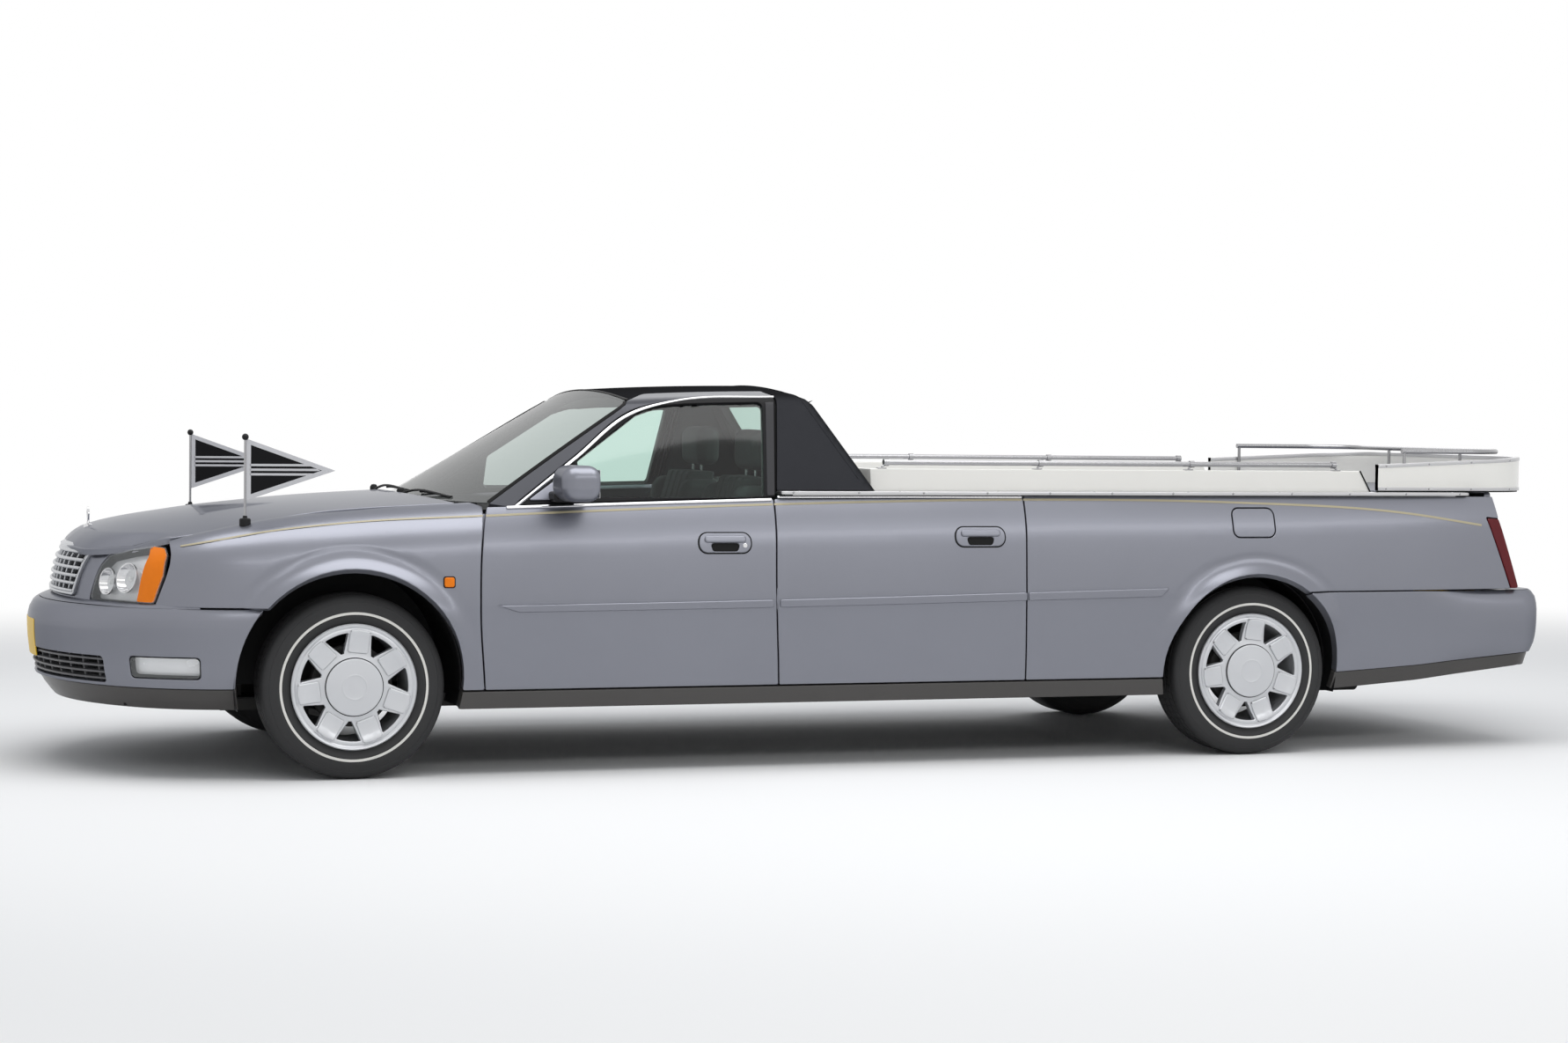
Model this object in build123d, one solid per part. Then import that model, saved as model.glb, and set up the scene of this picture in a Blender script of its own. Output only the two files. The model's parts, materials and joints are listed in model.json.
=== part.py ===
from build123d import *
import math
import os

# Open-deck hearse: a long saloon body cut down behind the front seats to an open bier deck.
# Millimetres. +Z up, the nose towards -X, the left side towards -Y.
# The origin is on the ground, halfway along the body.

# Driving dimensions
WHEELBASE = 3660.0
FRONT_OVERHANG = 1100.0
REAR_OVERHANG = 1440.0
BODY_WIDTH = 1890.0
ROOF_HEIGHT = 1475.0
TRACK = 1580.0
TYRE_RADIUS = 342.0
TYRE_WIDTH = 225.0
RIM_RADIUS = 233.0
SPOKES = 7

# Walls and gaps
SHUT_GAP = 7.0
SKIN = 20.0
DOOR_WALL = 100.0
DOOR_INSET = 25.0
FENDER_WALL = 55.0
HOOD_WALL = 28.0
CAB_WALL = 42.0
FRAME_WALL = 22.0
FRAME_GAP = 5.0
GLASS = 6.0
FIT = 0.3

# Heights
SILL_BOTTOM = 250.0
SILL_TOP = 320.0
BUMPER_BOTTOM = 335.0
BUMPER_TOP = 634.0
TAIL_SPLIT = 662.0
DECK_TOP = 1052.0
LEDGE = 12.0
WALL_HEIGHT = 86.0
RAIL_RISE = 24.0
FLOOR_BOTTOM = 266.0
FLOOR_TOP = 298.0
KICK_TOP = 476.0
BELT = 1036.0

LENGTH = FRONT_OVERHANG + WHEELBASE + REAR_OVERHANG
FRONT_AXLE_X = FRONT_OVERHANG - LENGTH / 2
REAR_AXLE_X = FRONT_AXLE_X + WHEELBASE
NOSE_X = -LENGTH / 2
TAIL_X = LENGTH / 2
HALF = BODY_WIDTH / 2
LEDGE_TOP = DECK_TOP + LEDGE
OUTSIDE = HALF + 60.0
NODES = {}


def fx(d):
    """X of a place given by its distance behind the front axle."""
    return FRONT_AXLE_X + d


def rx(d):
    """X of a place given by its distance behind the rear axle."""
    return REAR_AXLE_X + d


def hw(y):
    """A half width measured on a body 1890 wide, carried to BODY_WIDTH."""
    return y + HALF - 945.0


# Shapes that repeat
def prism_y(points, y_low, y_high, grow=0.0):
    """A side outline of (X, Z) points, grown by grow, carried across the car."""
    face = make_face(Plane.XZ.offset(-y_low) * Polyline(*points, close=True))
    if grow:
        face = offset(face, grow, kind=Kind.INTERSECTION)
    return extrude(face, y_high - y_low, dir=(0, 1, 0))


def prism_z(points, z_low, z_high, grow=0.0):
    """A plan outline of (X, Y) points, grown by grow, carried upwards."""
    face = make_face(Plane.XY.offset(z_low) * Polyline(*points, close=True))
    if grow:
        face = offset(face, grow, kind=Kind.INTERSECTION)
    return extrude(face, z_high - z_low, dir=(0, 0, 1))


def box(x0, x1, y0, y1, z0, z1):
    return Pos((x0 + x1) / 2, (y0 + y1) / 2, (z0 + z1) / 2) * Box(x1 - x0, y1 - y0, z1 - z0)


def rod_y(x, z, radius, y0, y1):
    """A round bar across the car."""
    return Pos(x, (y0 + y1) / 2, z) * Rot(90, 0, 0) * Cylinder(radius, y1 - y0)


def rod(a, b, radius):
    """A round bar from point a to point b."""
    a, b = Vector(*a), Vector(*b)
    plane = Plane(origin=a, z_dir=b - a)
    return extrude(plane * Circle(radius), (b - a).length)


def mirrored(shape):
    return mirror(shape, about=Plane.XZ)


def both(*shapes):
    """The left pieces and their mirror images, as separate solids of one node."""
    found = [s for shape in shapes for s in shape.solids()]
    return Compound(children=[*found, *[mirrored(s) for s in found]])


def several(*shapes):
    """Pieces that share a node without touching."""
    return Compound(children=[s for shape in shapes for s in shape.solids()])


# Shut lines of the left side, seen from the side: (X, Z)
DOOR_FRONT_EDGE = [(fx(488), SILL_TOP), (fx(462), 635), (fx(490), 975), (fx(497), 1004)]
DOOR_FRAME = [(fx(606), 1006), (fx(1112), 1366), (fx(1330), 1412), (fx(1694), 1426), (fx(1640), BELT)]
DOOR_SPLIT = [(fx(1624), BELT), (fx(1616), 655), (fx(1640), SILL_TOP)]
REAR_DOOR_EDGE = [(fx(2660), BELT), (fx(2652), 640), (fx(2668), SILL_TOP)]
FRONT_DOOR = DOOR_FRONT_EDGE + DOOR_FRAME + DOOR_SPLIT
REAR_DOOR = DOOR_SPLIT[::-1] + REAR_DOOR_EDGE
WINDOW = [(fx(868), 1046), (fx(868), 1166), (fx(1150), 1350), (fx(1345), 1384), (fx(1640), 1396)]
WINDOW += [(fx(1594), 1046)]
FRONT_ARCH = (fx(-12), 360.0, 418.0)
REAR_ARCH = (rx(0), 345.0, 394.0)

# Side skin, sections of the left half from the sill up to the hood line, the belt or the deck.
# Columns: X, then (half width, height) at the sill, the waist crease, the shoulder and the top
FENDER_STATIONS = [
    (fx(-790), (660, SILL_BOTTOM), (706, 600), (690, 800), (560, 858)),
    (fx(-680), (752, SILL_BOTTOM), (800, 600), (778, 815), (640, 886)),
    (fx(-560), (820, SILL_BOTTOM), (868, 606), (845, 835), (706, 912)),
    (fx(-320), (880, SILL_BOTTOM), (926, 622), (904, 868), (735, 950)),
    (fx(80), (890, SILL_BOTTOM), (942, 634), (920, 893), (744, 992)),
    (fx(500), (890, SILL_BOTTOM), (945, 640), (924, 905), (750, 1019)),
]
SIDE_STATIONS = [
    (fx(440), (890, SILL_BOTTOM), (945, 640), (924, 905), (856, 1010)),
    (fx(1640), (890, SILL_BOTTOM), (945, 652), (926, 930), (862, 1040)),
    (fx(2700), (890, SILL_BOTTOM), (945, 664), (926, 945), (866, DECK_TOP)),
    (rx(0), (886, SILL_BOTTOM), (942, 672), (922, 945), (866, DECK_TOP)),
    (rx(840), (852, SILL_BOTTOM), (908, 660), (890, 915), (840, DECK_TOP)),
    (rx(1290), (800, SILL_BOTTOM), (858, 650), (842, 890), (800, DECK_TOP)),
]
BULGES = (9.0, 7.0, 20.0)


def side_section(station, wall, top_width):
    """One closed section: the outer skin in three arcs, the inner face a wall's thickness inside."""
    pts = [Vector(station[0], -hw(y), z) for y, z in station[1:]]
    edges = []
    for a, b, bulge in zip(pts, pts[1:], BULGES):
        along = (b - a).normalized()
        out = Vector(0, -along.Z, along.Y)
        edges.append(ThreePointArc(a, (a + b) * 0.5 + out * bulge, b))
    drop = Vector(0, 0, -HOOD_WALL)
    inner = [pts[3] + Vector(0, top_width, 0) + (drop if top_width == 0 else Vector(0, 0, 0))]
    inner += [pts[2] + Vector(0, wall, -wall), pts[0] + Vector(0, wall, 0)]
    chain = [pts[3], *inner, pts[0]]
    edges += [Line(a, b) for a, b in zip(chain, chain[1:])]
    return Wire(edges)


def side_loft(stations, wall, top_width):
    return Solid.make_loft([side_section(s, wall, top_width) for s in stations])


SIDE_WALL = side_loft(SIDE_STATIONS, DOOR_WALL, DOOR_WALL)
SIDE_SKIN = side_loft(SIDE_STATIONS, SKIN, SKIN)
FENDER_SKIN = side_loft(FENDER_STATIONS, FENDER_WALL, 0.0)


def arch_cut(arch, y_low, y_high, grow=0.0):
    x, z, radius = arch
    return rod_y(x, z, radius + grow, y_low, y_high)


# Cab: an arched tunnel, cut at the front by the windscreen and at the back by a sloping panel.
# Columns: X, half width at the belt, (half width, height) of the roof's edge, height of its crown
CAB_BASE = 980.0
CAB_STATIONS = [
    (fx(380), 862, (664, 1330), ROOF_HEIGHT - 92),
    (fx(1150), 866, (664, 1388), ROOF_HEIGHT - 20),
    (fx(1700), 868, (668, 1412), ROOF_HEIGHT),
    (fx(2140), 864, (668, 1412), ROOF_HEIGHT - 4),
]
SCREEN_FOOT_X, SCREEN_FOOT_Z = fx(490), 1030.0
SCREEN_TOP_X, SCREEN_TOP_Z = fx(1128), 1398.0
SCREEN_BOW = 130.0
SCREEN_HALF = 735.0
BACK_TOP = (fx(1806), ROOF_HEIGHT)
BACK_FOOT = (fx(2062), LEDGE_TOP)


def cab_section(station, inset):
    x, belt, (edge, edge_z), crown = station
    belt, edge, edge_z, crown = hw(belt) - inset, hw(edge) - inset, edge_z - inset * 0.4, crown - inset
    left, right = Vector(x, -belt, CAB_BASE), Vector(x, belt, CAB_BASE)
    left_top, right_top = Vector(x, -edge, edge_z), Vector(x, edge, edge_z)
    left_roof, right_roof = Vector(x, -edge + 120, crown - 34), Vector(x, edge - 120, crown - 34)
    knee = Vector(0, 44, 46)
    return Wire([
        Line(left, left_top),
        ThreePointArc(left_top, left_top + Vector(0, knee.Y, (left_roof.Z - edge_z) * 0.66), left_roof),
        ThreePointArc(left_roof, Vector(x, 0, crown), right_roof),
        ThreePointArc(right_roof, right_top + Vector(0, -knee.Y, (left_roof.Z - edge_z) * 0.66), right_top),
        Line(right_top, right),
        Line(right, left),
    ])


def cab_loft(inset):
    return Solid.make_loft([cab_section(s, inset) for s in CAB_STATIONS])


def screen_band(near, far, low, high, half=SCREEN_HALF):
    """The slanted windscreen as a bowed slab, from near to far behind its outer face."""
    slope = Vector(SCREEN_TOP_X - SCREEN_FOOT_X, 0, SCREEN_TOP_Z - SCREEN_FOOT_Z)
    foot = Vector(SCREEN_FOOT_X, 0, SCREEN_FOOT_Z) + slope * ((low - SCREEN_FOOT_Z) / slope.Z)
    radius = (SCREEN_HALF ** 2 + SCREEN_BOW ** 2) / (2 * SCREEN_BOW)
    deep = radius - math.sqrt(radius ** 2 - half ** 2)

    def bow(shift):
        middle = Vector(foot.X + shift - SCREEN_BOW, 0, foot.Z)
        ends = [middle + Vector(deep, side * half, 0) for side in (-1, 1)]
        return ends, ThreePointArc(ends[0], middle, ends[1])

    a, arc_a = bow(near)
    b, arc_b = bow(far)
    face = make_face([arc_a, Line(a[1], b[1]), arc_b, Line(b[0], a[0])])
    return extrude(face, (high - low) * slope.length / slope.Z, dir=slope.normalized())


def back_side(shift, reach):
    """Everything behind the cab's sloping back, moved back by shift."""
    (x1, z1), (x0, z0) = BACK_TOP, BACK_FOOT
    over = (x1 - x0) / (z1 - z0)
    low, high = CAB_BASE - 20, ROOF_HEIGHT + 40
    foot, head = x0 + over * (low - z0) + shift, x0 + over * (high - z0) + shift
    return prism_y([(foot, low), (head, high), (head + reach, high), (foot + reach, low)], -OUTSIDE, OUTSIDE)


CAB_OUTER = cab_loft(0.0)
CAB_FRAME = cab_loft(FRAME_WALL)
CAB_INNER = cab_loft(CAB_WALL)


# Door hinges: a fixed lug with a pin, between two moving lugs, all inside the shut gap
HINGE_PIN = 2.0
HINGE_LUG = 3.5
HINGE_RUN = 0.05


def hinge_lugs(x, y, z, fixed_to, moving_to, middle=14.0, tall=42.0):
    """The fixed and the moving half of a hinge at (x, y), each reaching to its own panel."""
    def lug(reach, low, high):
        (dx, dy), r, thin = reach, HINGE_LUG, 1.5
        plate = box(x + min(0, dx) - (dx == 0) * thin, x + max(0, dx) + (dx == 0) * thin,
                    y + min(0, dy) - (dy == 0) * r, y + max(0, dy) + (dy == 0) * r, low, high)
        return plate + Pos(x, y, (low + high) / 2) * Cylinder(r, high - low)

    fixed = lug(fixed_to, z - middle, z + middle) + Pos(x, y, z) * Cylinder(HINGE_PIN, 2 * tall - 4)
    bore = Pos(x, y, z) * Cylinder(HINGE_PIN + HINGE_RUN, 2 * tall)
    room = middle + FIT
    moving = [lug(moving_to, z + room, z + tall), lug(moving_to, z - tall, z - room)]
    notch = box(x - 4.0, x + 4.0, -OUTSIDE, y + 4.5, z - room, z + room)
    return fixed, [m - bore for m in moving], notch


HINGE_Y = HALF - 4.0
FRONT_HINGE = hinge_lugs(fx(463.5), -HINGE_Y, 635.0, (-10, 0), (9, 0))
REAR_HINGE = hinge_lugs(fx(1617.5), -HINGE_Y, 655.0, (0, 62), (9, 0))


def make_pillars():
    """Posts behind the door edges, standing on the sill; the rear one carries the rear door's hinge."""
    layer = SIDE_WALL - side_loft(SIDE_STATIONS, SKIN + 8, SKIN + 8)
    foot = SILL_TOP - SHUT_GAP / 2 + FIT
    edge = [(x, max(z, foot)) for x, z in DOOR_FRONT_EDGE[:3]]
    outline = [(x - SHUT_GAP + FIT, z) for x, z in edge] + [(x + 18, z) for x, z in reversed(edge)]
    front = layer & prism_y(outline, -OUTSIDE, -500)
    split = [(fx(1617), 990), DOOR_SPLIT[1], (DOOR_SPLIT[2][0], foot)]
    post = [(x - 12, z) for x, z in split] + [(x + 12, z) for x, z in reversed(split)]
    rear = layer & prism_y(post, -OUTSIDE, -500)
    return front, rear + REAR_HINGE[0]


# Body panels
def make_fenders():
    front = [(fx(-729), BUMPER_TOP + FIT), (fx(-676), 880), (fx(-676), 1100)]
    rear = [(x - SHUT_GAP, z) for x, z in DOOR_FRONT_EDGE[::-1]]
    outline = front + [(fx(491), 1100)] + rear + [(fx(100), SILL_TOP), (fx(100), BUMPER_TOP + FIT)]
    fender = FENDER_SKIN & prism_y(outline, -OUTSIDE, -500)
    fender = fender - hood_block(SHUT_GAP) - arch_cut(FRONT_ARCH, -OUTSIDE, -500)
    return fender + FRONT_HINGE[0]


def door_pieces(outline, window=None):
    """A door: a thin skin out to the shut lines, and a deep inner box set in from them."""
    gap = -SHUT_GAP / 2
    lower = (SIDE_SKIN & prism_y(outline, -OUTSIDE, -500, gap))
    lower = lower + (SIDE_WALL & prism_y(outline, -OUTSIDE, -500, gap - DOOR_INSET))
    if window is None:
        return lower
    frame = (CAB_OUTER - CAB_FRAME) & prism_y(outline, -OUTSIDE, -300, gap)
    frame = frame & box(fx(300), fx(2000), -OUTSIDE, -300, 1000, ROOF_HEIGHT)
    return (lower + frame) - prism_y(window, -OUTSIDE, -300)


HANDLE_LENGTH = 200.0
HANDLE_HEIGHT = 74.0
HANDLE_DEPTH = 14.0


def handle(x, z):
    """A grip plate with rounded ends, standing just proud of the skin."""
    plate = Plane.XZ.offset(HALF - 26) * SlotOverall(HANDLE_LENGTH, HANDLE_HEIGHT)
    plate = extrude(Pos(x, 0, z) * plate, 26 + HANDLE_DEPTH - 10, dir=(0, -1, 0))
    recess = Plane.XZ.offset(HALF - 6) * Pos(0, -14) * SlotOverall(HANDLE_LENGTH * 0.6, HANDLE_HEIGHT * 0.36)
    return plate - extrude(Pos(x, 0, z) * recess, 40, dir=(0, -1, 0))


def make_door_glass():
    layer = cab_loft(8.0) - cab_loft(8.0 + GLASS)
    return layer & prism_y(WINDOW, -OUTSIDE, -300, -FIT)


def make_mirror():
    """A rounded shell on a short arm, on the front corner of the door glass."""
    shell = Pos(fx(812), -hw(975), 1092) * Box(150, 200, 128)
    shell = fillet(shell.edges(), 34)
    arm = box(fx(770), fx(850), -hw(900), -hw(811), 1040, 1075)
    return shell + arm


TAIL_LAMP = [(rx(1112), 966), (rx(1178), 966), (rx(1266), TAIL_SPLIT), (rx(1196), TAIL_SPLIT)]


def make_quarters():
    rear = [(x + SHUT_GAP / 2, z) for x, z in REAR_DOOR_EDGE]
    top = [(rear[0][0], DECK_TOP), (rx(1262), DECK_TOP)]
    tail = [(rx(1272), TAIL_LAMP[0][1]), TAIL_LAMP[0], (TAIL_LAMP[3][0], TAIL_SPLIT + FIT)]
    outline = rear[::-1] + top + tail + [(rx(60), TAIL_SPLIT + FIT), (rx(60), SILL_TOP)]
    return (SIDE_WALL & prism_y(outline, -OUTSIDE, -500)) - arch_cut(REAR_ARCH, -OUTSIDE, -500)


def make_sills():
    front, rear, top = fx(300), rx(-200), SILL_TOP - SHUT_GAP / 2
    outline = [(front, SILL_BOTTOM), (front, top), (rear, top), (rear, SILL_BOTTOM)]
    sill = SIDE_WALL & prism_y(outline, -OUTSIDE, -500)
    return sill - arch_cut(FRONT_ARCH, -OUTSIDE, -500) - arch_cut(REAR_ARCH, -OUTSIDE, -500)


# Plan curves of the nose and the tail: a broad arc, a corner arc and the start of the side.
# Columns: X of the tip, sign of X from the tip into the body, radius of the broad arc,
# half width where the corner starts and where it ends, degrees that the side spreads by
BUMPER_CURVE = (NOSE_X, 1, 1042.0, 690.0, 905.0, 4.0)
LAMP_CURVE = (NOSE_X + 96, 1, 1220.0, 695.0, 885.0, 4.0)
REAR_CURVE = (TAIL_X, -1, 2500.0, 640.0, 872.0, 6.0)
# Profiles: (distance inside the curve, Z), from the bottom up
BUMPER_PROFILE = [(46, BUMPER_BOTTOM), (10, 420), (0, 520), (4, 600), (20, BUMPER_TOP)]
BUMPER_WALL = 110.0
LAMP_PROFILE = [(0, BUMPER_TOP + FIT), (14, 740), (44, 815), (98, 872)]
LAMP_WALL = 60.0
VALANCE_PROFILE = [(96, SILL_BOTTOM + 6), (48, BUMPER_BOTTOM - FIT)]
REAR_PROFILE = [(60, 372), (14, 420), (0, 520), (4, 612), (18, TAIL_SPLIT)]
REAR_VALANCE_PROFILE = [(110, 300), (62, 372 - FIT)]


def plan_path(curve, end_x):
    """Half of a nose or tail in plan: from the centre line round the left corner and on to end_x."""
    tip, way, radius, turn_y, side_y, spread = curve
    turn_y, side_y = hw(turn_y), hw(side_y)
    start, end = math.asin(turn_y / radius), math.radians(90 - spread)
    corner = (side_y - turn_y) / (math.sin(end) - math.sin(start))
    centre = Vector(tip + way * radius, 0, 0)

    def spoke(angle):
        return Vector(-way * math.cos(angle), -math.sin(angle), 0)

    inner = centre + spoke(start) * (radius - corner)
    bend = [inner + spoke(a) * corner for a in (start, (start + end) / 2, end)]
    front = ThreePointArc(Vector(tip, 0, 0), centre + spoke(start / 2) * radius, bend[0])
    along = Vector(way * math.sin(end), -math.cos(end), 0)
    side = Line(bend[2], bend[2] + along * ((end_x - bend[2].X) / along.X))
    return Wire([front, ThreePointArc(*bend), side])


def swept(curve, profile, wall, end_x):
    """A profile carried round a nose or tail, both halves in one."""
    tip, way = curve[:2]
    outer = [(tip + way * d, z) for d, z in profile]
    inner = [(x + way * wall, z) for x, z in reversed(outer)]
    face = make_face(Plane.XZ * Polyline(*outer, *inner, close=True))
    half = sweep(face, path=plan_path(curve, end_x))
    return half + mirrored(half)


GRILLE_TOP_HALF = 400.0
GRILLE_FOOT_HALF = 345.0
GRILLE_TOP = 842.0
GRILLE_FOOT = 652.0
GRILLE_BARS = 5
LOWER_GRILLE_HALF = 620.0
LOWER_GRILLE = (348.0, 446.0)
FOG_LAMP = (fx(-790), fx(-556), 374.0, 452.0)


def front_outline(points, x_low, x_high):
    """An outline seen from the front, (Y, Z) points, carried back along the car."""
    face = make_face(Plane.YZ.offset(x_low) * Polyline(*points, close=True))
    return extrude(face, x_high - x_low, dir=(1, 0, 0))


def grille_outline(grow):
    top, foot = GRILLE_TOP_HALF + grow, GRILLE_FOOT_HALF + grow
    low, high = GRILLE_FOOT - grow, GRILLE_TOP + grow
    return [(-top, high), (top, high), (foot, low), (-foot, low)]


def lamp_outline():
    """The left headlamp seen from the side, open towards the front."""
    return [(fx(-1200), 655), (fx(-737), 655), (fx(-684), 862), (fx(-1200), 862)]


def make_nose():
    band = swept(LAMP_CURVE, LAMP_PROFILE, LAMP_WALL, fx(-380))
    band = band - hood_block(SHUT_GAP)
    ahead = [(fx(-1300), 600), (fx(-729 - SHUT_GAP), 600)]
    ahead += [(fx(-729 - SHUT_GAP), BUMPER_TOP), (fx(-676 - SHUT_GAP), 880)]
    ahead += [(fx(-676 - SHUT_GAP), 1000)]
    band = band & prism_y(ahead + [(fx(-1300), 1000)], -OUTSIDE, OUTSIDE)
    inner = [(-420, 648), (-560, 880), (-OUTSIDE, 880), (-OUTSIDE, 648)]
    lamps = front_outline(inner, fx(-1200), fx(-500)) & prism_y(lamp_outline(), -OUTSIDE, 0)
    lamp = band & lamps
    for shift in ((0.2, -FIT, 0), (0, 0, FIT), (-FIT, 0, -FIT)):
        lamp = lamp & Pos(*shift) * lamps
    header = band - lamps - mirrored(lamps)
    header = header - front_outline(grille_outline(FIT), fx(-1200), fx(-500))
    return header, lamp


def make_grille():
    """A frame in the nose's own curve, with thin bars across and a few upright."""
    band = swept(LAMP_CURVE, LAMP_PROFILE, LAMP_WALL, fx(-380))
    shape = band & front_outline(grille_outline(0.0), fx(-1200), fx(-500))
    pitch = (GRILLE_TOP - GRILLE_FOOT - 16) / (GRILLE_BARS + 1)
    reach = GRILLE_TOP_HALF
    for row in range(GRILLE_BARS + 1):
        low = GRILLE_FOOT + 12 + row * pitch
        slot = box(fx(-1200), fx(-500), -reach, reach, low, low + pitch - 9)
        posts = [box(fx(-1200), fx(-500), y - 4, y + 4, 600, 900) for y in (-240, -120, 0, 120, 240)]
        inside = front_outline(grille_outline(-14.0), fx(-1200), fx(-500))
        shape = shape - ((slot & inside) - posts)
    return shape


LEG_Y = 360.0
LEG_Z = (500.0, 580.0)
LEG_FRONT = fx(-860)


def make_front_bumper():
    shell = swept(BUMPER_CURVE, BUMPER_PROFILE, BUMPER_WALL, fx(-300))
    shell = shell - arch_cut(FRONT_ARCH, -OUTSIDE, OUTSIDE)
    for y in (-LEG_Y, LEG_Y):
        shell = shell + box(NOSE_X + 150, LEG_FRONT - FIT, y - 34, y + 34, LEG_Z[0] + 6, LEG_Z[1] - 6)
    low, high = LOWER_GRILLE
    shell = shell - box(fx(-1200), fx(-700), -LOWER_GRILLE_HALF, LOWER_GRILLE_HALF, low, high)
    x0, x1, z0, z1 = FOG_LAMP
    fog = prism_y([(x0, z0), (x1, z0), (x1, z1), (x0, z1)], -OUTSIDE, -500)
    lamp = shell & prism_y([(x0, z0), (x1, z0), (x1, z1), (x0, z1)], -OUTSIDE, -500, -FIT)
    return shell - fog - mirrored(fog), lamp


def make_lower_grille():
    low, high = LOWER_GRILLE
    shape = swept(BUMPER_CURVE, [(34, low + FIT), (24, high - FIT)], 26, fx(-300))
    shape = shape & box(fx(-1200), fx(-700), FIT - LOWER_GRILLE_HALF, LOWER_GRILLE_HALF - FIT, low, high)
    for row in range(4):
        z = low + 10 + row * 22
        shape = shape - (box(fx(-1200), fx(-700), -600, 600, z, z + 14) - [
            box(fx(-1200), fx(-700), y - 5, y + 5, low, high) for y in range(-500, 501, 125)])
    return shape


def make_valance():
    shape = swept(BUMPER_CURVE, VALANCE_PROFILE, 40, fx(-300))
    return shape - arch_cut(FRONT_ARCH, -OUTSIDE, OUTSIDE)


# Hood: crowned arcs across the car. Columns: X, height on the centre line, height at HOOD_EDGE
HOOD_EDGE = 760.0
HOOD_STATIONS = [
    (fx(-1010), 846, 790),
    (fx(-870), 900, 846),
    (fx(-540), 966, 914),
    (fx(-190), 1003, 966),
    (fx(450), 1046, 1016),
]
HOOD_FRONT = [(fx(-966), 0), (fx(-944), 250), (fx(-905), 420), (fx(-840), 520), (fx(-740), 592)]
HOOD_FRONT += [(fx(-690), 624)]
HOOD_REAR_X = fx(404)
HOOD_REAR_BOW = 96.0
HOOD_AXIS = (fx(412), 1010.0)


def hood_block(grow):
    """The hood's slab inside its plan outline; grown, it is the room that the hood needs."""
    def section(x, crown, edge):
        up, down = (60.0 if grow else 0.0), HOOD_WALL + grow
        across = [(-HOOD_EDGE, edge), (0, crown), (HOOD_EDGE, edge)]
        arc_top = [Vector(x, y, z + up) for y, z in across]
        arc_low = [Vector(x, y, z - down) for y, z in reversed(across)]
        return Wire([ThreePointArc(*arc_top), Line(arc_top[2], arc_low[0]),
                     ThreePointArc(*arc_low), Line(arc_low[2], arc_top[0])])

    slab = Solid.make_loft([section(*s) for s in HOOD_STATIONS])
    sides = [(x, hw(top[0]) - SHUT_GAP) for x, _, _, _, top in FENDER_STATIONS[2:5]]
    right = HOOD_FRONT[1:] + sides + [(HOOD_REAR_X, hw(748) - SHUT_GAP)]
    rear = [(HOOD_REAR_X - HOOD_REAR_BOW * 0.75, 370), (HOOD_REAR_X - HOOD_REAR_BOW, 0)]
    left = [(x, -y) for x, y in reversed(right + rear[:1])]
    outline = [HOOD_FRONT[0]] + right + rear + left
    return slab & prism_z(outline, 600, 1300, grow)


# Cab
def make_cab():
    shell = CAB_OUTER - back_side(0, 900)
    shell = shell - (CAB_INNER - back_side(-CAB_WALL, 900))
    shell = shell - screen_band(-1500, GLASS + FIT, CAB_BASE - 60, 1560, 990.0)
    openings = prism_y(FRONT_DOOR, -OUTSIDE, OUTSIDE, SHUT_GAP / 2)
    behind = [(x + FRAME_GAP, z) for x, z in DOOR_FRAME[2:]] + DOOR_FRAME[2:3]
    openings = openings + prism_y(behind, -OUTSIDE, OUTSIDE, SHUT_GAP / 2)
    shell = shell - openings
    front_base = box(fx(200), fx(1600), -OUTSIDE, OUTSIDE, 900, 1022)
    rear_base = box(fx(1500), fx(2400), -OUTSIDE, OUTSIDE, 900, LEDGE_TOP + FIT)
    shell = shell - front_base - rear_base - rear_window_block(0.0)
    block = side_loft(FENDER_STATIONS, FENDER_WALL, 0.0)
    return shell - block - mirrored(block)


REAR_WINDOW = (540.0, 1120.0, 1400.0)


def rear_window_block(shrink):
    half, low, high = REAR_WINDOW
    cut = box(fx(1500), fx(2300), -half + shrink, half - shrink, low + shrink, high - shrink)
    return cut & (back_side(-CAB_WALL - 200, 1200))


def make_rear_window():
    layer = back_side(-CAB_WALL / 2, 900) - back_side(-CAB_WALL / 2 + GLASS, 900)
    return layer & rear_window_block(FIT)


def make_windscreen():
    band = screen_band(0, GLASS, SCREEN_FOOT_Z, 1450)
    return band & cab_loft(9.0)


def make_cowl():
    """The cowl between hood and windscreen, with its shelf, hinge ears and the firewall below."""
    shelf = [(fx(300), 948), (fx(300), 966), (fx(411), 972), (fx(600), 1000), (fx(600), 985)]
    shelf += [(fx(470), 950), (fx(470), FLOOR_TOP + FIT), (fx(446), FLOOR_TOP + FIT), (fx(446), 948)]
    wide = prism_y(shelf, -hw(800), hw(800)) & box(fx(200), fx(451), -HALF, HALF, 940, 1100)
    narrow = prism_y(shelf, -hw(735), hw(735))
    fender = side_loft(FENDER_STATIONS, FENDER_WALL + FIT, 0.0)
    right = [(fx(411), 700), (fx(339), 370), (fx(315), 0), (fx(378), 0), (fx(412), 370), (fx(500), 700)]
    strip = prism_z(right, 964, 1012)
    ears = [box(HOOD_AXIS[0] - 8, HOOD_AXIS[0] + 8, y - 5, y + 5, 966, HOOD_AXIS[1] + 6) for y in (-726, 726)]
    pins = [rod_y(*HOOD_AXIS, 4, *sorted((y, y - math.copysign(22, y)))) for y in (-726, 726)]
    shape = narrow + (wide - fender - mirrored(fender)) + strip + mirrored(strip)
    for piece in ears + pins:
        shape = shape + piece
    return shape


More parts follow.
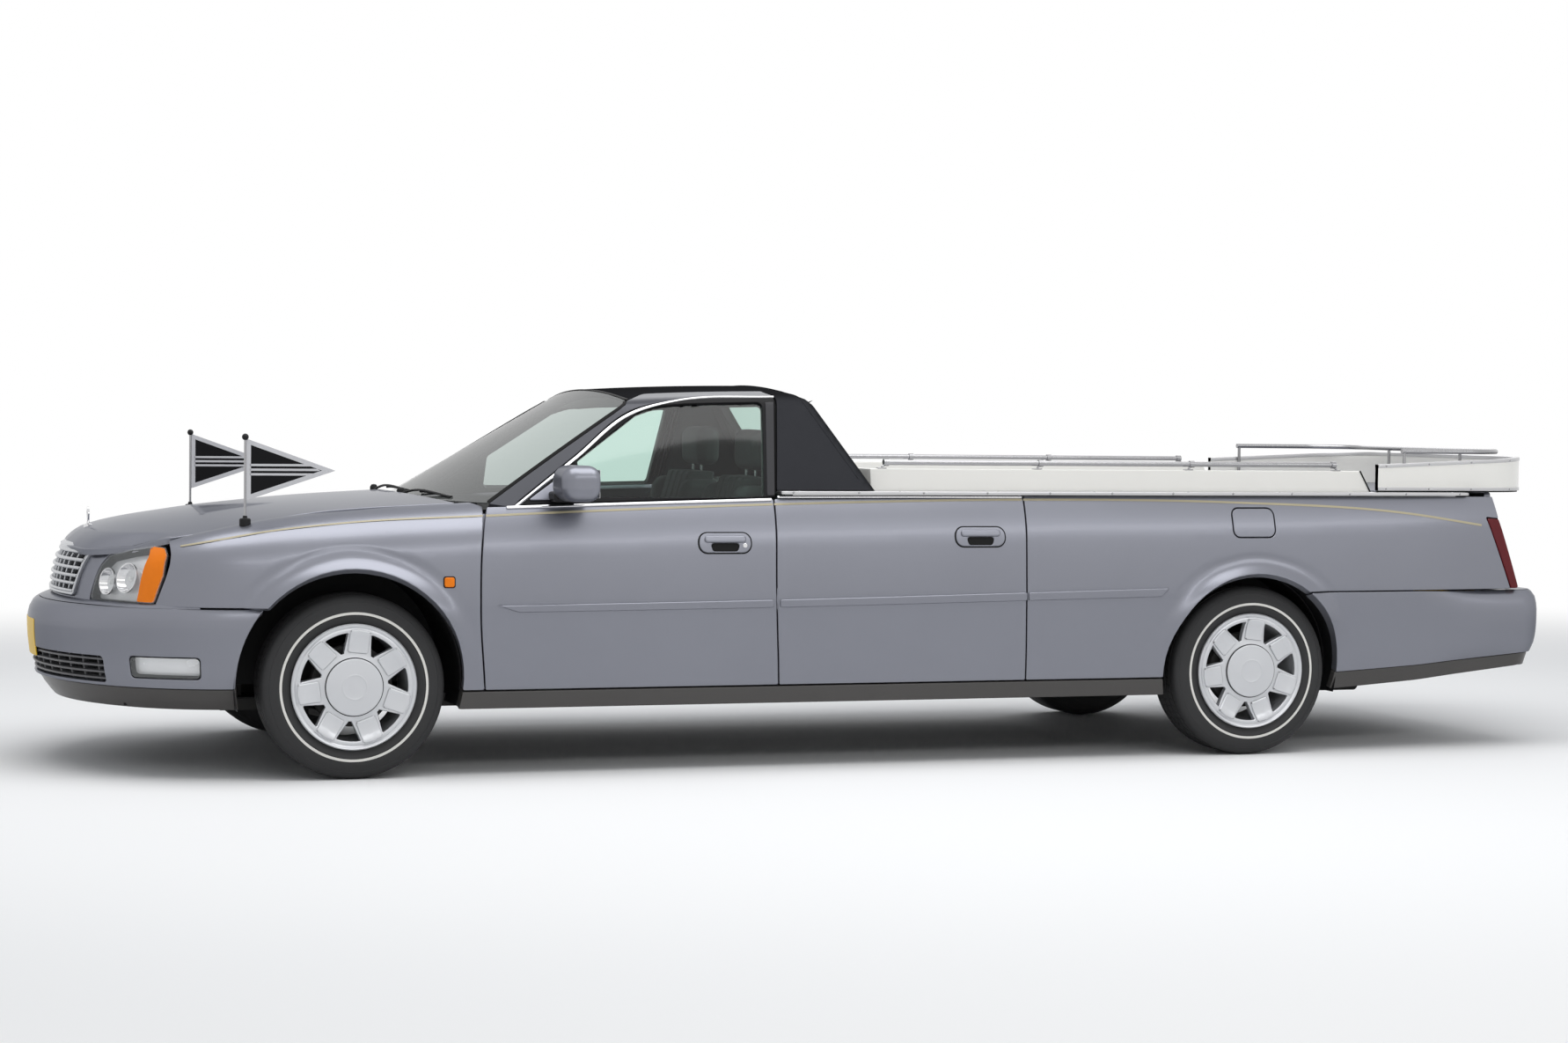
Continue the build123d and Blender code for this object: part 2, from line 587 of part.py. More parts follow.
def hood_ears():
    """The hood's own hinge ears, beside those on the cowl."""
    ears = []
    for y in (-713, 713):
        ear = box(HOOD_AXIS[0] - 40, HOOD_AXIS[0] + 8, y - 7, y + 7, HOOD_AXIS[1] - 26, HOOD_AXIS[1] + 2)
        ears.append(ear - rod_y(*HOOD_AXIS, 4 + HINGE_RUN, y - 12, y + 12))
    return ears


# Interior
SEAT_Y = 372.0


def make_seat():
    """A bucket seat: cushion, sloping back and head restraint in one upholstered shape."""
    cushion = box(fx(960), fx(1480), -SEAT_Y - 255, -SEAT_Y + 255, FLOOR_TOP + 60, 590)
    cushion = fillet(cushion.edges().filter_by(Axis.Y), 45)
    base = box(fx(1040), fx(1440), -SEAT_Y - 200, -SEAT_Y + 200, FLOOR_TOP + FIT, FLOOR_TOP + 80)
    back = [(fx(1430), 520), (fx(1570), 520), (fx(1750), 1090), (fx(1640), 1110)]
    back = prism_y(back, -SEAT_Y - 250, -SEAT_Y + 250)
    back = fillet(back.edges().filter_by(Axis.Y), 40)
    head = [(fx(1650), 1070), (fx(1730), 1070), (fx(1760), 1290), (fx(1690), 1300)]
    head = prism_y(head, -SEAT_Y - 140, -SEAT_Y + 140)
    head = fillet(head.edges().filter_by(Axis.Y), 30)
    return cushion + base + back + head


def make_dashboard():
    front = fx(470) + FIT
    outline = [(front, 690), (front, 945), (fx(560), 962), (fx(730), 950), (fx(800), 880), (fx(760), 700)]
    shape = prism_y(outline, -hw(730), hw(730))
    return fillet(shape.edges().filter_by(Axis.Y).sort_by(Axis.X)[-2:], 40)


WHEEL_RING = (fx(930), -SEAT_Y, 900.0, 185.0, 65.0)


def make_steering_wheel():
    x, y, z, radius, tilt = WHEEL_RING
    here = Pos(x, y, z) * Rot(0, tilt, 0)
    ring = here * Torus(radius, 15)
    boss = here * Cylinder(62, 40)
    spokes = here * (Box(14, 2 * radius, 16) + Pos(radius / 2, 0, 0) * Box(radius, 40, 16))
    column = rod((x, y, z), Vector(x, y, z) + Vector(-0.906, 0, -0.423) * 190, 32)
    return ring + boss + spokes + column


# Underside
FLOOR_STEP = rx(-430)


def make_floor():
    """The floor, stepping up behind the cab to clear the rear axle."""
    half, narrow = hw(790), hw(600)
    front, step, rear = fx(446), FLOOR_STEP, rx(1150)
    low = box(front, step, -half, half, FLOOR_BOTTOM, FLOOR_TOP)
    riser = box(step - 25, step, -narrow, narrow, FLOOR_BOTTOM, KICK_TOP)
    high = box(step - 25, rear, -narrow, narrow, KICK_TOP - 30, KICK_TOP)
    return low + riser + high


def make_bulkhead():
    return box(fx(2030), fx(2055), -hw(758), hw(758), FLOOR_TOP + FIT, DECK_TOP - 10 - FIT)


KINGPIN_Y = TRACK / 2 - 125.0
SPINDLE_RADIUS = 22.0
PIN_RADIUS = 14.0
ARM_Z = 205.0
HUB_Z = TYRE_RADIUS


def make_front_subframe():
    """Chassis legs from bumper to firewall, the engine cradle, and a wishbone and pin on each side."""
    top = FLOOR_BOTTOM - FIT
    pieces = []
    for side in (-1, 1):
        y = side * LEG_Y
        pieces.append(box(fx(-420), fx(560), y - 40, y + 40, 215, top))
        pieces.append(box(LEG_FRONT, fx(446) - FIT, y - 40, y + 40, *LEG_Z))
        for x in (-400, 340):
            pieces.append(box(fx(x), fx(x + 60), y - 30, y + 30, 260, LEG_Z[0] + 10))
        tip, root = side * (KINGPIN_Y + 26), side * 380
        arm = [(fx(-26), tip), (fx(26), tip), (fx(120), root), (fx(-80), root)]
        pieces.append(prism_z(arm, ARM_Z - 12, ARM_Z + 12))
        pieces.append(Pos(fx(0), side * KINGPIN_Y, ARM_Z + 40) * Cylinder(PIN_RADIUS, 60))
    pieces += [box(fx(x), fx(x + 90), -400, 400, 215, top) for x in (-420, 60, 350)]
    shape = pieces[0]
    for piece in pieces[1:]:
        shape = shape + piece
    return shape


def make_upright():
    """The left steering upright: it turns on the ball pin and carries the wheel's spindle."""
    block = box(fx(-45), fx(45), -KINGPIN_Y - 45, -KINGPIN_Y + 35, ARM_Z + 18, HUB_Z + 80)
    bore = Pos(fx(0), -KINGPIN_Y, ARM_Z + 43) * Cylinder(PIN_RADIUS + 0.05, 54.2)
    spindle = rod_y(fx(0), HUB_Z, SPINDLE_RADIUS, -TRACK / 2 - 20, -KINGPIN_Y)
    arm = box(fx(45), fx(150), -KINGPIN_Y + 5, -KINGPIN_Y + 35, HUB_Z - 90, HUB_Z - 60)
    return block - bore + spindle + arm


def make_rear_axle():
    """The rear beam with its spindles and trailing links."""
    beam = rod_y(rx(0), HUB_Z, 45, -TRACK / 2 + 150, TRACK / 2 - 150)
    spindles = rod_y(rx(0), HUB_Z, SPINDLE_RADIUS, -TRACK / 2 - 20, TRACK / 2 + 20)
    shape = beam + spindles
    for side in (-1, 1):
        y = side * 480
        link = [(rx(-620), FLOOR_BOTTOM - 50), (rx(-620), FLOOR_BOTTOM - FIT)]
        link += [(FLOOR_STEP + 6, FLOOR_BOTTOM - FIT), (rx(20), HUB_Z), (rx(20), HUB_Z - 50)]
        shape = shape + prism_y(link, y - 30, y + 30)
    return shape


def make_engine():
    return box(fx(-340), fx(260), -300, 300, FLOOR_BOTTOM, 820)


def make_exhaust():
    """A pipe along the floor to a silencer and one tail pipe under the rear bumper."""
    z = FLOOR_BOTTOM - 46
    front = rod((fx(440), 120, z), (rx(450), 120, z), 30)
    can = box(rx(430), rx(1000), -20, 260, z - 60, z + 46)
    can = fillet(can.edges().filter_by(Axis.X), 50)
    tail = rod((rx(980), 180, z), (rx(1330), 180, z + 20), 26)
    shape = front + can + tail
    under, over = FLOOR_BOTTOM, KICK_TOP - 30
    for x, top in ((fx(700), under), (rx(-700), under), (rx(500), over), (rx(920), over)):
        shape = shape + box(x - 8, x + 8, 112, 128, z, top - FIT)
    return shape


def make_housings():
    """Inner arches over the wheels, front and rear on the left."""
    pieces = []
    fender = side_loft(FENDER_STATIONS, FENDER_WALL + FIT, 0.0)
    quarter = side_loft(SIDE_STATIONS, DOOR_WALL + FIT, DOOR_WALL)
    bumper = swept(BUMPER_CURVE, [(0, 240), (0, BUMPER_TOP + FIT)], BUMPER_WALL + 50, fx(-300))
    for (x, z, radius), wall, y1 in ((FRONT_ARCH, fender, -452), (REAR_ARCH, quarter, -602)):
        y0 = -hw(930)
        outer = rod_y(x, z, radius + 4, y0, y1)
        inner = rod_y(x, z, radius - 2, y0 - 10, y1 - 6)
        upper = box(x - 600, x + 600, y0, y1, z - 40, z + 600)
        axle = box(x - 110, x + 110, y1 - 8, y1 + 8, z - 60, z + 110)
        beyond = box(x - 600, x + 600, -OUTSIDE, -hw(868), 0, 2000)
        pieces.append(((outer - inner) & upper) - axle - wall - beyond)
    return [pieces[0] - bumper, pieces[1]]


# Bier deck
DECK_FRONT_X = fx(2068)
LID_X = rx(640)
BIER_MARGIN = 233.0
DECK_HALF = HALF - BIER_MARGIN
DECK_WALL = 22.0
BED_RISE = 4.0
WALL_LEAN = 14.0
POSTS = [fx(2138), fx(2800), fx(3470), fx(4120)]
RAIL_RADIUS = 11.0
LID_AXIS = (LID_X + 2, LEDGE_TOP + 2)
LID_HINGES = (-480.0, 0.0, 480.0)


def make_deck():
    """The bier floor, with side strips over the rear doors and the fixed half of the lid's hinge."""
    right = [(DECK_FRONT_X, 0), (DECK_FRONT_X, hw(760)), (fx(1704), hw(760)), (fx(1704), hw(858))]
    right += [(fx(2655), hw(858)), (fx(2655), hw(765.6)), (rx(0), hw(765.6)), (rx(840), hw(739.6))]
    right += [(LID_X + 400, hw(722)), (LID_X + 400, 0)]
    half = prism_z(right, DECK_TOP - 10, DECK_TOP)
    bed = DECK_HALF + 28 - DECK_WALL - WALL_LEAN - 6
    shape = half + mirrored(half)
    front, rear = DECK_FRONT_X + DECK_WALL + 8, LID_X - 70
    shape = shape + box(front, rear, -bed, bed, DECK_TOP - 2, DECK_TOP + BED_RISE)
    for y in LID_HINGES:
        shape = shape + box(LID_AXIS[0] - 5, LID_AXIS[0] + 5, y - 14, y + 14, DECK_TOP - 2, LID_AXIS[1])
        shape = shape + rod_y(*LID_AXIS, 5, y - 14, y + 14) + rod_y(*LID_AXIS, 3, y - 40, y + 40)
    return shape


def make_ledge():
    """The flat bright strip along the top of the side."""
    left = [(fx(1704), -hw(886)), (fx(2700), -hw(888)), (rx(0), -hw(886)), (rx(840), -hw(860))]
    left += [(rx(1030), -hw(842)), (rx(1030), -hw(780)), (LID_X - 6, -hw(780))]
    left += [(LID_X - 6, -DECK_HALF - 30), (DECK_FRONT_X, -DECK_HALF - 30)]
    left += [(DECK_FRONT_X, -hw(812)), (fx(1704), -hw(812))]
    return prism_z(left, DECK_TOP + FIT, LEDGE_TOP)


def make_deck_walls():
    """Low walls round the bier, leaning in a little, with raked rear ends."""
    foot, top = DECK_TOP + FIT, LEDGE_TOP + WALL_HEIGHT
    lean = WALL_LEAN
    outer, inner = DECK_HALF + 28, DECK_HALF + 28 - DECK_WALL
    section = [(-outer, foot), (-inner, foot), (-inner + lean, top), (-outer + lean, top)]
    side = front_outline(section, DECK_FRONT_X, LID_X - 10)
    rake = [(LID_X - 60, top + 10), (LID_X - 10, DECK_TOP), (LID_X + 60, DECK_TOP), (LID_X + 60, top + 10)]
    side = side - prism_y(rake, -OUTSIDE, 0)
    gap = inner - FIT
    shape = [(-gap, foot), (gap, foot), (gap - lean, top), (-gap + lean, top)]
    front = front_outline(shape, DECK_FRONT_X, DECK_FRONT_X + DECK_WALL)
    return several(side, front, mirrored(side))


def make_deck_rails():
    """A tube along each wall on short bent posts."""
    z = LEDGE_TOP + WALL_HEIGHT + RAIL_RISE
    y = -DECK_HALF - 4
    shape = rod((POSTS[0] - 10, y, z), (POSTS[-1] + 10, y, z), RAIL_RADIUS)
    for x in POSTS:
        shape = shape + box(x - 9, x + 9, y - 7, y + 7, LEDGE_TOP + WALL_HEIGHT + FIT, z)
    return shape


# Tail lid with its ring and rail
RING_HALF = 770.0
RING_CORNER = 250.0
RING_FOOT = LEDGE_TOP + 6.0
RING_FRONT_TOP = 1176.0
RING_REAR_TOP = 1212.0
RING_WALL = 24.0
# The lid's rear panel, narrower above LID_NECK_FOOT so that it passes between the quarters as it rises
LID_PANEL_HALF = 718.0
LID_NECK_HALF = 690.0
LID_NECK_FOOT = DECK_TOP - 262.0


def ring_plan(inset):
    """The tail ring in plan: straight sides and a rounded rear."""
    half, rear, corner = RING_HALF - inset, TAIL_X - 14 - inset, RING_CORNER - inset
    face = make_face(Polyline((LID_X, -half), (rear, -half), (rear, half), (LID_X, half), close=True))
    corners = face.vertices().sort_by(Axis.X)[-2:]
    return fillet(corners, corner)


def make_ring():
    foot, high = RING_FOOT, RING_REAR_TOP
    shape = extrude(Pos(0, 0, foot) * ring_plan(0.0), high - foot, dir=(0, 0, 1))
    hollow = extrude(Pos(0, 0, foot) * ring_plan(RING_WALL), high - foot, dir=(0, 0, 1))
    front = box(LID_X - 10, LID_X + RING_WALL, -RING_HALF + RING_WALL, RING_HALF - RING_WALL, foot, high)
    above = [(LID_X - 10, RING_FRONT_TOP), (TAIL_X + 10, RING_REAR_TOP)]
    above += [(TAIL_X + 10, high + 50), (LID_X - 10, high + 50)]
    return shape - hollow - front - prism_y(above, -OUTSIDE, OUTSIDE)


def make_tail_lid():
    """The lid: a flat plate under the ring, a panel down to the bumper, and its hinge eyes."""
    plate = extrude(Pos(0, 0, RING_FOOT - 6) * ring_plan(3.0), 6 - FIT, dir=(0, 0, 1))
    plate = plate & box(LID_AXIS[0] - 3, TAIL_X, -OUTSIDE, OUTSIDE, 0, 2000)
    outline = [(TAIL_X - 246, RING_FOOT - 2), (TAIL_X - 206, RING_FOOT - 2)]
    outline += [(TAIL_X - 150, TAIL_SPLIT + 10), (TAIL_X - 190, TAIL_SPLIT + 10)]
    panel = prism_y(outline, -LID_PANEL_HALF, LID_PANEL_HALF)
    beside = box(rx(0), TAIL_X, -OUTSIDE, -LID_NECK_HALF, LID_NECK_FOOT, RING_FOOT - 6)
    shape = plate + (panel - beside - mirrored(beside))
    for y in LID_HINGES:
        shape = shape - box(LID_AXIS[0] - 10, LID_AXIS[0] + 12, y - 20, y + 20, 1000, 1100)
        for side in (-1, 1):
            eye = rod_y(*LID_AXIS, 5, *sorted((y + side * 20, y + side * 42)))
            shape = shape + eye
        shape = shape - rod_y(*LID_AXIS, 3 + HINGE_RUN, y - 43, y + 43)
    return shape


def make_tail_rail():
    """A bent tube round the ring on four posts."""
    z = RING_REAR_TOP + 22
    inset = 34.0
    half, rear, corner = RING_HALF - inset, TAIL_X - 90 - inset, RING_CORNER - inset
    front = LID_X + 130
    turns = [(front, -half, z), (rear, -half, z), (rear, half, z), (front, half, z)]
    path = FilletPolyline(*turns, radius=corner)
    tube = sweep(Plane(origin=path @ 0, z_dir=path % 0) * Circle(RAIL_RADIUS), path=path)
    for x, y in ((front + 12, -half), (front + 12, half), (rear, -300), (rear, 300)):
        tube = tube + box(x - 8, x + 8, y - 8, y + 8, RING_FOOT, z)
    return tube


# Tail
def make_rear_bumper():
    return swept(REAR_CURVE, REAR_PROFILE, 100, rx(330)) - arch_cut(REAR_ARCH, -OUTSIDE, OUTSIDE)


def make_rear_valance():
    shape = swept(REAR_CURVE, REAR_VALANCE_PROFILE, 40, rx(330))
    return shape - arch_cut(REAR_ARCH, -OUTSIDE, OUTSIDE)


def make_tail_lamp():
    """A tall lamp at the corner, in the quarter's own curve."""
    return SIDE_WALL & prism_y(TAIL_LAMP, -OUTSIDE, -600, -FIT)


# Fuel flap in the left quarter: X ends, Z ends
FLAP = (fx(3562), fx(3752), 884.0, 1002.0)
FLAP_WALL = 8.0
FLAP_GAP = 8.0
FLAP_HINGE_Y = 923.4


def flap_prism(shrink, y_low, y_high):
    x0, x1, z0, z1 = FLAP
    plate = Plane.XZ.offset(-y_low) * RectangleRounded(x1 - x0 - 2 * shrink, z1 - z0 - 2 * shrink, 30)
    return extrude(Pos((x0 + x1) / 2, 0, (z0 + z1) / 2) * plate, y_high - y_low, dir=(0, 1, 0))


FLAP_TILT = 8.3


def tilted_hinge():
    """The flap's hinge, leaning with the body side so that the flap's front edge lies along its pin."""
    fixed, moving, notch = hinge_lugs(0, 0, 0, (-9, 0), (9, 0), 10.0, 27.0)
    place = Pos(fx(3567), -hw(FLAP_HINGE_Y), 943.0) * Rot(-FLAP_TILT, 0, 0)
    return place * fixed, [place * lug for lug in moving], place * notch


FLAP_HINGE = tilted_hinge()


def make_flap():
    layer = side_loft(SIDE_STATIONS, FLAP_WALL, FLAP_WALL)
    return hung(layer & flap_prism(FLAP_GAP, -OUTSIDE, -700), FLAP_HINGE)


def make_filler():
    """The filler neck's round cap, at the back of the pocket behind the flap."""
    x0, x1, z0, z1 = FLAP
    return rod_y((x0 + x1) / 2, (z0 + z1) / 2, 34, -hw(852), -hw(810))


# Wheels
HUB_CAP_RADIUS = 102.0


def make_tyre(x, y):
    side, bead = TYRE_WIDTH / 2, RIM_RADIUS - 4
    # Half outline up one wall: (radius, distance from the tyre's middle)
    wall = [(bead - 14, side - 20), (bead, side - 16), (bead + 60, side)]
    wall += [(TYRE_RADIUS - 26, side - 4), (TYRE_RADIUS, side - 30)]
    outline = wall + [(radius, -along) for radius, along in reversed(wall)]
    face = make_face(Plane.XZ * Polyline(*outline, close=True))
    ring = revolve(face, Axis.Z, 360)
    return Pos(x, y, HUB_Z) * Rot(90, 0, 0) * ring


def make_wheel(x, y, out):
    """A cast wheel: barrel, broad spokes with windows between them, hub, cap and brake disc."""
    side = TYRE_WIDTH / 2
    barrel_r = RIM_RADIUS - 18 - FIT
    # Half outline from the axis outwards: (radius, distance outboard of the wheel's middle)
    outline = [(0, 104), (HUB_CAP_RADIUS, 104), (HUB_CAP_RADIUS + 4, 92), (barrel_r - 12, 92)]
    outline += [(barrel_r - 12, 98.6), (barrel_r - 8, 108), (RIM_RADIUS + 2, 108), (RIM_RADIUS + 2, 98.6)]
    outline += [(barrel_r, 98.6), (barrel_r, 20 - side), (barrel_r - 12, 20 - side), (barrel_r - 12, 64)]
    outline += [(62, 64), (62, 24), (150, 24), (150, 0), (62, 0), (62, -26), (0, -26)]
    face = make_face(Plane.XZ * Polyline(*outline, close=True))
    shape = revolve(face, Axis.Z, 360)
    reach = (HUB_CAP_RADIUS + 18, barrel_r - 24)
    gap = math.pi * 2 / SPOKES
    window = make_face(Polyline((reach[0], -18), (reach[1], -46), (reach[1], 46), (reach[0], 18), close=True))
    window = extrude(Pos(0, 0, 40) * window, 100, dir=(0, 0, 1))
    for i in range(SPOKES):
        shape = shape - Rot(0, 0, math.degrees(gap) * (i + 0.5)) * window
    bore = 46.6
    shape = shape - Pos(0, 0, 20.6 - bore / 2) * Cylinder(SPINDLE_RADIUS + 0.05, bore)
    turn = Rot(90, 0, 0) if out < 0 else Rot(-90, 0, 0)
    return Pos(x, y, HUB_Z) * turn * shape


# Flags, wipers and ornament
FLAG_X, FLAG_Y = fx(-383), 768.0
FLAG_TOP = 1267.0
PENNANT = [(0, 1022), (0, 1248), (330, 1132)]


def make_flagpole():
    foot = 928.0
    pole = Pos(FLAG_X, -FLAG_Y, (foot + FLAG_TOP - 6) / 2) * Cylinder(5, FLAG_TOP - 6 - foot)
    ball = Pos(FLAG_X, -FLAG_Y, FLAG_TOP - 10) * Sphere(10)
    base = Pos(FLAG_X, -FLAG_Y, foot + 10) * Cylinder(20, 24)
    shape = pole + ball + base
    return shape - FENDER_SKIN


def make_pennant():
    points = [(FLAG_X + 5 + FIT + dx, z) for dx, z in PENNANT]
    return prism_y(points, -FLAG_Y - 2, -FLAG_Y + 2)


ORNAMENT_X = fx(-872)


def make_ornament():
    """A plain upright leaf on a short stem at the front of the hood."""
    leaf = Plane.YZ.offset(ORNAMENT_X - 4) * Pos(0, 946) * Ellipse(20, 27)
    stem = Pos(ORNAMENT_X, 0, 905) * Cylinder(7, 40)
    return (extrude(leaf, 8, dir=(1, 0, 0)) + stem) - hood_block(0.0)


def make_wipers():
    """Two arms parked along the foot of the windscreen."""
    z = 1012 + 6 + FIT
    left = rod((fx(345), -50, z), (fx(420), -560, z), 6)
    right = rod((fx(352), 90, z), (fx(428), 600, z), 6)
    return several(left, right)


def put(name, shape):
    """Keep a node, or a pair of nodes where the name ends in _left."""
    NODES[name] = shape
    if name.endswith("_left") and not name.startswith(("tyre", "wheel")):
        NODES[name.replace("_left", "_right")] = mirrored(shape)


def export_all():
    os.makedirs("parts", exist_ok=True)
    for name, shape in NODES.items():
        export_step(shape, f"parts/{name}.step")
        solids = shape.solids()
        litres = sum(s.volume for s in solids) / 1e6
        print(name, len(solids), "solids", round(litres, 2), "litres, valid", all(s.is_valid for s in solids))


def hung(door, hinge):
    """A door cut clear of its hinge's fixed half and joined to the moving lugs."""
    door = door - hinge[2]
    for lug in hinge[1]:
        door = door + lug
    return door


def main():
    put("front_fenders", both(make_fenders()))
    door = door_pieces(FRONT_DOOR, WINDOW) + handle(fx(1412), 868)
    latch_room = box(fx(1590), fx(1640), -OUTSIDE, -HALF + 24, 604, 706)
    door = hung(door - latch_room, FRONT_HINGE)
    put("front_door_left", door)
    put("rear_door_left", hung(door_pieces(REAR_DOOR) + handle(fx(2458), 888), REAR_HINGE))
    put("front_glass_left", make_door_glass())
    put("mirror_left", make_mirror() - door)
    quarter = make_quarters()
    pocket = flap_prism(0.0, -OUTSIDE, -hw(810))
    left_quarter = (quarter - pocket) + make_filler() + FLAP_HINGE[0]
    put("quarter_panels", several(left_quarter, mirrored(quarter)))
    put("fuel_flap", make_flap())
    header, lamp = make_nose()
    put("nose_panel", header)
    bumper, fog = make_front_bumper()
    put("front_bumper", bumper)
    put("front_lamps", both(lamp, fog))
    put("grilles", several(make_grille(), make_lower_grille()))
    put("lower_trim", several(both(make_sills()), make_valance(), make_rear_valance()))
    hood = hood_block(0.0)
    for ear in hood_ears():
        hood = hood + ear
    put("hood", hood)
    put("pillars", both(*make_pillars()))
    put("hood_ornament", make_ornament())
    put("wipers", make_wipers())
    put("cab_shell", make_cab())
    put("windscreen", make_windscreen())
    put("rear_window", make_rear_window())
    put("cowl", make_cowl())
    put("seats", both(make_seat()))
    dashboard = make_dashboard()
    put("dashboard", dashboard)
    put("steering_wheel", make_steering_wheel() - dashboard)
    put("floor_pan", make_floor())
    put("bulkhead", make_bulkhead())
    put("front_subframe", make_front_subframe())
    put("upright_left", make_upright())
    put("rear_axle", make_rear_axle())
    put("engine_block", make_engine())
    put("exhaust", make_exhaust())
    put("wheel_housings", both(*make_housings()))
    put("deck_floor", make_deck())
    put("deck_ledges", both(make_ledge()))
    put("deck_walls", make_deck_walls())
    put("deck_rails", both(make_deck_rails()))
    put("tail_ring", make_ring())
    put("tail_lid", make_tail_lid())
    put("tail_rail", make_tail_rail())
    put("rear_bumper", make_rear_bumper())
    put("tail_lamps", both(make_tail_lamp()))
    for side, out in (("left", -1), ("right", 1)):
        for end, x in (("front", fx(0)), ("rear", rx(0))):
            put(f"tyre_{end}_{side}", make_tyre(x, out * TRACK / 2))
            put(f"wheel_{end}_{side}", make_wheel(x, out * TRACK / 2, out))
    put("flagpoles", both(make_flagpole()))
    put("pennants", both(make_pennant()))
    export_all()


if __name__ == "__main__":
    main()
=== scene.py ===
import json
import math
import bpy
import numpy as np
from mathutils import Matrix, Vector, geometry

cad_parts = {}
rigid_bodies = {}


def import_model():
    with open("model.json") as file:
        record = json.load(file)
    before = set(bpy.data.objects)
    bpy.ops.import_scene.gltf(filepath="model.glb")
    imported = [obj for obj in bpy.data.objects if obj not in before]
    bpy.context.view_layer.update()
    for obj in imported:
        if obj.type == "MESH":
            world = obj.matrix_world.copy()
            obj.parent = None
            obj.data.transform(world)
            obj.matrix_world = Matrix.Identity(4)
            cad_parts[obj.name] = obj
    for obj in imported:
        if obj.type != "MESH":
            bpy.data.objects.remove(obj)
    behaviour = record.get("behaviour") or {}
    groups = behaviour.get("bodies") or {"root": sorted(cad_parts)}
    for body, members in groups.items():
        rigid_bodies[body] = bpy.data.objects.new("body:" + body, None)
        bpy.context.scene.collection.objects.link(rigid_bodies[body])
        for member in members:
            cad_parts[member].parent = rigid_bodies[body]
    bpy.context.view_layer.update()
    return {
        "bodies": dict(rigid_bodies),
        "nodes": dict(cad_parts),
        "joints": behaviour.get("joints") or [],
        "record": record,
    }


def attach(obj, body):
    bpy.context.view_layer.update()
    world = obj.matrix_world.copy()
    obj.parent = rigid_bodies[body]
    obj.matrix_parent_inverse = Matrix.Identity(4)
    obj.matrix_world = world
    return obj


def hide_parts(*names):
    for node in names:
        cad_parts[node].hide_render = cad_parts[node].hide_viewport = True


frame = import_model()
nodes = frame["nodes"]
print("frame loaded:", len(nodes), "nodes")

# Places along the car, in metres
body = {
    "frontAxle": -2.0,
    "rearAxle": 1.66,
    "shutGap": 0.005,      # what shows between two panels
}


def fx(d):
    return body["frontAxle"] + d


def rx(d):
    return body["rearAxle"] + d


# Camera, lights and floor
camera = {
    "place": (-3.984, -11.587, 1.374),
    "yaw": 18.188, "pitch": 2.511, "roll": 0.674,   # degrees
    "focal": 3351.1, "centre": (854.84, 612.75),    # pixels of the photograph
    "image": (1782, 1185),
}
studio = {
    "floorColour": (0.90, 0.90, 0.90), "floorSize": 60.0, "floorRough": 0.8, "floorShine": 0.1,
    "nearFloor": (4.2, 9.0),        # metres from the car over which the floor fades into the white backdrop
    "floorShape": (0.62, 1.0, 0.0),     # the car is longer than it is wide
    "skyColour": (0.93, 0.96, 1.0), "skyStrength": 0.46,
    "lights": [      # name, place, aim, size, watts
        ("overhead", (-0.5, -1.5, 6.5), (0, 0, 0.6), (9.0, 5.0), 380.0),
        ("side", (2.2, -8.5, 4.6), (1.2, 0, 0.7), (14.0, 0.8), 125.0),
        ("rear", (3.5, 6.5, 4.5), (0, 0, 0.8), (7.0, 3.0), 80.0)],
}


def addNode(tree, kind, values=(), **props):
    node = tree.nodes.new(kind)
    for key, value in props.items():
        setattr(node, key, value)
    for key, value in dict(values).items():
        node.inputs[key].default_value = value
    return node


def makeCamera():
    yaw, pitch, roll = (math.radians(camera[k]) for k in ("yaw", "pitch", "roll"))
    ahead = Vector((math.sin(yaw) * math.cos(pitch), math.cos(yaw) * math.cos(pitch), -math.sin(pitch)))
    level = Vector((math.cos(yaw), -math.sin(yaw), 0.0))
    upright = level.cross(ahead)
    right = level * math.cos(roll) + upright * math.sin(roll)
    up = upright * math.cos(roll) - level * math.sin(roll)
    data = bpy.data.cameras.new("camera")
    width, height = camera["image"]
    data.sensor_fit, data.sensor_width = "HORIZONTAL", 36.0
    data.lens = 36.0 * camera["focal"] / width
    data.shift_x = (width / 2 - camera["centre"][0]) / width
    data.shift_y = (camera["centre"][1] - height / 2) / width
    data.clip_end = 200.0
    obj = bpy.data.objects.new("camera", data)
    turn = Matrix((right, up, -ahead)).transposed()
    obj.matrix_world = Matrix.Translation(camera["place"]) @ turn.to_4x4()
    bpy.context.collection.objects.link(obj)
    bpy.context.scene.camera = obj


def areaLight(name, place, aim, size, watts):
    data = bpy.data.lights.new(name, "AREA")
    data.shape, data.size, data.size_y, data.energy = "RECTANGLE", size[0], size[1], watts
    obj = bpy.data.objects.new(name, data)
    obj.location = place
    obj.rotation_euler = (Vector(aim) - Vector(place)).to_track_quat("-Z", "Y").to_euler()
    bpy.context.collection.objects.link(obj)


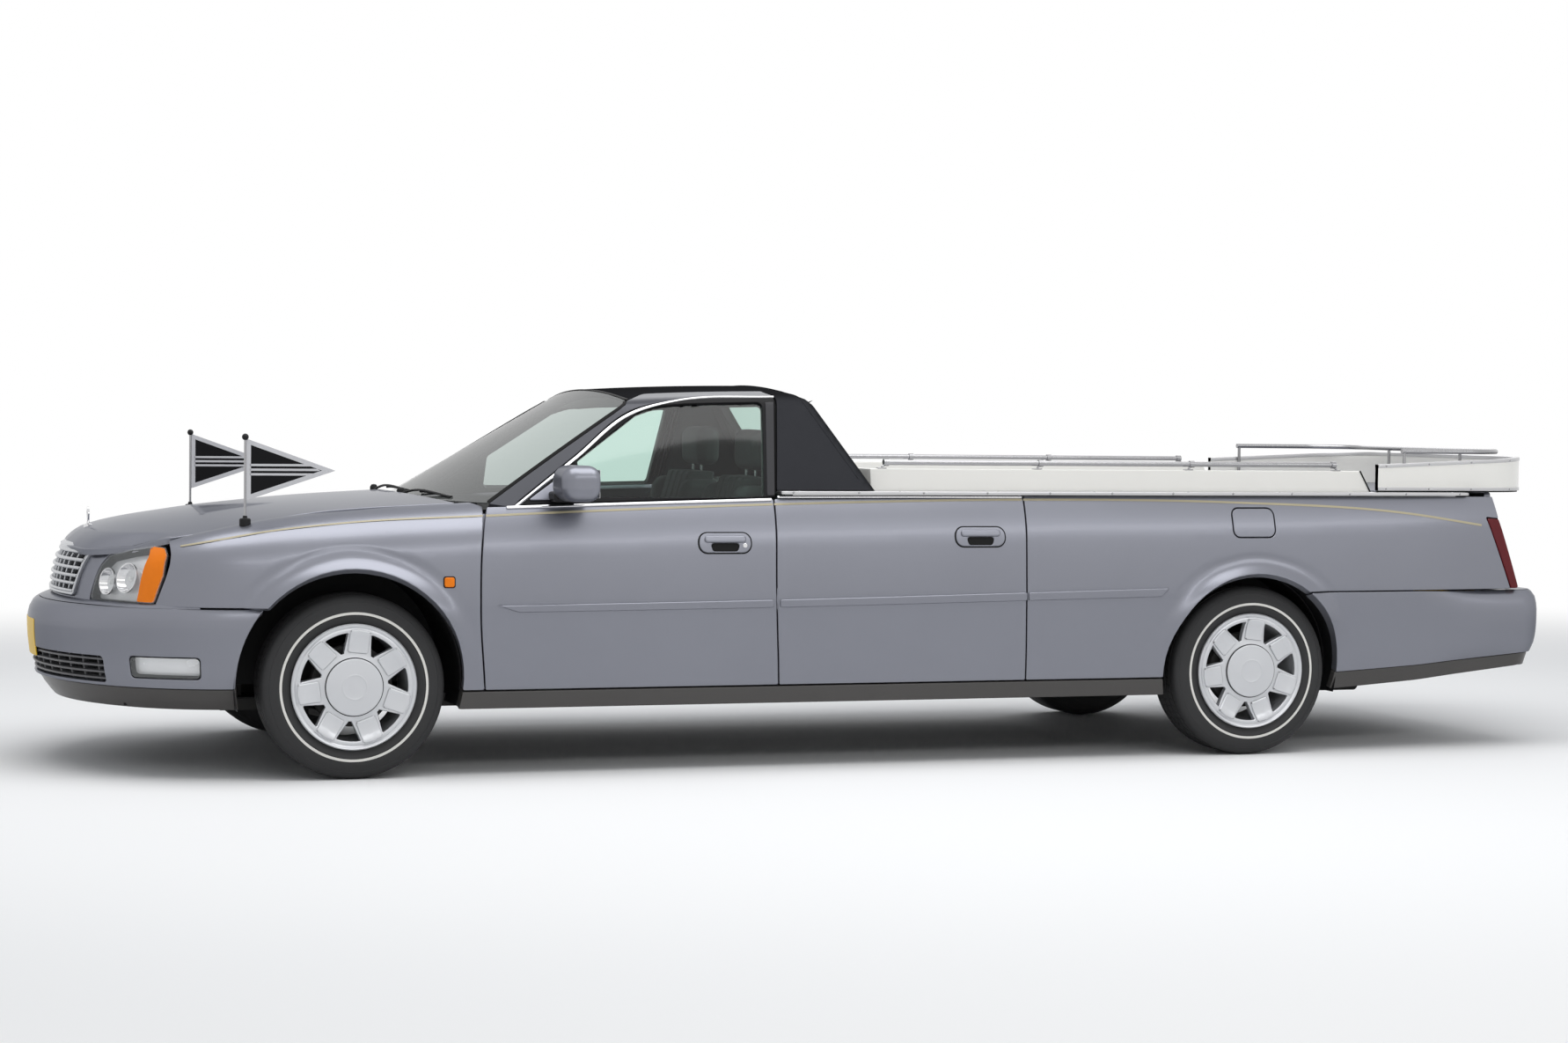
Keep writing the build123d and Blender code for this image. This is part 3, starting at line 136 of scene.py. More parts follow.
def makeBackdrop():
    # White to the camera, in reflections and through glass, and a soft sky for the light
    world = bpy.data.worlds.new("studio")
    bpy.context.scene.world = world
    world.use_nodes = True
    tree = world.node_tree
    tree.nodes.clear()
    out = addNode(tree, "ShaderNodeOutputWorld")
    mix = addNode(tree, "ShaderNodeMixShader")
    sky = {"Color": (*studio["skyColour"], 1.0), "Strength": studio["skyStrength"]}
    light = addNode(tree, "ShaderNodeBackground", sky)
    plain = addNode(tree, "ShaderNodeBackground", {"Color": (1.0, 1.0, 1.0, 1.0), "Strength": 1.0})
    path = addNode(tree, "ShaderNodeLightPath")
    seen = path.outputs["Is Camera Ray"]
    for ray in ("Is Glossy Ray", "Is Transmission Ray"):
        either = addNode(tree, "ShaderNodeMath", operation="MAXIMUM")
        tree.links.new(seen, either.inputs[0])
        tree.links.new(path.outputs[ray], either.inputs[1])
        seen = either.outputs[0]
    tree.links.new(seen, mix.inputs["Fac"])
    tree.links.new(light.outputs[0], mix.inputs[1])
    tree.links.new(plain.outputs[0], mix.inputs[2])
    tree.links.new(mix.outputs[0], out.inputs["Surface"])


def makeFloor():
    reach = studio["floorSize"] / 2
    mesh = bpy.data.meshes.new("floor")
    corners = [(-reach, -reach, 0), (reach, -reach, 0), (reach, reach, 0), (-reach, reach, 0)]
    mesh.from_pydata(corners, [], [(0, 1, 2, 3)])
    floor = bpy.data.objects.new("floor", mesh)
    bpy.context.collection.objects.link(floor)
    mat = bpy.data.materials.new("paleFloor")
    mat.use_nodes = True
    tree = mat.node_tree
    shader = tree.nodes["Principled BSDF"]
    shader.inputs["Base Color"].default_value = (*studio["floorColour"], 1.0)
    shader.inputs["Roughness"].default_value = studio["floorRough"]
    shader.inputs["Specular IOR Level"].default_value = studio["floorShine"]
    white = addNode(tree, "ShaderNodeEmission")
    place = addNode(tree, "ShaderNodeTexCoord")
    shrink = addNode(tree, "ShaderNodeVectorMath", operation="MULTIPLY")
    shrink.inputs[1].default_value = studio["floorShape"]
    away = addNode(tree, "ShaderNodeVectorMath", operation="LENGTH")
    fade = addNode(tree, "ShaderNodeMapRange", interpolation_type="SMOOTHSTEP")
    fade.inputs["From Min"].default_value, fade.inputs["From Max"].default_value = studio["nearFloor"]
    blend = addNode(tree, "ShaderNodeMixShader")
    tree.links.new(place.outputs["Object"], shrink.inputs[0])
    tree.links.new(shrink.outputs[0], away.inputs[0])
    tree.links.new(away.outputs["Value"], fade.inputs["Value"])
    tree.links.new(fade.outputs["Result"], blend.inputs["Fac"])
    tree.links.new(shader.outputs[0], blend.inputs[1])
    tree.links.new(white.outputs[0], blend.inputs[2])
    tree.links.new(blend.outputs[0], tree.nodes["Material Output"].inputs["Surface"])
    mesh.materials.append(mat)


makeCamera()
for light in studio["lights"]:
    areaLight(*light)
makeBackdrop()
makeFloor()
bpy.context.scene.view_settings.view_transform = "Standard"
print("camera and studio ready")


# Shader node groups that several finishes share
def newGroup(name, inputs, outputs):
    group = bpy.data.node_groups.new(name, "ShaderNodeTree")
    for label, kind, value in inputs:
        socket = group.interface.new_socket(label, in_out="INPUT", socket_type=kind)
        socket.default_value = value
    for label, kind in outputs:
        group.interface.new_socket(label, in_out="OUTPUT", socket_type=kind)
    return group, group.nodes.new("NodeGroupInput"), group.nodes.new("NodeGroupOutput")


def makeMottleGroup():
    # Soft uneven tone over a surface, with a fine speckle: paint flake, dust, cast metal
    values = [("Light", "NodeSocketColor", (0.5, 0.5, 0.5, 1)), ("Dark", "NodeSocketColor", (0.4, 0.4, 0.4, 1)),
              ("Broad Scale", "NodeSocketFloat", 3.0), ("Speckle Scale", "NodeSocketFloat", 900.0),
              ("Speckle", "NodeSocketFloat", 0.3), ("Rough Low", "NodeSocketFloat", 0.3),
              ("Rough High", "NodeSocketFloat", 0.4)]
    results = [("Color", "NodeSocketColor"), ("Roughness", "NodeSocketFloat"), ("Height", "NodeSocketFloat")]
    group, into, out = newGroup("mottle", values, results)
    coords = addNode(group, "ShaderNodeTexCoord")
    broad = addNode(group, "ShaderNodeTexNoise", {"Detail": 4.0, "Roughness": 0.6})
    fine = addNode(group, "ShaderNodeTexNoise", {"Detail": 1.0})
    blend = addNode(group, "ShaderNodeMix", data_type="FLOAT")
    tone = addNode(group, "ShaderNodeMix", data_type="RGBA")
    rough = addNode(group, "ShaderNodeMapRange")
    link = group.links.new
    link(coords.outputs["Object"], broad.inputs["Vector"])
    link(coords.outputs["Object"], fine.inputs["Vector"])
    link(into.outputs["Broad Scale"], broad.inputs["Scale"])
    link(into.outputs["Speckle Scale"], fine.inputs["Scale"])
    link(into.outputs["Speckle"], blend.inputs["Factor"])
    link(broad.outputs["Fac"], blend.inputs["A"])
    link(fine.outputs["Fac"], blend.inputs["B"])
    link(blend.outputs["Result"], tone.inputs["Factor"])
    link(into.outputs["Dark"], tone.inputs["A"])
    link(into.outputs["Light"], tone.inputs["B"])
    link(broad.outputs["Fac"], rough.inputs["Value"])
    link(into.outputs["Rough Low"], rough.inputs["To Min"])
    link(into.outputs["Rough High"], rough.inputs["To Max"])
    link(tone.outputs["Result"], out.inputs["Color"])
    link(rough.outputs["Result"], out.inputs["Roughness"])
    link(fine.outputs["Fac"], out.inputs["Height"])
    return group


def makeGrainGroup():
    # Pebbled grain of vinyl, leather and moulded plastic
    group, into, out = newGroup("grain", [("Scale", "NodeSocketFloat", 400.0)], [("Height", "NodeSocketFloat")])
    coords = addNode(group, "ShaderNodeTexCoord")
    cells = addNode(group, "ShaderNodeTexVoronoi", feature="DISTANCE_TO_EDGE")
    warp = addNode(group, "ShaderNodeTexNoise", {"Scale": 60.0, "Detail": 3.0})
    mixed = addNode(group, "ShaderNodeMix", {"Factor": 0.02}, data_type="VECTOR")
    ramp = addNode(group, "ShaderNodeMapRange", {"From Max": 0.12}, clamp=True)
    link = group.links.new
    link(coords.outputs["Object"], warp.inputs["Vector"])
    link(coords.outputs["Object"], mixed.inputs[4])
    link(warp.outputs["Color"], mixed.inputs[5])
    link(mixed.outputs[1], cells.inputs["Vector"])
    link(into.outputs["Scale"], cells.inputs["Scale"])
    link(cells.outputs["Distance"], ramp.inputs["Value"])
    link(ramp.outputs["Result"], out.inputs["Height"])
    return group


mottleGroup = makeMottleGroup()
grainGroup = makeGrainGroup()


def newFinish(name, light, dark, rough, broad=3.0, speckle=(900.0, 0.3), bump=0.0, grain=None, edge=None,
              **plain):
    mat = bpy.data.materials.new(name)
    mat.use_nodes = True
    tree = mat.node_tree
    shader = tree.nodes["Principled BSDF"]
    mottle = addNode(tree, "ShaderNodeGroup")
    mottle.node_tree = mottleGroup
    values = {"Light": (*light, 1), "Dark": (*dark, 1), "Broad Scale": broad, "Speckle Scale": speckle[0],
              "Speckle": speckle[1], "Rough Low": rough[0], "Rough High": rough[1]}
    for key, value in values.items():
        mottle.inputs[key].default_value = value
    tree.links.new(mottle.outputs["Color"], shader.inputs["Base Color"])
    tree.links.new(mottle.outputs["Roughness"], shader.inputs["Roughness"])
    if edge:
        # Painted shade: the base colour turns darker where the surface is seen at a grazing angle, which
        # darkens the roof's top under the overhead light
        facing = addNode(tree, "ShaderNodeLayerWeight", {"Blend": 0.5})
        paintedGrazingShade = addNode(tree, "ShaderNodeMix", {"B": (*edge, 1)}, data_type="RGBA")
        tree.links.new(facing.outputs["Facing"], paintedGrazingShade.inputs["Factor"])
        tree.links.new(mottle.outputs["Color"], paintedGrazingShade.inputs["A"])
        tree.links.new(paintedGrazingShade.outputs["Result"], shader.inputs["Base Color"])
    if bump:
        relief = addNode(tree, "ShaderNodeBump", {"Strength": bump, "Distance": 0.001})
        height = mottle.outputs["Height"]
        if grain:
            pebble = addNode(tree, "ShaderNodeGroup")
            pebble.node_tree = grainGroup
            pebble.inputs["Scale"].default_value = grain
            height = pebble.outputs["Height"]
        tree.links.new(height, relief.inputs["Height"])
        tree.links.new(relief.outputs["Normal"], shader.inputs["Normal"])
    for key, value in plain.items():
        shader.inputs[key.replace("_", " ")].default_value = value
    return mat


finishes = {
    "paint": newFinish("paintGreyMetallic", (0.246, 0.253, 0.288), (0.212, 0.218, 0.250), (0.30, 0.34), 2.0,
                       (2600.0, 0.45), Metallic=0.72, Coat_Weight=0.30, Coat_Roughness=0.03, Coat_IOR=1.3,
                       Specular_IOR_Level=0.15, Specular_Tint=(0.30, 0.31, 0.34, 1.0)),
    # Body paint darkened for the pillars and roof rail: painted shade for their dark reflection
    "pillarShadedPaint": newFinish("paintPillarPaintedShade", (0.090, 0.092, 0.102), (0.076, 0.078, 0.087), (0.30, 0.34), 2.0,
                             (2600.0, 0.45), Metallic=0.4, Coat_Weight=0.08, Coat_Roughness=0.04, Coat_IOR=1.3,
                             Specular_IOR_Level=0.05, Specular_Tint=(0.30, 0.31, 0.34, 1.0)),
    "lowerPaint": newFinish("paintLowerGrey", (0.082, 0.078, 0.075), (0.066, 0.063, 0.061), (0.36, 0.44), 4.0,
                            Metallic=0.35, Coat_Weight=0.2, Coat_Roughness=0.12, Specular_IOR_Level=0.25),
    # The vinyl's edge colour is painted shade, mixed in where the roof is seen at a grazing angle
    "vinyl": newFinish("vinylRoof", (0.052, 0.053, 0.059), (0.038, 0.039, 0.044), (0.62, 0.72), 3.0,
                       (700.0, 0.4), 0.5, 520.0, edge=(0.012, 0.012, 0.013), Specular_IOR_Level=0.0),
    "chrome": newFinish("chromeTrim", (0.74, 0.74, 0.75), (0.64, 0.64, 0.65), (0.08, 0.14), 6.0, Metallic=1.0),
    "satinTube": newFinish("satinTube", (0.40, 0.40, 0.41), (0.32, 0.32, 0.33), (0.20, 0.28), 8.0,
                           Metallic=1.0),
    "aluminium": newFinish("aluminiumStrip", (0.58, 0.58, 0.59), (0.50, 0.50, 0.51), (0.30, 0.40), 10.0,
                           Metallic=1.0),
    "white": newFinish("whitePanel", (0.84, 0.83, 0.79), (0.80, 0.79, 0.75), (0.28, 0.36), 2.0,
                       Coat_Weight=0.4),
    "black": newFinish("blackPlastic", (0.014, 0.014, 0.015), (0.009, 0.009, 0.010), (0.45, 0.6), 5.0,
                       bump=0.15, grain=900.0, Specular_IOR_Level=0.2),
    "frameBlack": newFinish("frameBlack", (0.016, 0.016, 0.017), (0.010, 0.010, 0.011), (0.30, 0.40), 6.0,
                            Specular_IOR_Level=0.08),
    "postGrey": newFinish("postGrey", (0.036, 0.036, 0.040), (0.028, 0.028, 0.031), (0.32, 0.42), 5.0,
                          Specular_IOR_Level=0.20),
    "rubber": newFinish("sealRubber", (0.016, 0.016, 0.016), (0.011, 0.011, 0.011), (0.6, 0.75), 6.0,
                        Specular_IOR_Level=0.12),
    "tyre": newFinish("tyreRubber", (0.022, 0.022, 0.023), (0.013, 0.013, 0.014), (0.62, 0.78), 8.0,
                      (500.0, 0.4), 0.2),
    "wheel": newFinish("wheelSilver", (0.62, 0.63, 0.65), (0.54, 0.55, 0.57), (0.30, 0.38), 5.0, (2600.0, 0.4),
                       Metallic=0.55, Coat_Weight=0.6, Coat_Roughness=0.08),
    "wheelCap": newFinish("wheelCapSilver", (0.60, 0.61, 0.63), (0.55, 0.56, 0.58), (0.34, 0.42), 5.0,
                          (2600.0, 0.4), Metallic=0.5, Coat_Weight=0.5, Coat_Roughness=0.1),
    "whitewall": newFinish("whitewallRubber", (0.78, 0.77, 0.73), (0.68, 0.66, 0.62), (0.5, 0.62), 14.0),
    "cloth": newFinish("seatCloth", (0.062, 0.070, 0.070), (0.040, 0.046, 0.047), (0.8, 0.92), 9.0,
                       (1200.0, 0.6), 0.3),
    "dash": newFinish("dashPlastic", (0.05, 0.052, 0.054), (0.038, 0.040, 0.042), (0.55, 0.68), 5.0,
                      bump=0.3, grain=800.0),
    "under": newFinish("underbodyBlack", (0.040, 0.039, 0.037), (0.022, 0.021, 0.020), (0.6, 0.85), 4.0,
                       (300.0, 0.5), 0.3),
    "flag": newFinish("flagCloth", (0.010, 0.010, 0.011), (0.007, 0.007, 0.008), (0.7, 0.82), 9.0,
                      (1800.0, 0.6), 0.2, Specular_IOR_Level=0.1),
    "lining": newFinish("roofLining", (0.30, 0.30, 0.29), (0.25, 0.25, 0.24), (0.8, 0.9), 6.0,
                        (1500.0, 0.5), 0.2),
    "flagSilver": newFinish("flagSilver", (0.60, 0.60, 0.62), (0.48, 0.48, 0.50), (0.45, 0.6), 9.0,
                            (1800.0, 0.5), 0.2),
    "grille": newFinish("grilleSilver", (0.52, 0.53, 0.55), (0.44, 0.45, 0.47), (0.25, 0.33), 6.0,
                        Metallic=0.8),
    "plateYellow": newFinish("plateYellow", (0.80, 0.52, 0.03), (0.74, 0.47, 0.02), (0.35, 0.45), 6.0),
    # Lamp bowls: a pale diffuse tone lightened past a silver's own, painted light against the bonnet's shadow
    "reflector": newFinish("lampReflectorPaintedLight", (0.84, 0.85, 0.86), (0.74, 0.75, 0.76), (0.16, 0.26), 6.0,
                           Metallic=0.1),
    "fogSilver": newFinish("fogReflector", (0.90, 0.91, 0.92), (0.80, 0.81, 0.82), (0.20, 0.34), 6.0,
                           Metallic=0.2),
    "bulb": newFinish("bulbGlass", (0.82, 0.83, 0.82), (0.70, 0.71, 0.70), (0.08, 0.14), 20.0),
    "darkGrille": newFinish("darkGrille", (0.10, 0.10, 0.105), (0.075, 0.075, 0.080), (0.35, 0.45), 6.0),
    "stripe": newFinish("pinstripeGold", (0.44, 0.39, 0.26), (0.40, 0.35, 0.23), (0.35, 0.45), 6.0),
    "amber": newFinish("amberLens", (0.88, 0.225, 0.004), (0.78, 0.175, 0.003), (0.25, 0.35), 40.0,
                       Coat_Weight=0.15, Coat_IOR=1.3, Specular_IOR_Level=0.2),
    "tailRed": newFinish("tailLampRed", (0.135, 0.006, 0.011), (0.090, 0.004, 0.007), (0.14, 0.2), 8.0,
                         Coat_Weight=0.3, Coat_IOR=1.3, Specular_IOR_Level=0.2),
}


def makeGlass(name, colour, alpha, through):
    mat = bpy.data.materials.new(name)
    mat.use_nodes = True
    shader = mat.node_tree.nodes["Principled BSDF"]
    shader.inputs["Base Color"].default_value = (*colour, 1)
    shader.inputs["Roughness"].default_value = 0.02
    shader.inputs["Alpha"].default_value = alpha
    shader.inputs["Transmission Weight"].default_value = through
    shader.inputs["IOR"].default_value = 1.02 if through else 1.5      # a single sheet bends no light
    shader.inputs["Coat Weight"].default_value = through * 0.8
    return mat


finishes["glass"] = makeGlass("tintedGlass", (0.50, 0.70, 0.62), 1.0, 1.0)
# Windscreen: grey, partly opaque glass, a painted reflection of a dull sky on the screen
finishes["screenGlassPaintedReflection"] = makeGlass("screenGlassPaintedReflection", (0.150, 0.158, 0.155), 0.60, 0.0)
finishes["lens"] = makeGlass("clearLens", (0.85, 0.87, 0.88), 0.14, 0.0)

slotFinish = {
    "paint": "paint", "lower_trim": "lowerPaint", "vinyl": "vinyl", "chrome": "chrome", "glass": "glass",
    "lamp_clear": "lens", "lamp_red": "tailRed", "grille": "grille", "black": "black", "white": "white",
    "aluminium": "aluminium", "upholstery": "cloth", "dash": "dash", "underbody": "under", "tyre": "tyre",
    "wheel": "wheel", "flag": "flag",
}
for part in frame["record"]["subparts"]:
    mesh = nodes[part["node"]].data
    mesh.materials.clear()
    mesh.materials.append(finishes[slotFinish[part["material_slot"]]])
print("finishes ready:", len(finishes))


# Mesh makers: each gives (points, faces, normals) in metres, in the frame of the car
def hermite(stations):
    # Smooth columns of a table over its first column
    rows = np.array(stations, float)
    xs, ys = rows[:, 0], rows[:, 1:]
    slopes = np.gradient(ys, xs, axis=0)

    def at(x):
        x = np.clip(np.asarray(x, float), xs[0], xs[-1])
        i = np.clip(np.searchsorted(xs, x) - 1, 0, len(xs) - 2)
        h = (xs[i + 1] - xs[i])[:, None]
        t = ((x - xs[i])[:, None]) / h
        return ((1 + 2 * t) * (1 - t) ** 2 * ys[i] + t * (1 - t) ** 2 * h * slopes[i]
                + t * t * (3 - 2 * t) * ys[i + 1] + t * t * (t - 1) * h * slopes[i + 1])
    return at


def spline(points, step=0.02):
    # A smooth curve through points, sampled about every step
    pts = np.array(points, float)
    along = np.concatenate([[0], np.cumsum(np.linalg.norm(np.diff(pts, axis=0), axis=1))])
    curve = hermite(np.column_stack([along, pts]))
    return curve(np.linspace(0, along[-1], max(3, int(along[-1] / step) + 1)))


def dense(points, step=0.012, closed=True):
    pts = np.array(points, float)
    ends = np.roll(pts, -1, axis=0) if closed else pts[1:]
    out = []
    for a, b in zip(pts, ends):
        n = max(1, int(round(np.linalg.norm(b - a) / step)))
        out += [a + (b - a) * k / n for k in range(n)]
    if not closed:
        out.append(pts[-1])
    return np.array(out)


def rounded(points, radius, sharp=20.0):
    # Rounds the corners of a closed outline that turn by more than sharp degrees
    pts = np.array(points, float)
    out = []
    for i, p in enumerate(pts):
        a, b = pts[i - 1] - p, pts[(i + 1) % len(pts)] - p
        la, lb = np.linalg.norm(a), np.linalg.norm(b)
        a, b = a / la, b / lb
        angle = math.acos(max(-1, min(1, float(a @ b))))
        if math.degrees(math.pi - angle) < sharp:
            out.append(p)
            continue
        reach = min(radius / math.tan(angle / 2), 0.45 * la, 0.45 * lb)
        r = reach * math.tan(angle / 2)
        middle = p + (a + b) / np.linalg.norm(a + b) * r / math.sin(angle / 2)
        start, end = p + a * reach - middle, p + b * reach - middle
        turn = math.atan2(start[0] * end[1] - start[1] * end[0], float(start @ end))
        steps = max(2, int(abs(turn) / math.radians(15)))
        for k in range(steps + 1):
            c, s = math.cos(turn * k / steps), math.sin(turn * k / steps)
            out.append(middle + np.array([start[0] * c - start[1] * s, start[0] * s + start[1] * c]))
    return np.array(out)


def area(loop):
    return 0.5 * float(np.sum(loop[:, 0] * np.roll(loop[:, 1], -1) - np.roll(loop[:, 0], -1) * loop[:, 1]))


def leftNormals(loop):
    edge = np.roll(loop, -1, axis=0) - loop
    edge /= np.maximum(np.linalg.norm(edge, axis=1), 1e-9)[:, None]
    normal = np.column_stack([-edge[:, 1], edge[:, 0]])
    both = normal + np.roll(normal, 1, axis=0)
    scale = np.maximum(np.sum(both * both, axis=1) / 2, 0.35)
    return both / scale[:, None]


def inside(points, loop):
    hit = np.zeros(len(points), bool)
    x, y = points[:, 0], points[:, 1]
    for a, b in zip(loop, np.roll(loop, -1, axis=0)):
        cross = (a[1] > y) != (b[1] > y)
        if cross.any():
            hit ^= cross & (x < (b[0] - a[0]) * (y - a[1]) / (b[1] - a[1] + 1e-30) + a[0])
    return hit


def unit(v):
    return v / np.maximum(np.linalg.norm(v, axis=-1), 1e-12)[..., None]


def ease(t):
    # Rises smoothly from 0 to 1
    t = np.clip(t, 0, 1)
    return t * t * (3 - 2 * t)


def rectangle(x0, z0, x1, z1):
    return [(x0, z0), (x1, z0), (x1, z1), (x0, z1)]


def upright(y):
    # A plane along the car
    return lambda uv: np.column_stack([uv[:, 0], np.full(len(uv), y), uv[:, 1]])


def facing(x):
    # A plane across the car
    return lambda uv: np.column_stack([np.full(len(uv), x), uv[:, 0], uv[:, 1]])


def turnTo(direction):
    # Turns the outer end of a lathe shape, which looks to the left, into a direction
    return Vector((0, -1, 0)).rotation_difference(Vector(direction)).to_matrix()


def surfaceNormals(surface, uv, side=1):
    e = 2e-4
    du = surface(uv + [e, 0]) - surface(uv - [e, 0])
    dv = surface(uv + [0, e]) - surface(uv - [0, e])
    return unit(np.cross(du, dv)) * side, unit(du), unit(dv)


def offset(surface, amount, side=1):
    return lambda uv: surface(uv) + surfaceNormals(surface, uv, side)[0] * amount


panelRim = {
    "inset": 0.006, "clear": 0.008,      # from the rim to the second row of points, and on to the grid
    "near": 0.6,                         # grid points nearer than this share of the spacing to extra ones go
    "turns": (0.5, 1.0, math.pi / 2),    # angles round the rolled rim
}


def panel(outline, surface, holes=(), side=1, roll=0.003, depth=0.016, flange=0.0, spacing=0.03, gap=0.0,
          extra=()):
    # A pressed panel: the surface inside the outline, a rolled rim, a wall behind it and a flange
    loops = []
    for k, loop in enumerate([outline, *holes]):
        loop = np.array(loop, float)
        if (area(loop) > 0) != (k == 0):
            loop = loop[::-1]
        loop = dense(loop)
        loops.append(loop + leftNormals(loop) * (roll + gap))
    inner = [loop + leftNormals(loop) * panelRim["inset"] for loop in loops]
    low, high = loops[0].min(axis=0), loops[0].max(axis=0)
    gx, gy = np.meshgrid(*[np.arange(low[i] + spacing / 2, high[i], spacing) for i in range(2)])
    grid = np.column_stack([gx.ravel(), gy.ravel()])
    if len(extra):
        away = np.min(np.linalg.norm(grid[:, None] - np.array(extra)[None], axis=2), axis=1)
        grid = np.vstack([grid[away > spacing * panelRim["near"]], extra])
    keep = inside(grid, inner[0] + leftNormals(inner[0]) * panelRim["clear"])
    for loop in inner[1:]:
        keep &= ~inside(grid, loop + leftNormals(loop) * panelRim["clear"])
    pts, edges = [], []
    for loop in loops + inner:
        start = sum(len(p) for p in pts)
        n = len(loop)
        pts.append(loop)
        edges += [(start + i, start + (i + 1) % n) for i in range(n)]
    pts = np.vstack(pts + [grid[keep]])
    made = geometry.delaunay_2d_cdt([Vector(p) for p in pts], edges, [], 0, 1e-7)
    flat = np.array([v[:] for v in made[0]])
    tris = np.array(made[2])
    middle = flat[tris].mean(axis=1)
    keep = inside(middle, loops[0])
    for loop in loops[1:]:
        keep &= ~inside(middle, loop)
    tris = tris[keep]
    place = {}
    for new, old in enumerate(made[3]):
        for o in old:
            place[o] = new
    normal, du, dv = surfaceNormals(surface, flat, side)
    verts, norms = [surface(flat)], [normal]
    faces = [tuple(t) if side > 0 else tuple(t[::-1]) for t in tris.tolist()]
    count, start = len(flat), 0
    for loop in loops:
        n = len(loop)
        ring = np.array([place[start + i] for i in range(n)])
        start += n
        outwards = -leftNormals(loop)
        p, nn = verts[0][ring], normal[ring]
        away = du[ring] * outwards[:, :1] + dv[ring] * outwards[:, 1:]
        away = unit(away - nn * np.sum(away * nn, axis=1)[:, None])
        rings = []
        for a in panelRim["turns"]:
            rings.append((p + away * roll * math.sin(a) - nn * roll * (1 - math.cos(a)),
                          nn * math.cos(a) + away * math.sin(a)))
        rings.append((p + away * roll - nn * depth, away))
        if flange:
            rings.append((rings[-1][0], -nn))
            rings.append((rings[-1][0] - away * flange, -nn))
        last, crease = ring, len(panelRim["turns"]) + 1      # the flange starts with its own normals
        for k, (q, m) in enumerate(rings):
            now = np.arange(count, count + n)
            count += n
            verts.append(q)
            norms.append(m)
            if not (flange and k == crease):
                for i in range(n):
                    j = (i + 1) % n
                    quad = (last[i], now[i], now[j], last[j])
                    faces.append(quad if side > 0 else quad[::-1])
            last = now
    return np.vstack(verts), faces, np.vstack(norms)


def lathe(profile, segments=64, axis=1):
    # Turns (radius, along) about an axis; normals follow the profile, creased where it bends by over 38 degrees
    prof = np.array(profile, float)
    step = np.diff(prof, axis=0)
    bend = np.abs(np.diff(np.unwrap(np.arctan2(step[:, 1], step[:, 0]))))
    cuts = [0, *(np.flatnonzero(bend > math.radians(38)) + 1).tolist(), len(prof) - 1]
    turns = np.radians(np.linspace(0.0, 360.0, segments + 1))[:-1]
    other = [i for i in range(3) if i != axis]
    verts, faces, norms, count = [], [], [], 0
    for start, end in zip(cuts[:-1], cuts[1:]):
        run = prof[start:end + 1]
        t = np.gradient(run, axis=0)
        nrm = unit(np.column_stack([t[:, 1], -t[:, 0]]))
        k = len(run)
        for a in turns:
            p, n = np.zeros((k, 3)), np.zeros((k, 3))
            p[:, axis], n[:, axis] = run[:, 1], nrm[:, 1]
            p[:, other[0]], n[:, other[0]] = run[:, 0] * math.cos(a), nrm[:, 0] * math.cos(a)
            p[:, other[1]], n[:, other[1]] = run[:, 0] * math.sin(a), nrm[:, 0] * math.sin(a)
            verts.append(p)
            norms.append(n)
        for i in range(segments):
            a, b = count + i * k, count + ((i + 1) % segments) * k
            strip = [(a + j, a + j + 1, b + j + 1, b + j) for j in range(k - 1)]
            faces += strip if axis == 1 else [f[::-1] for f in strip]
        count += k * segments
    return np.vstack(verts), faces, np.vstack(norms)


def tube(path, radius, segments=16, closed=False, flat=1.0):
    # A round bar along a path, with closed ends
    pts = np.array(path, float)
    if closed:
        along = unit(np.roll(pts, -1, axis=0) - np.roll(pts, 1, axis=0))
    else:
        along = unit(np.gradient(pts, axis=0))
    up = np.array([0, 0, 1.0]) if abs(along[0][2]) < 0.9 else np.array([1.0, 0, 0])
    verts, norms = [], []
    for p, t in zip(pts, along):
        sideways = unit(np.cross(up, t)[None])[0]
        up = np.cross(t, sideways)
        for k in range(segments):
            a = 2 * math.pi * k / segments
            d = sideways * math.cos(a) + up * math.sin(a) * flat
            verts.append(p + d * radius)
            norms.append(d / np.linalg.norm(d))
    n, s = len(pts), segments
    faces = []
    for i in range(n if closed else n - 1):
        a, b = i * s, ((i + 1) % n) * s
        faces += [(a + k, a + (k + 1) % s, b + (k + 1) % s, b + k) for k in range(s)]
    if not closed:
        for end, t, flip in ((0, -along[0], True), (n - 1, along[-1], False)):
            base = len(verts)
            verts += [verts[end * s + k] for k in range(s)]
            norms += [t] * s
            cap = tuple(range(base, base + s))
            faces.append(cap[::-1] if flip else cap)
    return np.array(verts), faces, np.array(norms)


def block(low, high, bevel=0.004, steps=3):
    # A box with rounded edges
    low, high = np.array(low, float), np.array(high, float)
    bevel = min(bevel, 0.49 * float(min(high - low)))
    quarter = np.linspace(0, math.pi / 2, steps + 1)
    lat = np.concatenate([-quarter[::-1], quarter])
    lon = np.concatenate([quarter + q * math.pi / 2 for q in range(4)])
    ahead = ((True, True), (False, True), (False, False), (True, False))     # which corner each quarter rounds
    verts, norms = [], []
    for row, b in enumerate(lat):
        for k, a in enumerate(lon):
            d = np.array([math.cos(b) * math.cos(a), math.cos(b) * math.sin(a), math.sin(b)])
            core = np.where([*ahead[k // (steps + 1)], row > steps], high - bevel, low + bevel)
            verts.append(core + d * bevel)
            norms.append(d)
    n, m = len(lon), len(lat)
    faces = [(i * n + k, i * n + (k + 1) % n, (i + 1) * n + (k + 1) % n, (i + 1) * n + k)
             for i in range(m - 1) for k in range(n)]
    faces.append(tuple(range(n))[::-1])
    faces.append(tuple(range((m - 1) * n, m * n)))
    return np.array(verts), faces, np.array(norms)


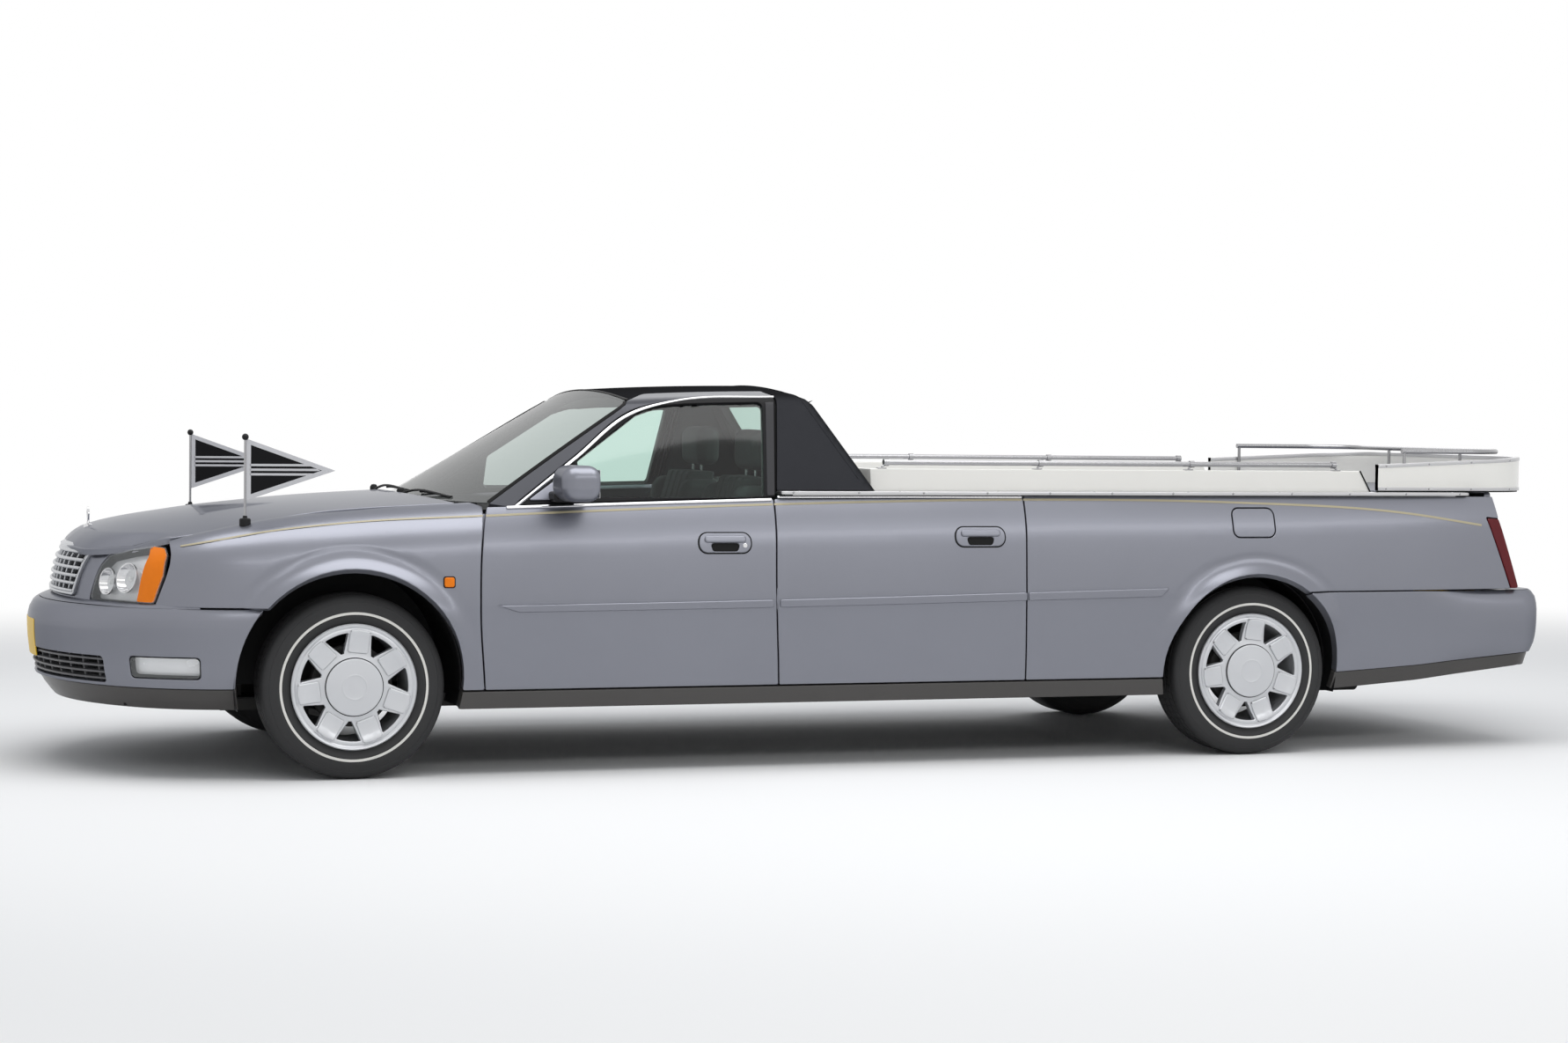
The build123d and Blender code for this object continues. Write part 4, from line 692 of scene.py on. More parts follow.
def sheet(rows, flip=False):
    # A skin over rows of points; its normal is along the row crossed with from row to row
    grid = np.array(rows, float)
    k, n = grid.shape[:2]
    normal = unit(np.cross(np.gradient(grid, axis=1), np.gradient(grid, axis=0))).reshape(-1, 3)
    faces = [(i * n + j, i * n + j + 1, (i + 1) * n + j + 1, (i + 1) * n + j)
             for i in range(k - 1) for j in range(n - 1)]
    if flip:
        faces, normal = [f[::-1] for f in faces], -normal
    return grid.reshape(-1, 3), faces, normal


def mirrored(data):
    v, f, n = data
    flip = np.array([1, -1, 1])
    return v * flip, [tuple(q)[::-1] for q in f], n * flip


def merged(*parts):
    verts, faces, norms, start = [], [], [], 0
    for v, f, n in parts:
        verts.append(v)
        norms.append(n)
        faces += [tuple(i + start for i in q) for q in f]
        start += len(v)
    return np.vstack(verts), faces, np.vstack(norms)


def bothSides(data):
    return merged(data, mirrored(data))


def moved(data, shift=(0, 0, 0), turn=None):
    v, f, n = data
    if turn is not None:
        m = np.array(turn)
        v, n = v @ m.T, n @ m.T
    return v + np.array(shift), f, n


def makePiece(name, data, finish, rides, stands=()):
    verts, faces, norms = data
    mesh = bpy.data.meshes.new(name)
    mesh.from_pydata(verts.tolist(), [], [tuple(int(i) for i in f) for f in faces])
    mesh.materials.append(finishes[finish])
    mesh.polygons.foreach_set("use_smooth", [True] * len(mesh.polygons))
    mesh.normals_split_custom_set_from_vertices(unit(norms).tolist())
    obj = bpy.data.objects.new(name, mesh)
    bpy.context.collection.objects.link(obj)
    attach(obj, rides)
    if stands:
        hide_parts(*stands)
    return obj


def pairPiece(name, data, finish, rides, stands=()):
    # The same piece on the left and, mirrored, on the right
    for hand, shape in (("left", data), ("right", mirrored(data))):
        replaced = [node.format(hand) for node in stands]
        makePiece(name + hand.capitalize(), shape, finish, rides.format(hand), replaced)


# Body side: each station gives half width and height of sill, crease, shoulder and top, and three bulges
sideShape = {
    "wing": [
        (fx(-0.790), 0.660, 0.250, 0.706, 0.600, 0.696, 0.752, 0.630, 0.838, 0.009, 0.003, 0.013),
        (fx(-0.680), 0.752, 0.250, 0.800, 0.600, 0.786, 0.776, 0.702, 0.866, 0.009, 0.003, 0.018),
        (fx(-0.560), 0.820, 0.250, 0.868, 0.606, 0.852, 0.796, 0.722, 0.899, 0.009, 0.003, 0.030),
        (fx(-0.320), 0.880, 0.250, 0.926, 0.622, 0.912, 0.800, 0.735, 0.950, 0.009, 0.003, 0.044),
        (fx(0.080), 0.890, 0.250, 0.942, 0.634, 0.926, 0.824, 0.744, 0.992, 0.009, 0.003, 0.044),
        (fx(0.500), 0.890, 0.250, 0.945, 0.640, 0.926, 0.848, 0.750, 1.019, 0.009, 0.003, 0.041),
    ],
    "side": [
        (fx(0.440), 0.890, 0.250, 0.945, 0.640, 0.926, 0.848, 0.856, 1.010, 0.009, 0.003, 0.0075),
        (fx(1.640), 0.890, 0.250, 0.945, 0.652, 0.924, 0.876, 0.862, 1.040, 0.009, 0.003, 0.0060),
        (fx(2.700), 0.890, 0.250, 0.945, 0.664, 0.923, 0.896, 0.866, 1.052, 0.009, 0.003, 0.0052),
        (rx(0.000), 0.886, 0.250, 0.942, 0.672, 0.918, 0.910, 0.866, 1.052, 0.009, 0.003, 0.0046),
        (rx(0.840), 0.852, 0.250, 0.908, 0.660, 0.882, 0.930, 0.840, 1.052, 0.009, 0.003, 0.0034),
        (rx(1.290), 0.800, 0.250, 0.858, 0.650, 0.836, 0.930, 0.800, 1.052, 0.009, 0.003, 0.0022),
    ],
    "frontArch": (fx(-0.012), 0.360, 0.418),    # x, z, radius
    "rearArch": (rx(0.0), 0.345, 0.394),
    "soften": [(-0.030, 0.08), (-0.020, 0.14), (-0.010, 0.18), (0.0, 0.20), (0.010, 0.18), (0.020, 0.14),
               (0.030, 0.08)],
    "flare": 0.026, "flareWidth": (0.046, 0.072), "flareSwell": (2.2, 1.2),
    "widen": (15, 60), "flareEnd": (50, 84),       # degrees from the top of the arch
    "dip": 0.0035, "dipStart": 0.8, "dipReach": 0.056, "dipEnd": (22, 62),
    "rings": (0.016, 0.024, 0.032, 0.040, 0.048, 0.056, 0.066, 0.078, 0.092, 0.108), "ringTurn": (-4, 186, 2.2),
}


def arcPoint(ay, az, by, bz, bulge, t):
    dy, dz = by - ay, bz - az
    length = np.hypot(dy, dz)
    k = 4 * bulge * t * (1 - t) / length
    return ay + dy * t + dz * k, az + dz * t - dy * k


def arcShare(ay, az, by, bz, bulge, z):
    # Where along an arc a height lies
    dz = bz - az
    k = -4 * bulge * (by - ay) / np.hypot(by - ay, dz)
    b = dz + k
    root = np.sqrt(np.maximum(b * b - 4 * k * (z - az), 0))
    return 2 * (z - az) / (b + root)


def archFlare(x, z):
    # A lip that swells out to the arch, wider towards its ends, under a shallow hollow
    total = np.zeros_like(x)
    over, ends = sideShape["flareWidth"]
    widen, flareEnd, dipEnd = sideShape["widen"], sideShape["flareEnd"], sideShape["dipEnd"]
    most, less = sideShape["flareSwell"]
    for ax, az, radius in (sideShape["frontArch"], sideShape["rearArch"]):
        d = np.hypot(x - ax, z - az) - radius
        turn = np.abs(np.degrees(np.arctan2(x - ax, z - az)))
        fade = ease((flareEnd[1] - turn) / (flareEnd[1] - flareEnd[0]))
        reach = over + (ends - over) * np.clip((turn - widen[0]) / (widen[1] - widen[0]), 0, 1)
        rise = np.clip(1 - d / reach, 0, 1)
        total += sideShape["flare"] * rise * rise * (most - less * rise) * fade
        hollow = np.clip((d - reach * sideShape["dipStart"]) / sideShape["dipReach"], 0, 1)
        share = np.clip((dipEnd[1] - turn) / (dipEnd[1] - dipEnd[0]), 0, 1)
        total -= sideShape["dip"] * np.sin(np.pi * hollow) ** 2 * share
    return total


def sideSurface(name):
    # (x, s) to a point of the left side: s is the height up to the shoulder and the length of skin above it
    table = hermite(sideShape[name])

    def section(x, s, rows):
        sy, sz, cy, cz, hy, hz, ty, tz, b1, b2, b3 = rows
        lower = arcPoint(sy, sz, cy, cz, b1, arcShare(sy, sz, cy, cz, b1, s))
        upper = arcPoint(cy, cz, hy, hz, b2, arcShare(cy, cz, hy, hz, b2, s))
        top = arcPoint(hy, hz, ty, tz, b3, (s - hz) / np.hypot(ty - hy, tz - hz))
        y = np.where(s < cz, lower[0], np.where(s < hz, upper[0], top[0]))
        return y, np.where(s < hz, s, top[1])

    def at(uv):
        x, s = uv[:, 0], uv[:, 1]
        rows = table(x).T
        y, z = np.zeros_like(x), np.zeros_like(x)
        for step, weight in sideShape["soften"]:      # rounds the section where its arcs meet
            a, b = section(x, s + step, rows)
            y, z = y + weight * a, z + weight * b
        return np.column_stack([x, -(y + archFlare(x, z)), z])
    at.table = table
    return at


wingSurface, doorSurface = sideSurface("wing"), sideSurface("side")


def skin(surface, points):
    # Heights above the shoulder become lengths of skin
    pts = np.array(points, float)
    sy, sz, cy, cz, hy, hz, ty, tz, b1, b2, b3 = surface.table(pts[:, 0]).T
    over = hz + arcShare(hy, hz, ty, tz, b3, pts[:, 1]) * np.hypot(ty - hy, tz - hz)
    pts[:, 1] = np.where(pts[:, 1] > hz, over, pts[:, 1])
    return pts


def archLine(arch, start, end, step=6.0):
    # Points on an arch between two angles from the horizontal, in degrees
    x, z, radius = arch
    n = max(2, int(abs(end - start) / step))
    return [(x + radius * math.cos(math.radians(a)), z + radius * math.sin(math.radians(a)))
            for a in np.linspace(start, end, n + 1)]


def archRings(arch):
    # Closer points where the flare turns
    x, z, radius = arch
    turn = np.radians(np.arange(*sideShape["ringTurn"]))
    return np.vstack([np.column_stack([x + (radius + d) * np.cos(turn), z + (radius + d) * np.sin(turn)])
                      for d in sideShape["rings"]])


def archAngle(arch, z, behind):
    a = math.degrees(math.asin((z - arch[1]) / arch[2]))
    return a if behind else 180 - a


shutLines = {
    "doorFront": [(fx(0.488), 0.320), (fx(0.462), 0.635), (fx(0.490), 0.975), (fx(0.497), 1.002)],
    "doorSplit": [(fx(1.640), 0.320), (fx(1.616), 0.655), (fx(1.624), 1.034)],
    "rearDoorEnd": [(fx(2.668), 0.320), (fx(2.652), 0.640), (fx(2.660), 1.040)],
    "sill": 0.320, "bumperTop": 0.634, "tailSplit": 0.662, "belt": 1.048,
}


halfGap = body["shutGap"] / 2
sill = shutLines["sill"] + halfGap
frontArch, rearArch = sideShape["frontArch"], sideShape["rearArch"]
wingFront = [(fx(-0.6535), 0.826), (fx(-0.659), 0.790), (fx(-0.672), 0.745), (fx(-0.708), 0.645)]
fuelFlap = {"x": (fx(3.562), fx(3.752)), "z": (0.884, 1.002), "corner": 0.030}
tailLamp = {
    "outline": [(rx(1.114), 0.960), (rx(1.174), 0.954), (rx(1.266), 0.666), (rx(1.228), 0.666)],
    "gap": 0.004,
}


def lineOf(name, shift):
    # A shut line from the sill up, moved along the car
    return [(x + shift, max(z, sill)) for x, z in spline(shutLines[name], 0.03)]


def makeWings():
    bumperZ = shutLines["bumperTop"] + halfGap
    arch = archLine(frontArch, archAngle(frontArch, sill, True), archAngle(frontArch, bumperZ, False))
    rear = skin(wingSurface, lineOf("doorFront", -halfGap))
    crown = [(x, 2.0) for x in np.linspace(fx(0.495), fx(-0.654), 30)]
    top = skin(wingSurface, crown)
    tz = wingSurface.table(top[:, 0]).T
    top[:, 1] = tz[5] + np.hypot(tz[6] - tz[4], tz[7] - tz[5])
    lamp = skin(wingSurface, [top[-1], *wingFront, (wingFront[-1][0] - 0.003, bumperZ)])
    outline = np.vstack([arch[::-1], [(fx(0.488) - halfGap, sill)], rear[1:], top[1:], lamp[1:]])
    data = panel(rounded(outline[::-1], 0.006, 40), wingSurface, depth=0.030, spacing=0.032,
                 extra=archRings(frontArch))
    makePiece("frontWings", bothSides(data), "paint", "body", ["front_fenders"])


def flapOutline(grow):
    (x0, x1), (z0, z1) = fuelFlap["x"], fuelFlap["z"]
    corners = rectangle(x0 - grow, z0 - grow, x1 + grow, z1 + grow)
    return dense(rounded(corners, fuelFlap["corner"] + grow), 0.01)


def makeDoors():
    doors = (("front", "doorFront", [(fx(1.060), 1.018)], "doorSplit"),
             ("rear", "doorSplit", [], "rearDoorEnd"))
    for name, front, belt, rear in doors:
        outline = lineOf(front, halfGap) + belt + lineOf(rear, -halfGap)[::-1]
        loop = skin(doorSurface, dense(outline, 0.03))
        data = panel(rounded(loop, 0.006, 40), doorSurface, depth=0.045, flange=0.05, spacing=0.032)
        node = name + "_door_{}"
        pairPiece(name + "DoorSkin", data, "paint", node, [node])


def makeQuarters():
    split = shutLines["tailSplit"] + halfGap
    front = lineOf("rearDoorEnd", halfGap)
    arch = archLine(rearArch, archAngle(rearArch, split, True), archAngle(rearArch, sill, False))
    lamp, gap = tailLamp["outline"], tailLamp["gap"]
    edge = [(lamp[3][0] - gap, split), (lamp[0][0] - gap, lamp[0][1] + gap), (lamp[1][0], lamp[1][1] + gap)]
    top = [(rx(1.158), shutLines["belt"]), (fx(2.665), shutLines["belt"])]
    outline = front + top[::-1] + edge[::-1] + arch
    loop = skin(doorSurface, dense(outline, 0.03))
    flap = skin(doorSurface, flapOutline(halfGap))
    rim = dict(depth=0.030, spacing=0.032, extra=archRings(rearArch))
    loop = rounded(loop, 0.005, 40)
    left, right = panel(loop, doorSurface, [flap], **rim), mirrored(panel(loop, doorSurface, **rim))
    makePiece("quarterLeft", left, "paint", "body", ["quarter_panels"])
    makePiece("quarterRight", right, "paint", "body")
    cover = panel(skin(doorSurface, flapOutline(-halfGap)), doorSurface, depth=0.010, roll=0.002, spacing=0.02)
    makePiece("fuelFlap", cover, "paint", "fuel_flap", ["fuel_flap"])


makeWings()
makeDoors()
makeQuarters()
print("body side ready")


# Trim of the sides: rubbing strips, pinstripe, handles and side markers
sideTrim = {
    "strip": {"top": [(0.522, 0.640), (1.611, 0.653), (3.271, 0.684)],
              "foot": [(0.606, 0.613), (1.612, 0.622), (3.233, 0.649)], "stand": 0.007, "roll": 0.005,
              "room": {"front_door_{}": (0.0, 0.012), "rear_door_{}": (0.006, 0.0)}},   # for the rear door
    "stripe": {"line": [(-0.622, 0.856), (-0.544, 0.871), (-0.468, 0.885), (-0.327, 0.910), (-0.006, 0.945),
                        (0.497, 0.970), (1.633, 1.014), (2.667, 1.033), (3.561, 1.024), (4.368, 0.981),
                        (4.743, 0.930)], "ends": (-0.618, 4.743), "width": 0.009, "stand": 0.0008},
    "handles": [("front_door_{}", 1.411, 0.868, True), ("rear_door_{}", 2.458, 0.889, False)],   # x, z, lock
    "handle": {"length": 0.206, "height": 0.074, "outline": 0.005, "plate": 0.006, "grip": 0.013,
               "bowl": (0.118, 0.032), "slope": 0.010,
               "bar": (0.013, 0.040, 0.026, 0.0125)},      # up, shorter by, height, corner
    "marker": {"x": 0.343, "z": 0.727, "size": (0.038, 0.036)},
}


def between(line, x):
    return np.interp(x, [p[0] for p in line], [p[1] for p in line])


def splitAt(start, end):
    # The parts of a run along the side that lie on wing, front door, rear door and quarter
    cuts = [("body", wingSurface, -9.0, 0.486), ("front_door_{}", doorSurface, 0.492, 1.616),
            ("rear_door_{}", doorSurface, 1.622, 2.652), ("body", doorSurface, 2.658, 9.0)]
    for rides, surface, low, high in cuts:
        if max(low, start) < min(high, end):
            yield rides, surface, max(low, start), min(high, end)


def makeRubbingStrip():
    strip = sideTrim["strip"]
    top, foot = spline(strip["top"], 0.03), spline(strip["foot"], 0.03)
    for k, (rides, surface, low, high) in enumerate(splitAt(strip["top"][0][0], strip["top"][-1][0])):
        room = strip["room"].get(rides, (0.0, 0.0))
        low, high = low + room[0], high - room[1]
        upper = [(fx(x), between(top, x)) for x in np.linspace(low, high, 40)]
        ends = max(low, strip["foot"][0][0]), min(high, strip["foot"][-1][0])
        lower = [(fx(x), between(foot, x)) for x in np.linspace(*ends, 40)]
        data = panel(lower + upper[::-1], offset(surface, strip["stand"]), roll=strip["roll"], depth=0.009,
                     spacing=0.05)
        pairPiece("rubbingStrip" + "ABC"[k], data, "paint", rides)


def makePinstripe():
    stripe = sideTrim["stripe"]
    line, reach = spline(stripe["line"], 0.03), stripe["width"] / 2
    for k, (rides, surface, low, high) in enumerate(splitAt(*stripe["ends"])):
        xs = np.linspace(low, high, max(8, int((high - low) / 0.025)))
        s = skin(surface, np.column_stack([fx(xs), between(line, xs)]))
        surf = offset(surface, stripe["stand"])
        rows = np.vstack([s + [0, reach], s - [0, reach]])
        n = len(xs)
        faces = [(i, n + i, n + i + 1, i + 1) for i in range(n - 1)]
        data = surf(rows), faces, surfaceNormals(surface, rows)[0]
        pairPiece("pinstripe" + "ABCD"[k], data, "stripe", rides)


def oval(x, z, length, height, corner=None, step=0.006):
    a, b = length / 2, height / 2
    return dense(rounded(rectangle(x - a, z - b, x + a, z + b), corner or b * 0.98), step)


def makeHandles():
    shape = sideTrim["handle"]
    for rides, x, z, lock in sideTrim["handles"]:
        name = "frontHandle" if lock else "rearHandle"
        length, height = shape["length"], shape["height"]
        wide, deep = shape["bowl"]
        start, end, slope = fx(x) - wide / 2, fx(x) + wide / 2, shape["slope"]
        bowl = rounded([(start, z - 0.001), (start + slope, z - deep), (end - slope, z - deep),
                        (end, z - 0.001)], 0.012)
        plate = panel(skin(doorSurface, oval(fx(x), z, length, height)), offset(doorSurface, shape["plate"]),
                      [skin(doorSurface, dense(bowl, 0.006))], roll=0.004, depth=0.006, spacing=0.02)
        up, shorter, tall, corner = shape["bar"]
        grip = oval(fx(x), z + up, length - shorter, tall, corner)
        bar = panel(skin(doorSurface, grip), offset(doorSurface, shape["grip"]), roll=0.007, depth=0.010,
                    spacing=0.015)
        pairPiece(name, merged(plate, bar), "paint", rides)
        line = shape["outline"] * 2
        ring = skin(doorSurface, oval(fx(x), z, length + line, height + line))
        seat = panel(ring, offset(doorSurface, 0.0010), roll=0.001, depth=0.002, spacing=0.02)
        pairPiece(name + "Seat", seat, "rubber", rides)
        if lock:
            spot = skin(doorSurface, oval(fx(x + 0.078), z - 0.010, 0.018, 0.018, step=0.003))
            key = panel(spot, offset(doorSurface, 0.0085), roll=0.002, depth=0.006, spacing=0.01)
            pairPiece("doorLock", key, "chrome", rides)


def makeSideMarker():
    wide, tall = sideTrim["marker"]["size"]
    spot = oval(fx(sideTrim["marker"]["x"]), sideTrim["marker"]["z"], wide, tall, 0.008)
    data = panel(spot, offset(wingSurface, 0.008), roll=0.005, depth=0.010, spacing=0.01)
    makePiece("sideMarkers", bothSides(data), "amber", "body")
    seat = oval(fx(sideTrim["marker"]["x"]), sideTrim["marker"]["z"], wide + 0.008, tall + 0.008, 0.010)
    data = panel(seat, offset(wingSurface, 0.0015), roll=0.001, depth=0.003, spacing=0.01)
    makePiece("sideMarkerSeats", bothSides(data), "rubber", "body")


makeRubbingStrip()
makePinstripe()
makeHandles()
makeSideMarker()
print("side trim ready")


# Nose: plan curves of bumper and lamp band, measured along the front from the centre line to the left
noseShape = {
    "bumper": dict(tip=-3.100, way=1, radius=1.042, turn=0.690, side=0.905, spread=4.0),
    "lamp": dict(tip=-3.004, way=1, radius=1.220, turn=0.695, side=0.885, spread=4.0),
    "tail": dict(tip=3.100, way=-1, radius=11.000, turn=0.735, side=0.872, spread=6.0),
    "bumperProfile": [(0.335, 0.040), (0.380, 0.024), (0.440, 0.012), (0.520, 0.005), (0.580, 0.004),
                      (0.612, 0.008), (0.634, 0.016)],
    "bumperMiddle": [(0.335, 0.034), (0.380, 0.020), (0.440, 0.010), (0.520, 0.004), (0.570, 0.006),
                     (0.600, 0.016), (0.620, 0.032), (0.634, 0.056)],
    "middleReach": (0.56, 0.86),     # along the bumper, where the rounded middle turns into the sharper side
    "lampProfile": [(0.634, 0.000), (0.690, 0.006), (0.740, 0.014), (0.815, 0.044), (0.872, 0.098)],
    "tailProfile": [(0.330, 0.080), (0.385, 0.034), (0.430, 0.012), (0.480, 0.003), (0.540, 0.000),
                    (0.600, 0.003), (0.632, 0.012), (0.650, 0.026), (0.664, 0.046)],
}


def planCurve(tip, way, radius, turn, side, spread):
    # Arc across an end of the car, a tighter one round the corner, then straight: points and directions out
    start, end = math.asin(turn / radius), math.radians(90 - spread)
    corner = (side - turn) / (math.sin(end) - math.sin(start))
    centre = np.array([tip + way * radius, 0.0])
    centre2 = centre + (radius - corner) * np.array([-way * math.cos(start), math.sin(start)])
    one, two = radius * start, corner * (end - start)

    def at(u):
        left = np.where(u < 0, -1.0, 1.0)
        v = np.abs(u)
        a = np.where(v < one, v / radius, start + np.minimum(v - one, two) / corner)
        out = np.column_stack([-way * np.cos(a), np.sin(a)])
        p = np.where((v < one)[:, None], centre + radius * out, centre2 + corner * out)
        past = np.maximum(v - one - two, 0)[:, None]
        run = np.column_stack([way * np.sin(a), np.cos(a)])
        p = p + past * run
        flip = np.column_stack([np.ones_like(left), -left])
        return p * flip, out * flip
    return at


def bandSurface(curve, profile):
    # (u, z): u along the plan curve, positive to the left; the profile says how far back each height lies
    path, back = planCurve(**noseShape[curve]), hermite(noseShape[profile])
    middle = hermite(noseShape["bumperMiddle"]) if curve == "bumper" else back
    near, far = noseShape["middleReach"]

    def at(uv):
        p, out = path(uv[:, 0])
        t = ease((np.abs(uv[:, 0]) - near) / (far - near))[:, None]
        q = p - out * (back(uv[:, 1]) * t + middle(uv[:, 1]) * (1 - t))
        return np.column_stack([q, uv[:, 1]])
    at.path = path
    return at


bumperSurface = bandSurface("bumper", "bumperProfile")
lampSurface = bandSurface("lamp", "lampProfile")
tailSurface = bandSurface("tail", "tailProfile")


def bisect(low, high, before):
    # Where a test that holds at low stops holding
    for step in range(50):
        mid = (low + high) / 2
        if before(mid):
            low = mid
        else:
            high = mid
    return (low + high) / 2


def bandAtX(surface, x, z, far=2.2):
    # How far along the band its surface passes a given x at height z
    xAt = lambda u: surface(np.array([[u, z]]))[0][0]
    rising = xAt(far) > xAt(0.0)
    return bisect(0.0, far, lambda u: (xAt(u) < x) == rising)


def bandAtY(surface, y, z, far=1.6):
    return bisect(0.0, far, lambda u: -surface(np.array([[u, z]]))[0][1] < y)


lowerGrille = {"half": 0.620, "z": (0.348, 0.446), "level": 0.40, "corner": 0.018, "bars": 4, "uprights": 15}
fogLamp = {"x": (fx(-0.790), fx(-0.556)), "z": (0.374, 0.452), "level": 0.41, "corner": 0.016}


def lowerOpening(grow=0.0):
    u = bandAtY(bumperSurface, lowerGrille["half"], lowerGrille["level"]) + grow
    z0, z1 = lowerGrille["z"]
    return dense(rounded(rectangle(-u, z0 - grow, u, z1 + grow), lowerGrille["corner"]), 0.012)


def fogOutline(grow=0.0):
    z0, z1 = fogLamp["z"]
    u0, u1 = (bandAtX(bumperSurface, x, fogLamp["level"]) for x in fogLamp["x"])
    return dense(rounded(rectangle(u0 - grow, z0 - grow, u1 + grow, z1 + grow), fogLamp["corner"]), 0.008)


def makeFrontBumper():
    low, high = 0.336, shutLines["bumperTop"] - halfGap
    edge = archLine(frontArch, archAngle(frontArch, high, False), archAngle(frontArch, low, False), 4)
    right = [(bandAtX(bumperSurface, x, z), z) for x, z in edge]
    left = [(-u, z) for u, z in right]
    top = [(u, high) for u in np.linspace(left[0][0], right[0][0], 90)]
    foot = [(u, low) for u in np.linspace(right[-1][0], left[-1][0], 90)]
    outline = top + right[1:] + foot[1:] + left[::-1][1:-1]
    fog = fogOutline(0.002)
    holes = [lowerOpening(), fog, fog * [-1, 1]]
    data = panel(np.array(outline)[::-1], bumperSurface, holes, roll=0.004, depth=0.040, spacing=0.026)
    makePiece("frontBumper", data, "paint", "body", ["front_bumper"])


makeFrontBumper()


# Bonnet
hoodShape = {
    "edge": 0.760,
    "stations": [      # x, height on the centre line, height at the edge
        (fx(-1.010), 0.846, 0.770), (fx(-0.870), 0.900, 0.822), (fx(-0.540), 0.966, 0.892),
        (fx(-0.190), 1.003, 0.966), (fx(0.450), 1.046, 1.016)],
    "front": [(fx(-0.972), 0.0), (fx(-0.952), 0.250), (fx(-0.916), 0.420), (fx(-0.864), 0.512),
              (fx(-0.792), 0.582), (fx(-0.716), 0.654), (fx(-0.664), 0.698)],
    "rear": fx(0.404), "bow": 0.096, "gap": 0.004, "fall": 2.2,
    "curl": 0.060, "curlLength": 0.100, "curlEnd": (0.600, 0.700),     # the front edge rolls down
    "rows": (0.012, 0.024, 0.038, 0.054, 0.074, 0.100),                # closer points there
}
hoodFront = spline(hoodShape["front"], 0.02)


def hoodSurface(uv):
    x, y = uv[:, 0], uv[:, 1]
    crown, edge = hermite(hoodShape["stations"])(x).T
    t = np.abs(y) / hoodShape["edge"]
    z = crown - (crown - edge) * t ** hoodShape["fall"]
    behind = x - np.interp(np.abs(y), hoodFront[:, 1], hoodFront[:, 0])
    near = np.clip(1 - behind / hoodShape["curlLength"], 0, 0.90)
    low, high = hoodShape["curlEnd"]
    z = z - hoodShape["curl"] * (1 - np.sqrt(1 - near ** 2)) * np.clip((high - np.abs(y)) / (high - low), 0, 1)
    return np.column_stack([x, y, z])


def makeHood():
    front = hoodFront
    sideX = np.linspace(front[-1][0], hoodShape["rear"], 40)[1:]
    wing = wingSurface.table(sideX).T[6]
    edge = np.vstack([front, np.column_stack([sideX, wing - hoodShape["gap"]])])
    rearY = np.linspace(edge[-1][1], 0, 24)[1:]
    rear = np.column_stack([hoodShape["rear"] - hoodShape["bow"] * (1 - (rearY / edge[-1][1]) ** 2), rearY])
    right = np.vstack([edge, rear])
    outline = np.vstack([right * [1, -1], right[::-1][1:-1]])
    rows = np.vstack([front[:-2] + [d, 0.0] for d in hoodShape["rows"]])
    rows = np.vstack([rows, rows[1:] * [1, -1]])
    data = panel(outline, hoodSurface, roll=0.004, depth=0.024, flange=0.06, spacing=0.036, extra=rows)
    makePiece("hoodSkin", data, "paint", "hood", ["hood"])


makeHood()
print("nose ready")


# Cab: sections from the crown out to the belt
cabShape = {
    "stations": [      # x, belt half width, roof edge half width and height, crown height
        (fx(0.380), 0.862, 0.664, 1.330, 1.380), (fx(1.150), 0.866, 0.664, 1.388, 1.451),
        (fx(1.700), 0.868, 0.668, 1.412, 1.4705), (fx(2.140), 0.864, 0.668, 1.412, 1.4665)],
    "base": 0.980, "corner": 0.120, "drop": 0.034,
    "doorFrame": [(fx(0.606), 1.006), (fx(0.860), 1.188), (fx(1.112), 1.366), (fx(1.330), 1.412),
                  (fx(1.692), 1.426)],
    "frameRear": [(fx(1.692), 1.426), (fx(1.664), 1.230), (fx(1.640), 1.040)],
    "window": [(fx(0.870), 1.040), (fx(0.870), 1.174), (fx(1.128), 1.354), (fx(1.200), 1.382),
               (fx(1.330), 1.394), (fx(1.634), 1.403), (fx(1.590), 1.040)],
    "seam": [(fx(1.125), 1.410), (fx(1.200), 1.428), (fx(1.400), 1.446), (fx(1.704), 1.454)],   # vinyl above it
    "pillarFront": [(fx(1.704), 1.454), (fx(1.700), 1.428), (fx(1.672), 1.230), (fx(1.648), 1.066)],
    "screenFoot": (fx(0.490), 1.030), "screenTop": (fx(1.128), 1.398), "bow": 0.130, "screenHalf": 0.735,
    "backTop": (fx(1.806), 1.4705), "backFoot": (fx(2.062), 1.064), "backRound": 0.034,
    "rearWindow": (0.540, 1.120, 1.400), "windowCorner": 0.05,
    "belt": [(fx(0.606), 1.002), (fx(1.060), 1.018), (fx(1.636), 1.034)],
    "sail": [(fx(0.660), 1.024), (fx(0.852), 1.028), (fx(0.852), 1.150)],
    "post": [(fx(1.604), 1.044), (fx(1.636), 1.044), (fx(1.683), 1.404), (fx(1.648), 1.402)],
    "divider": [(fx(0.862), 1.030), (fx(0.862), 1.176)],
    "beltChrome": [(fx(0.574), 0.999), (fx(1.060), 1.014), (fx(1.612), 1.030)],
}


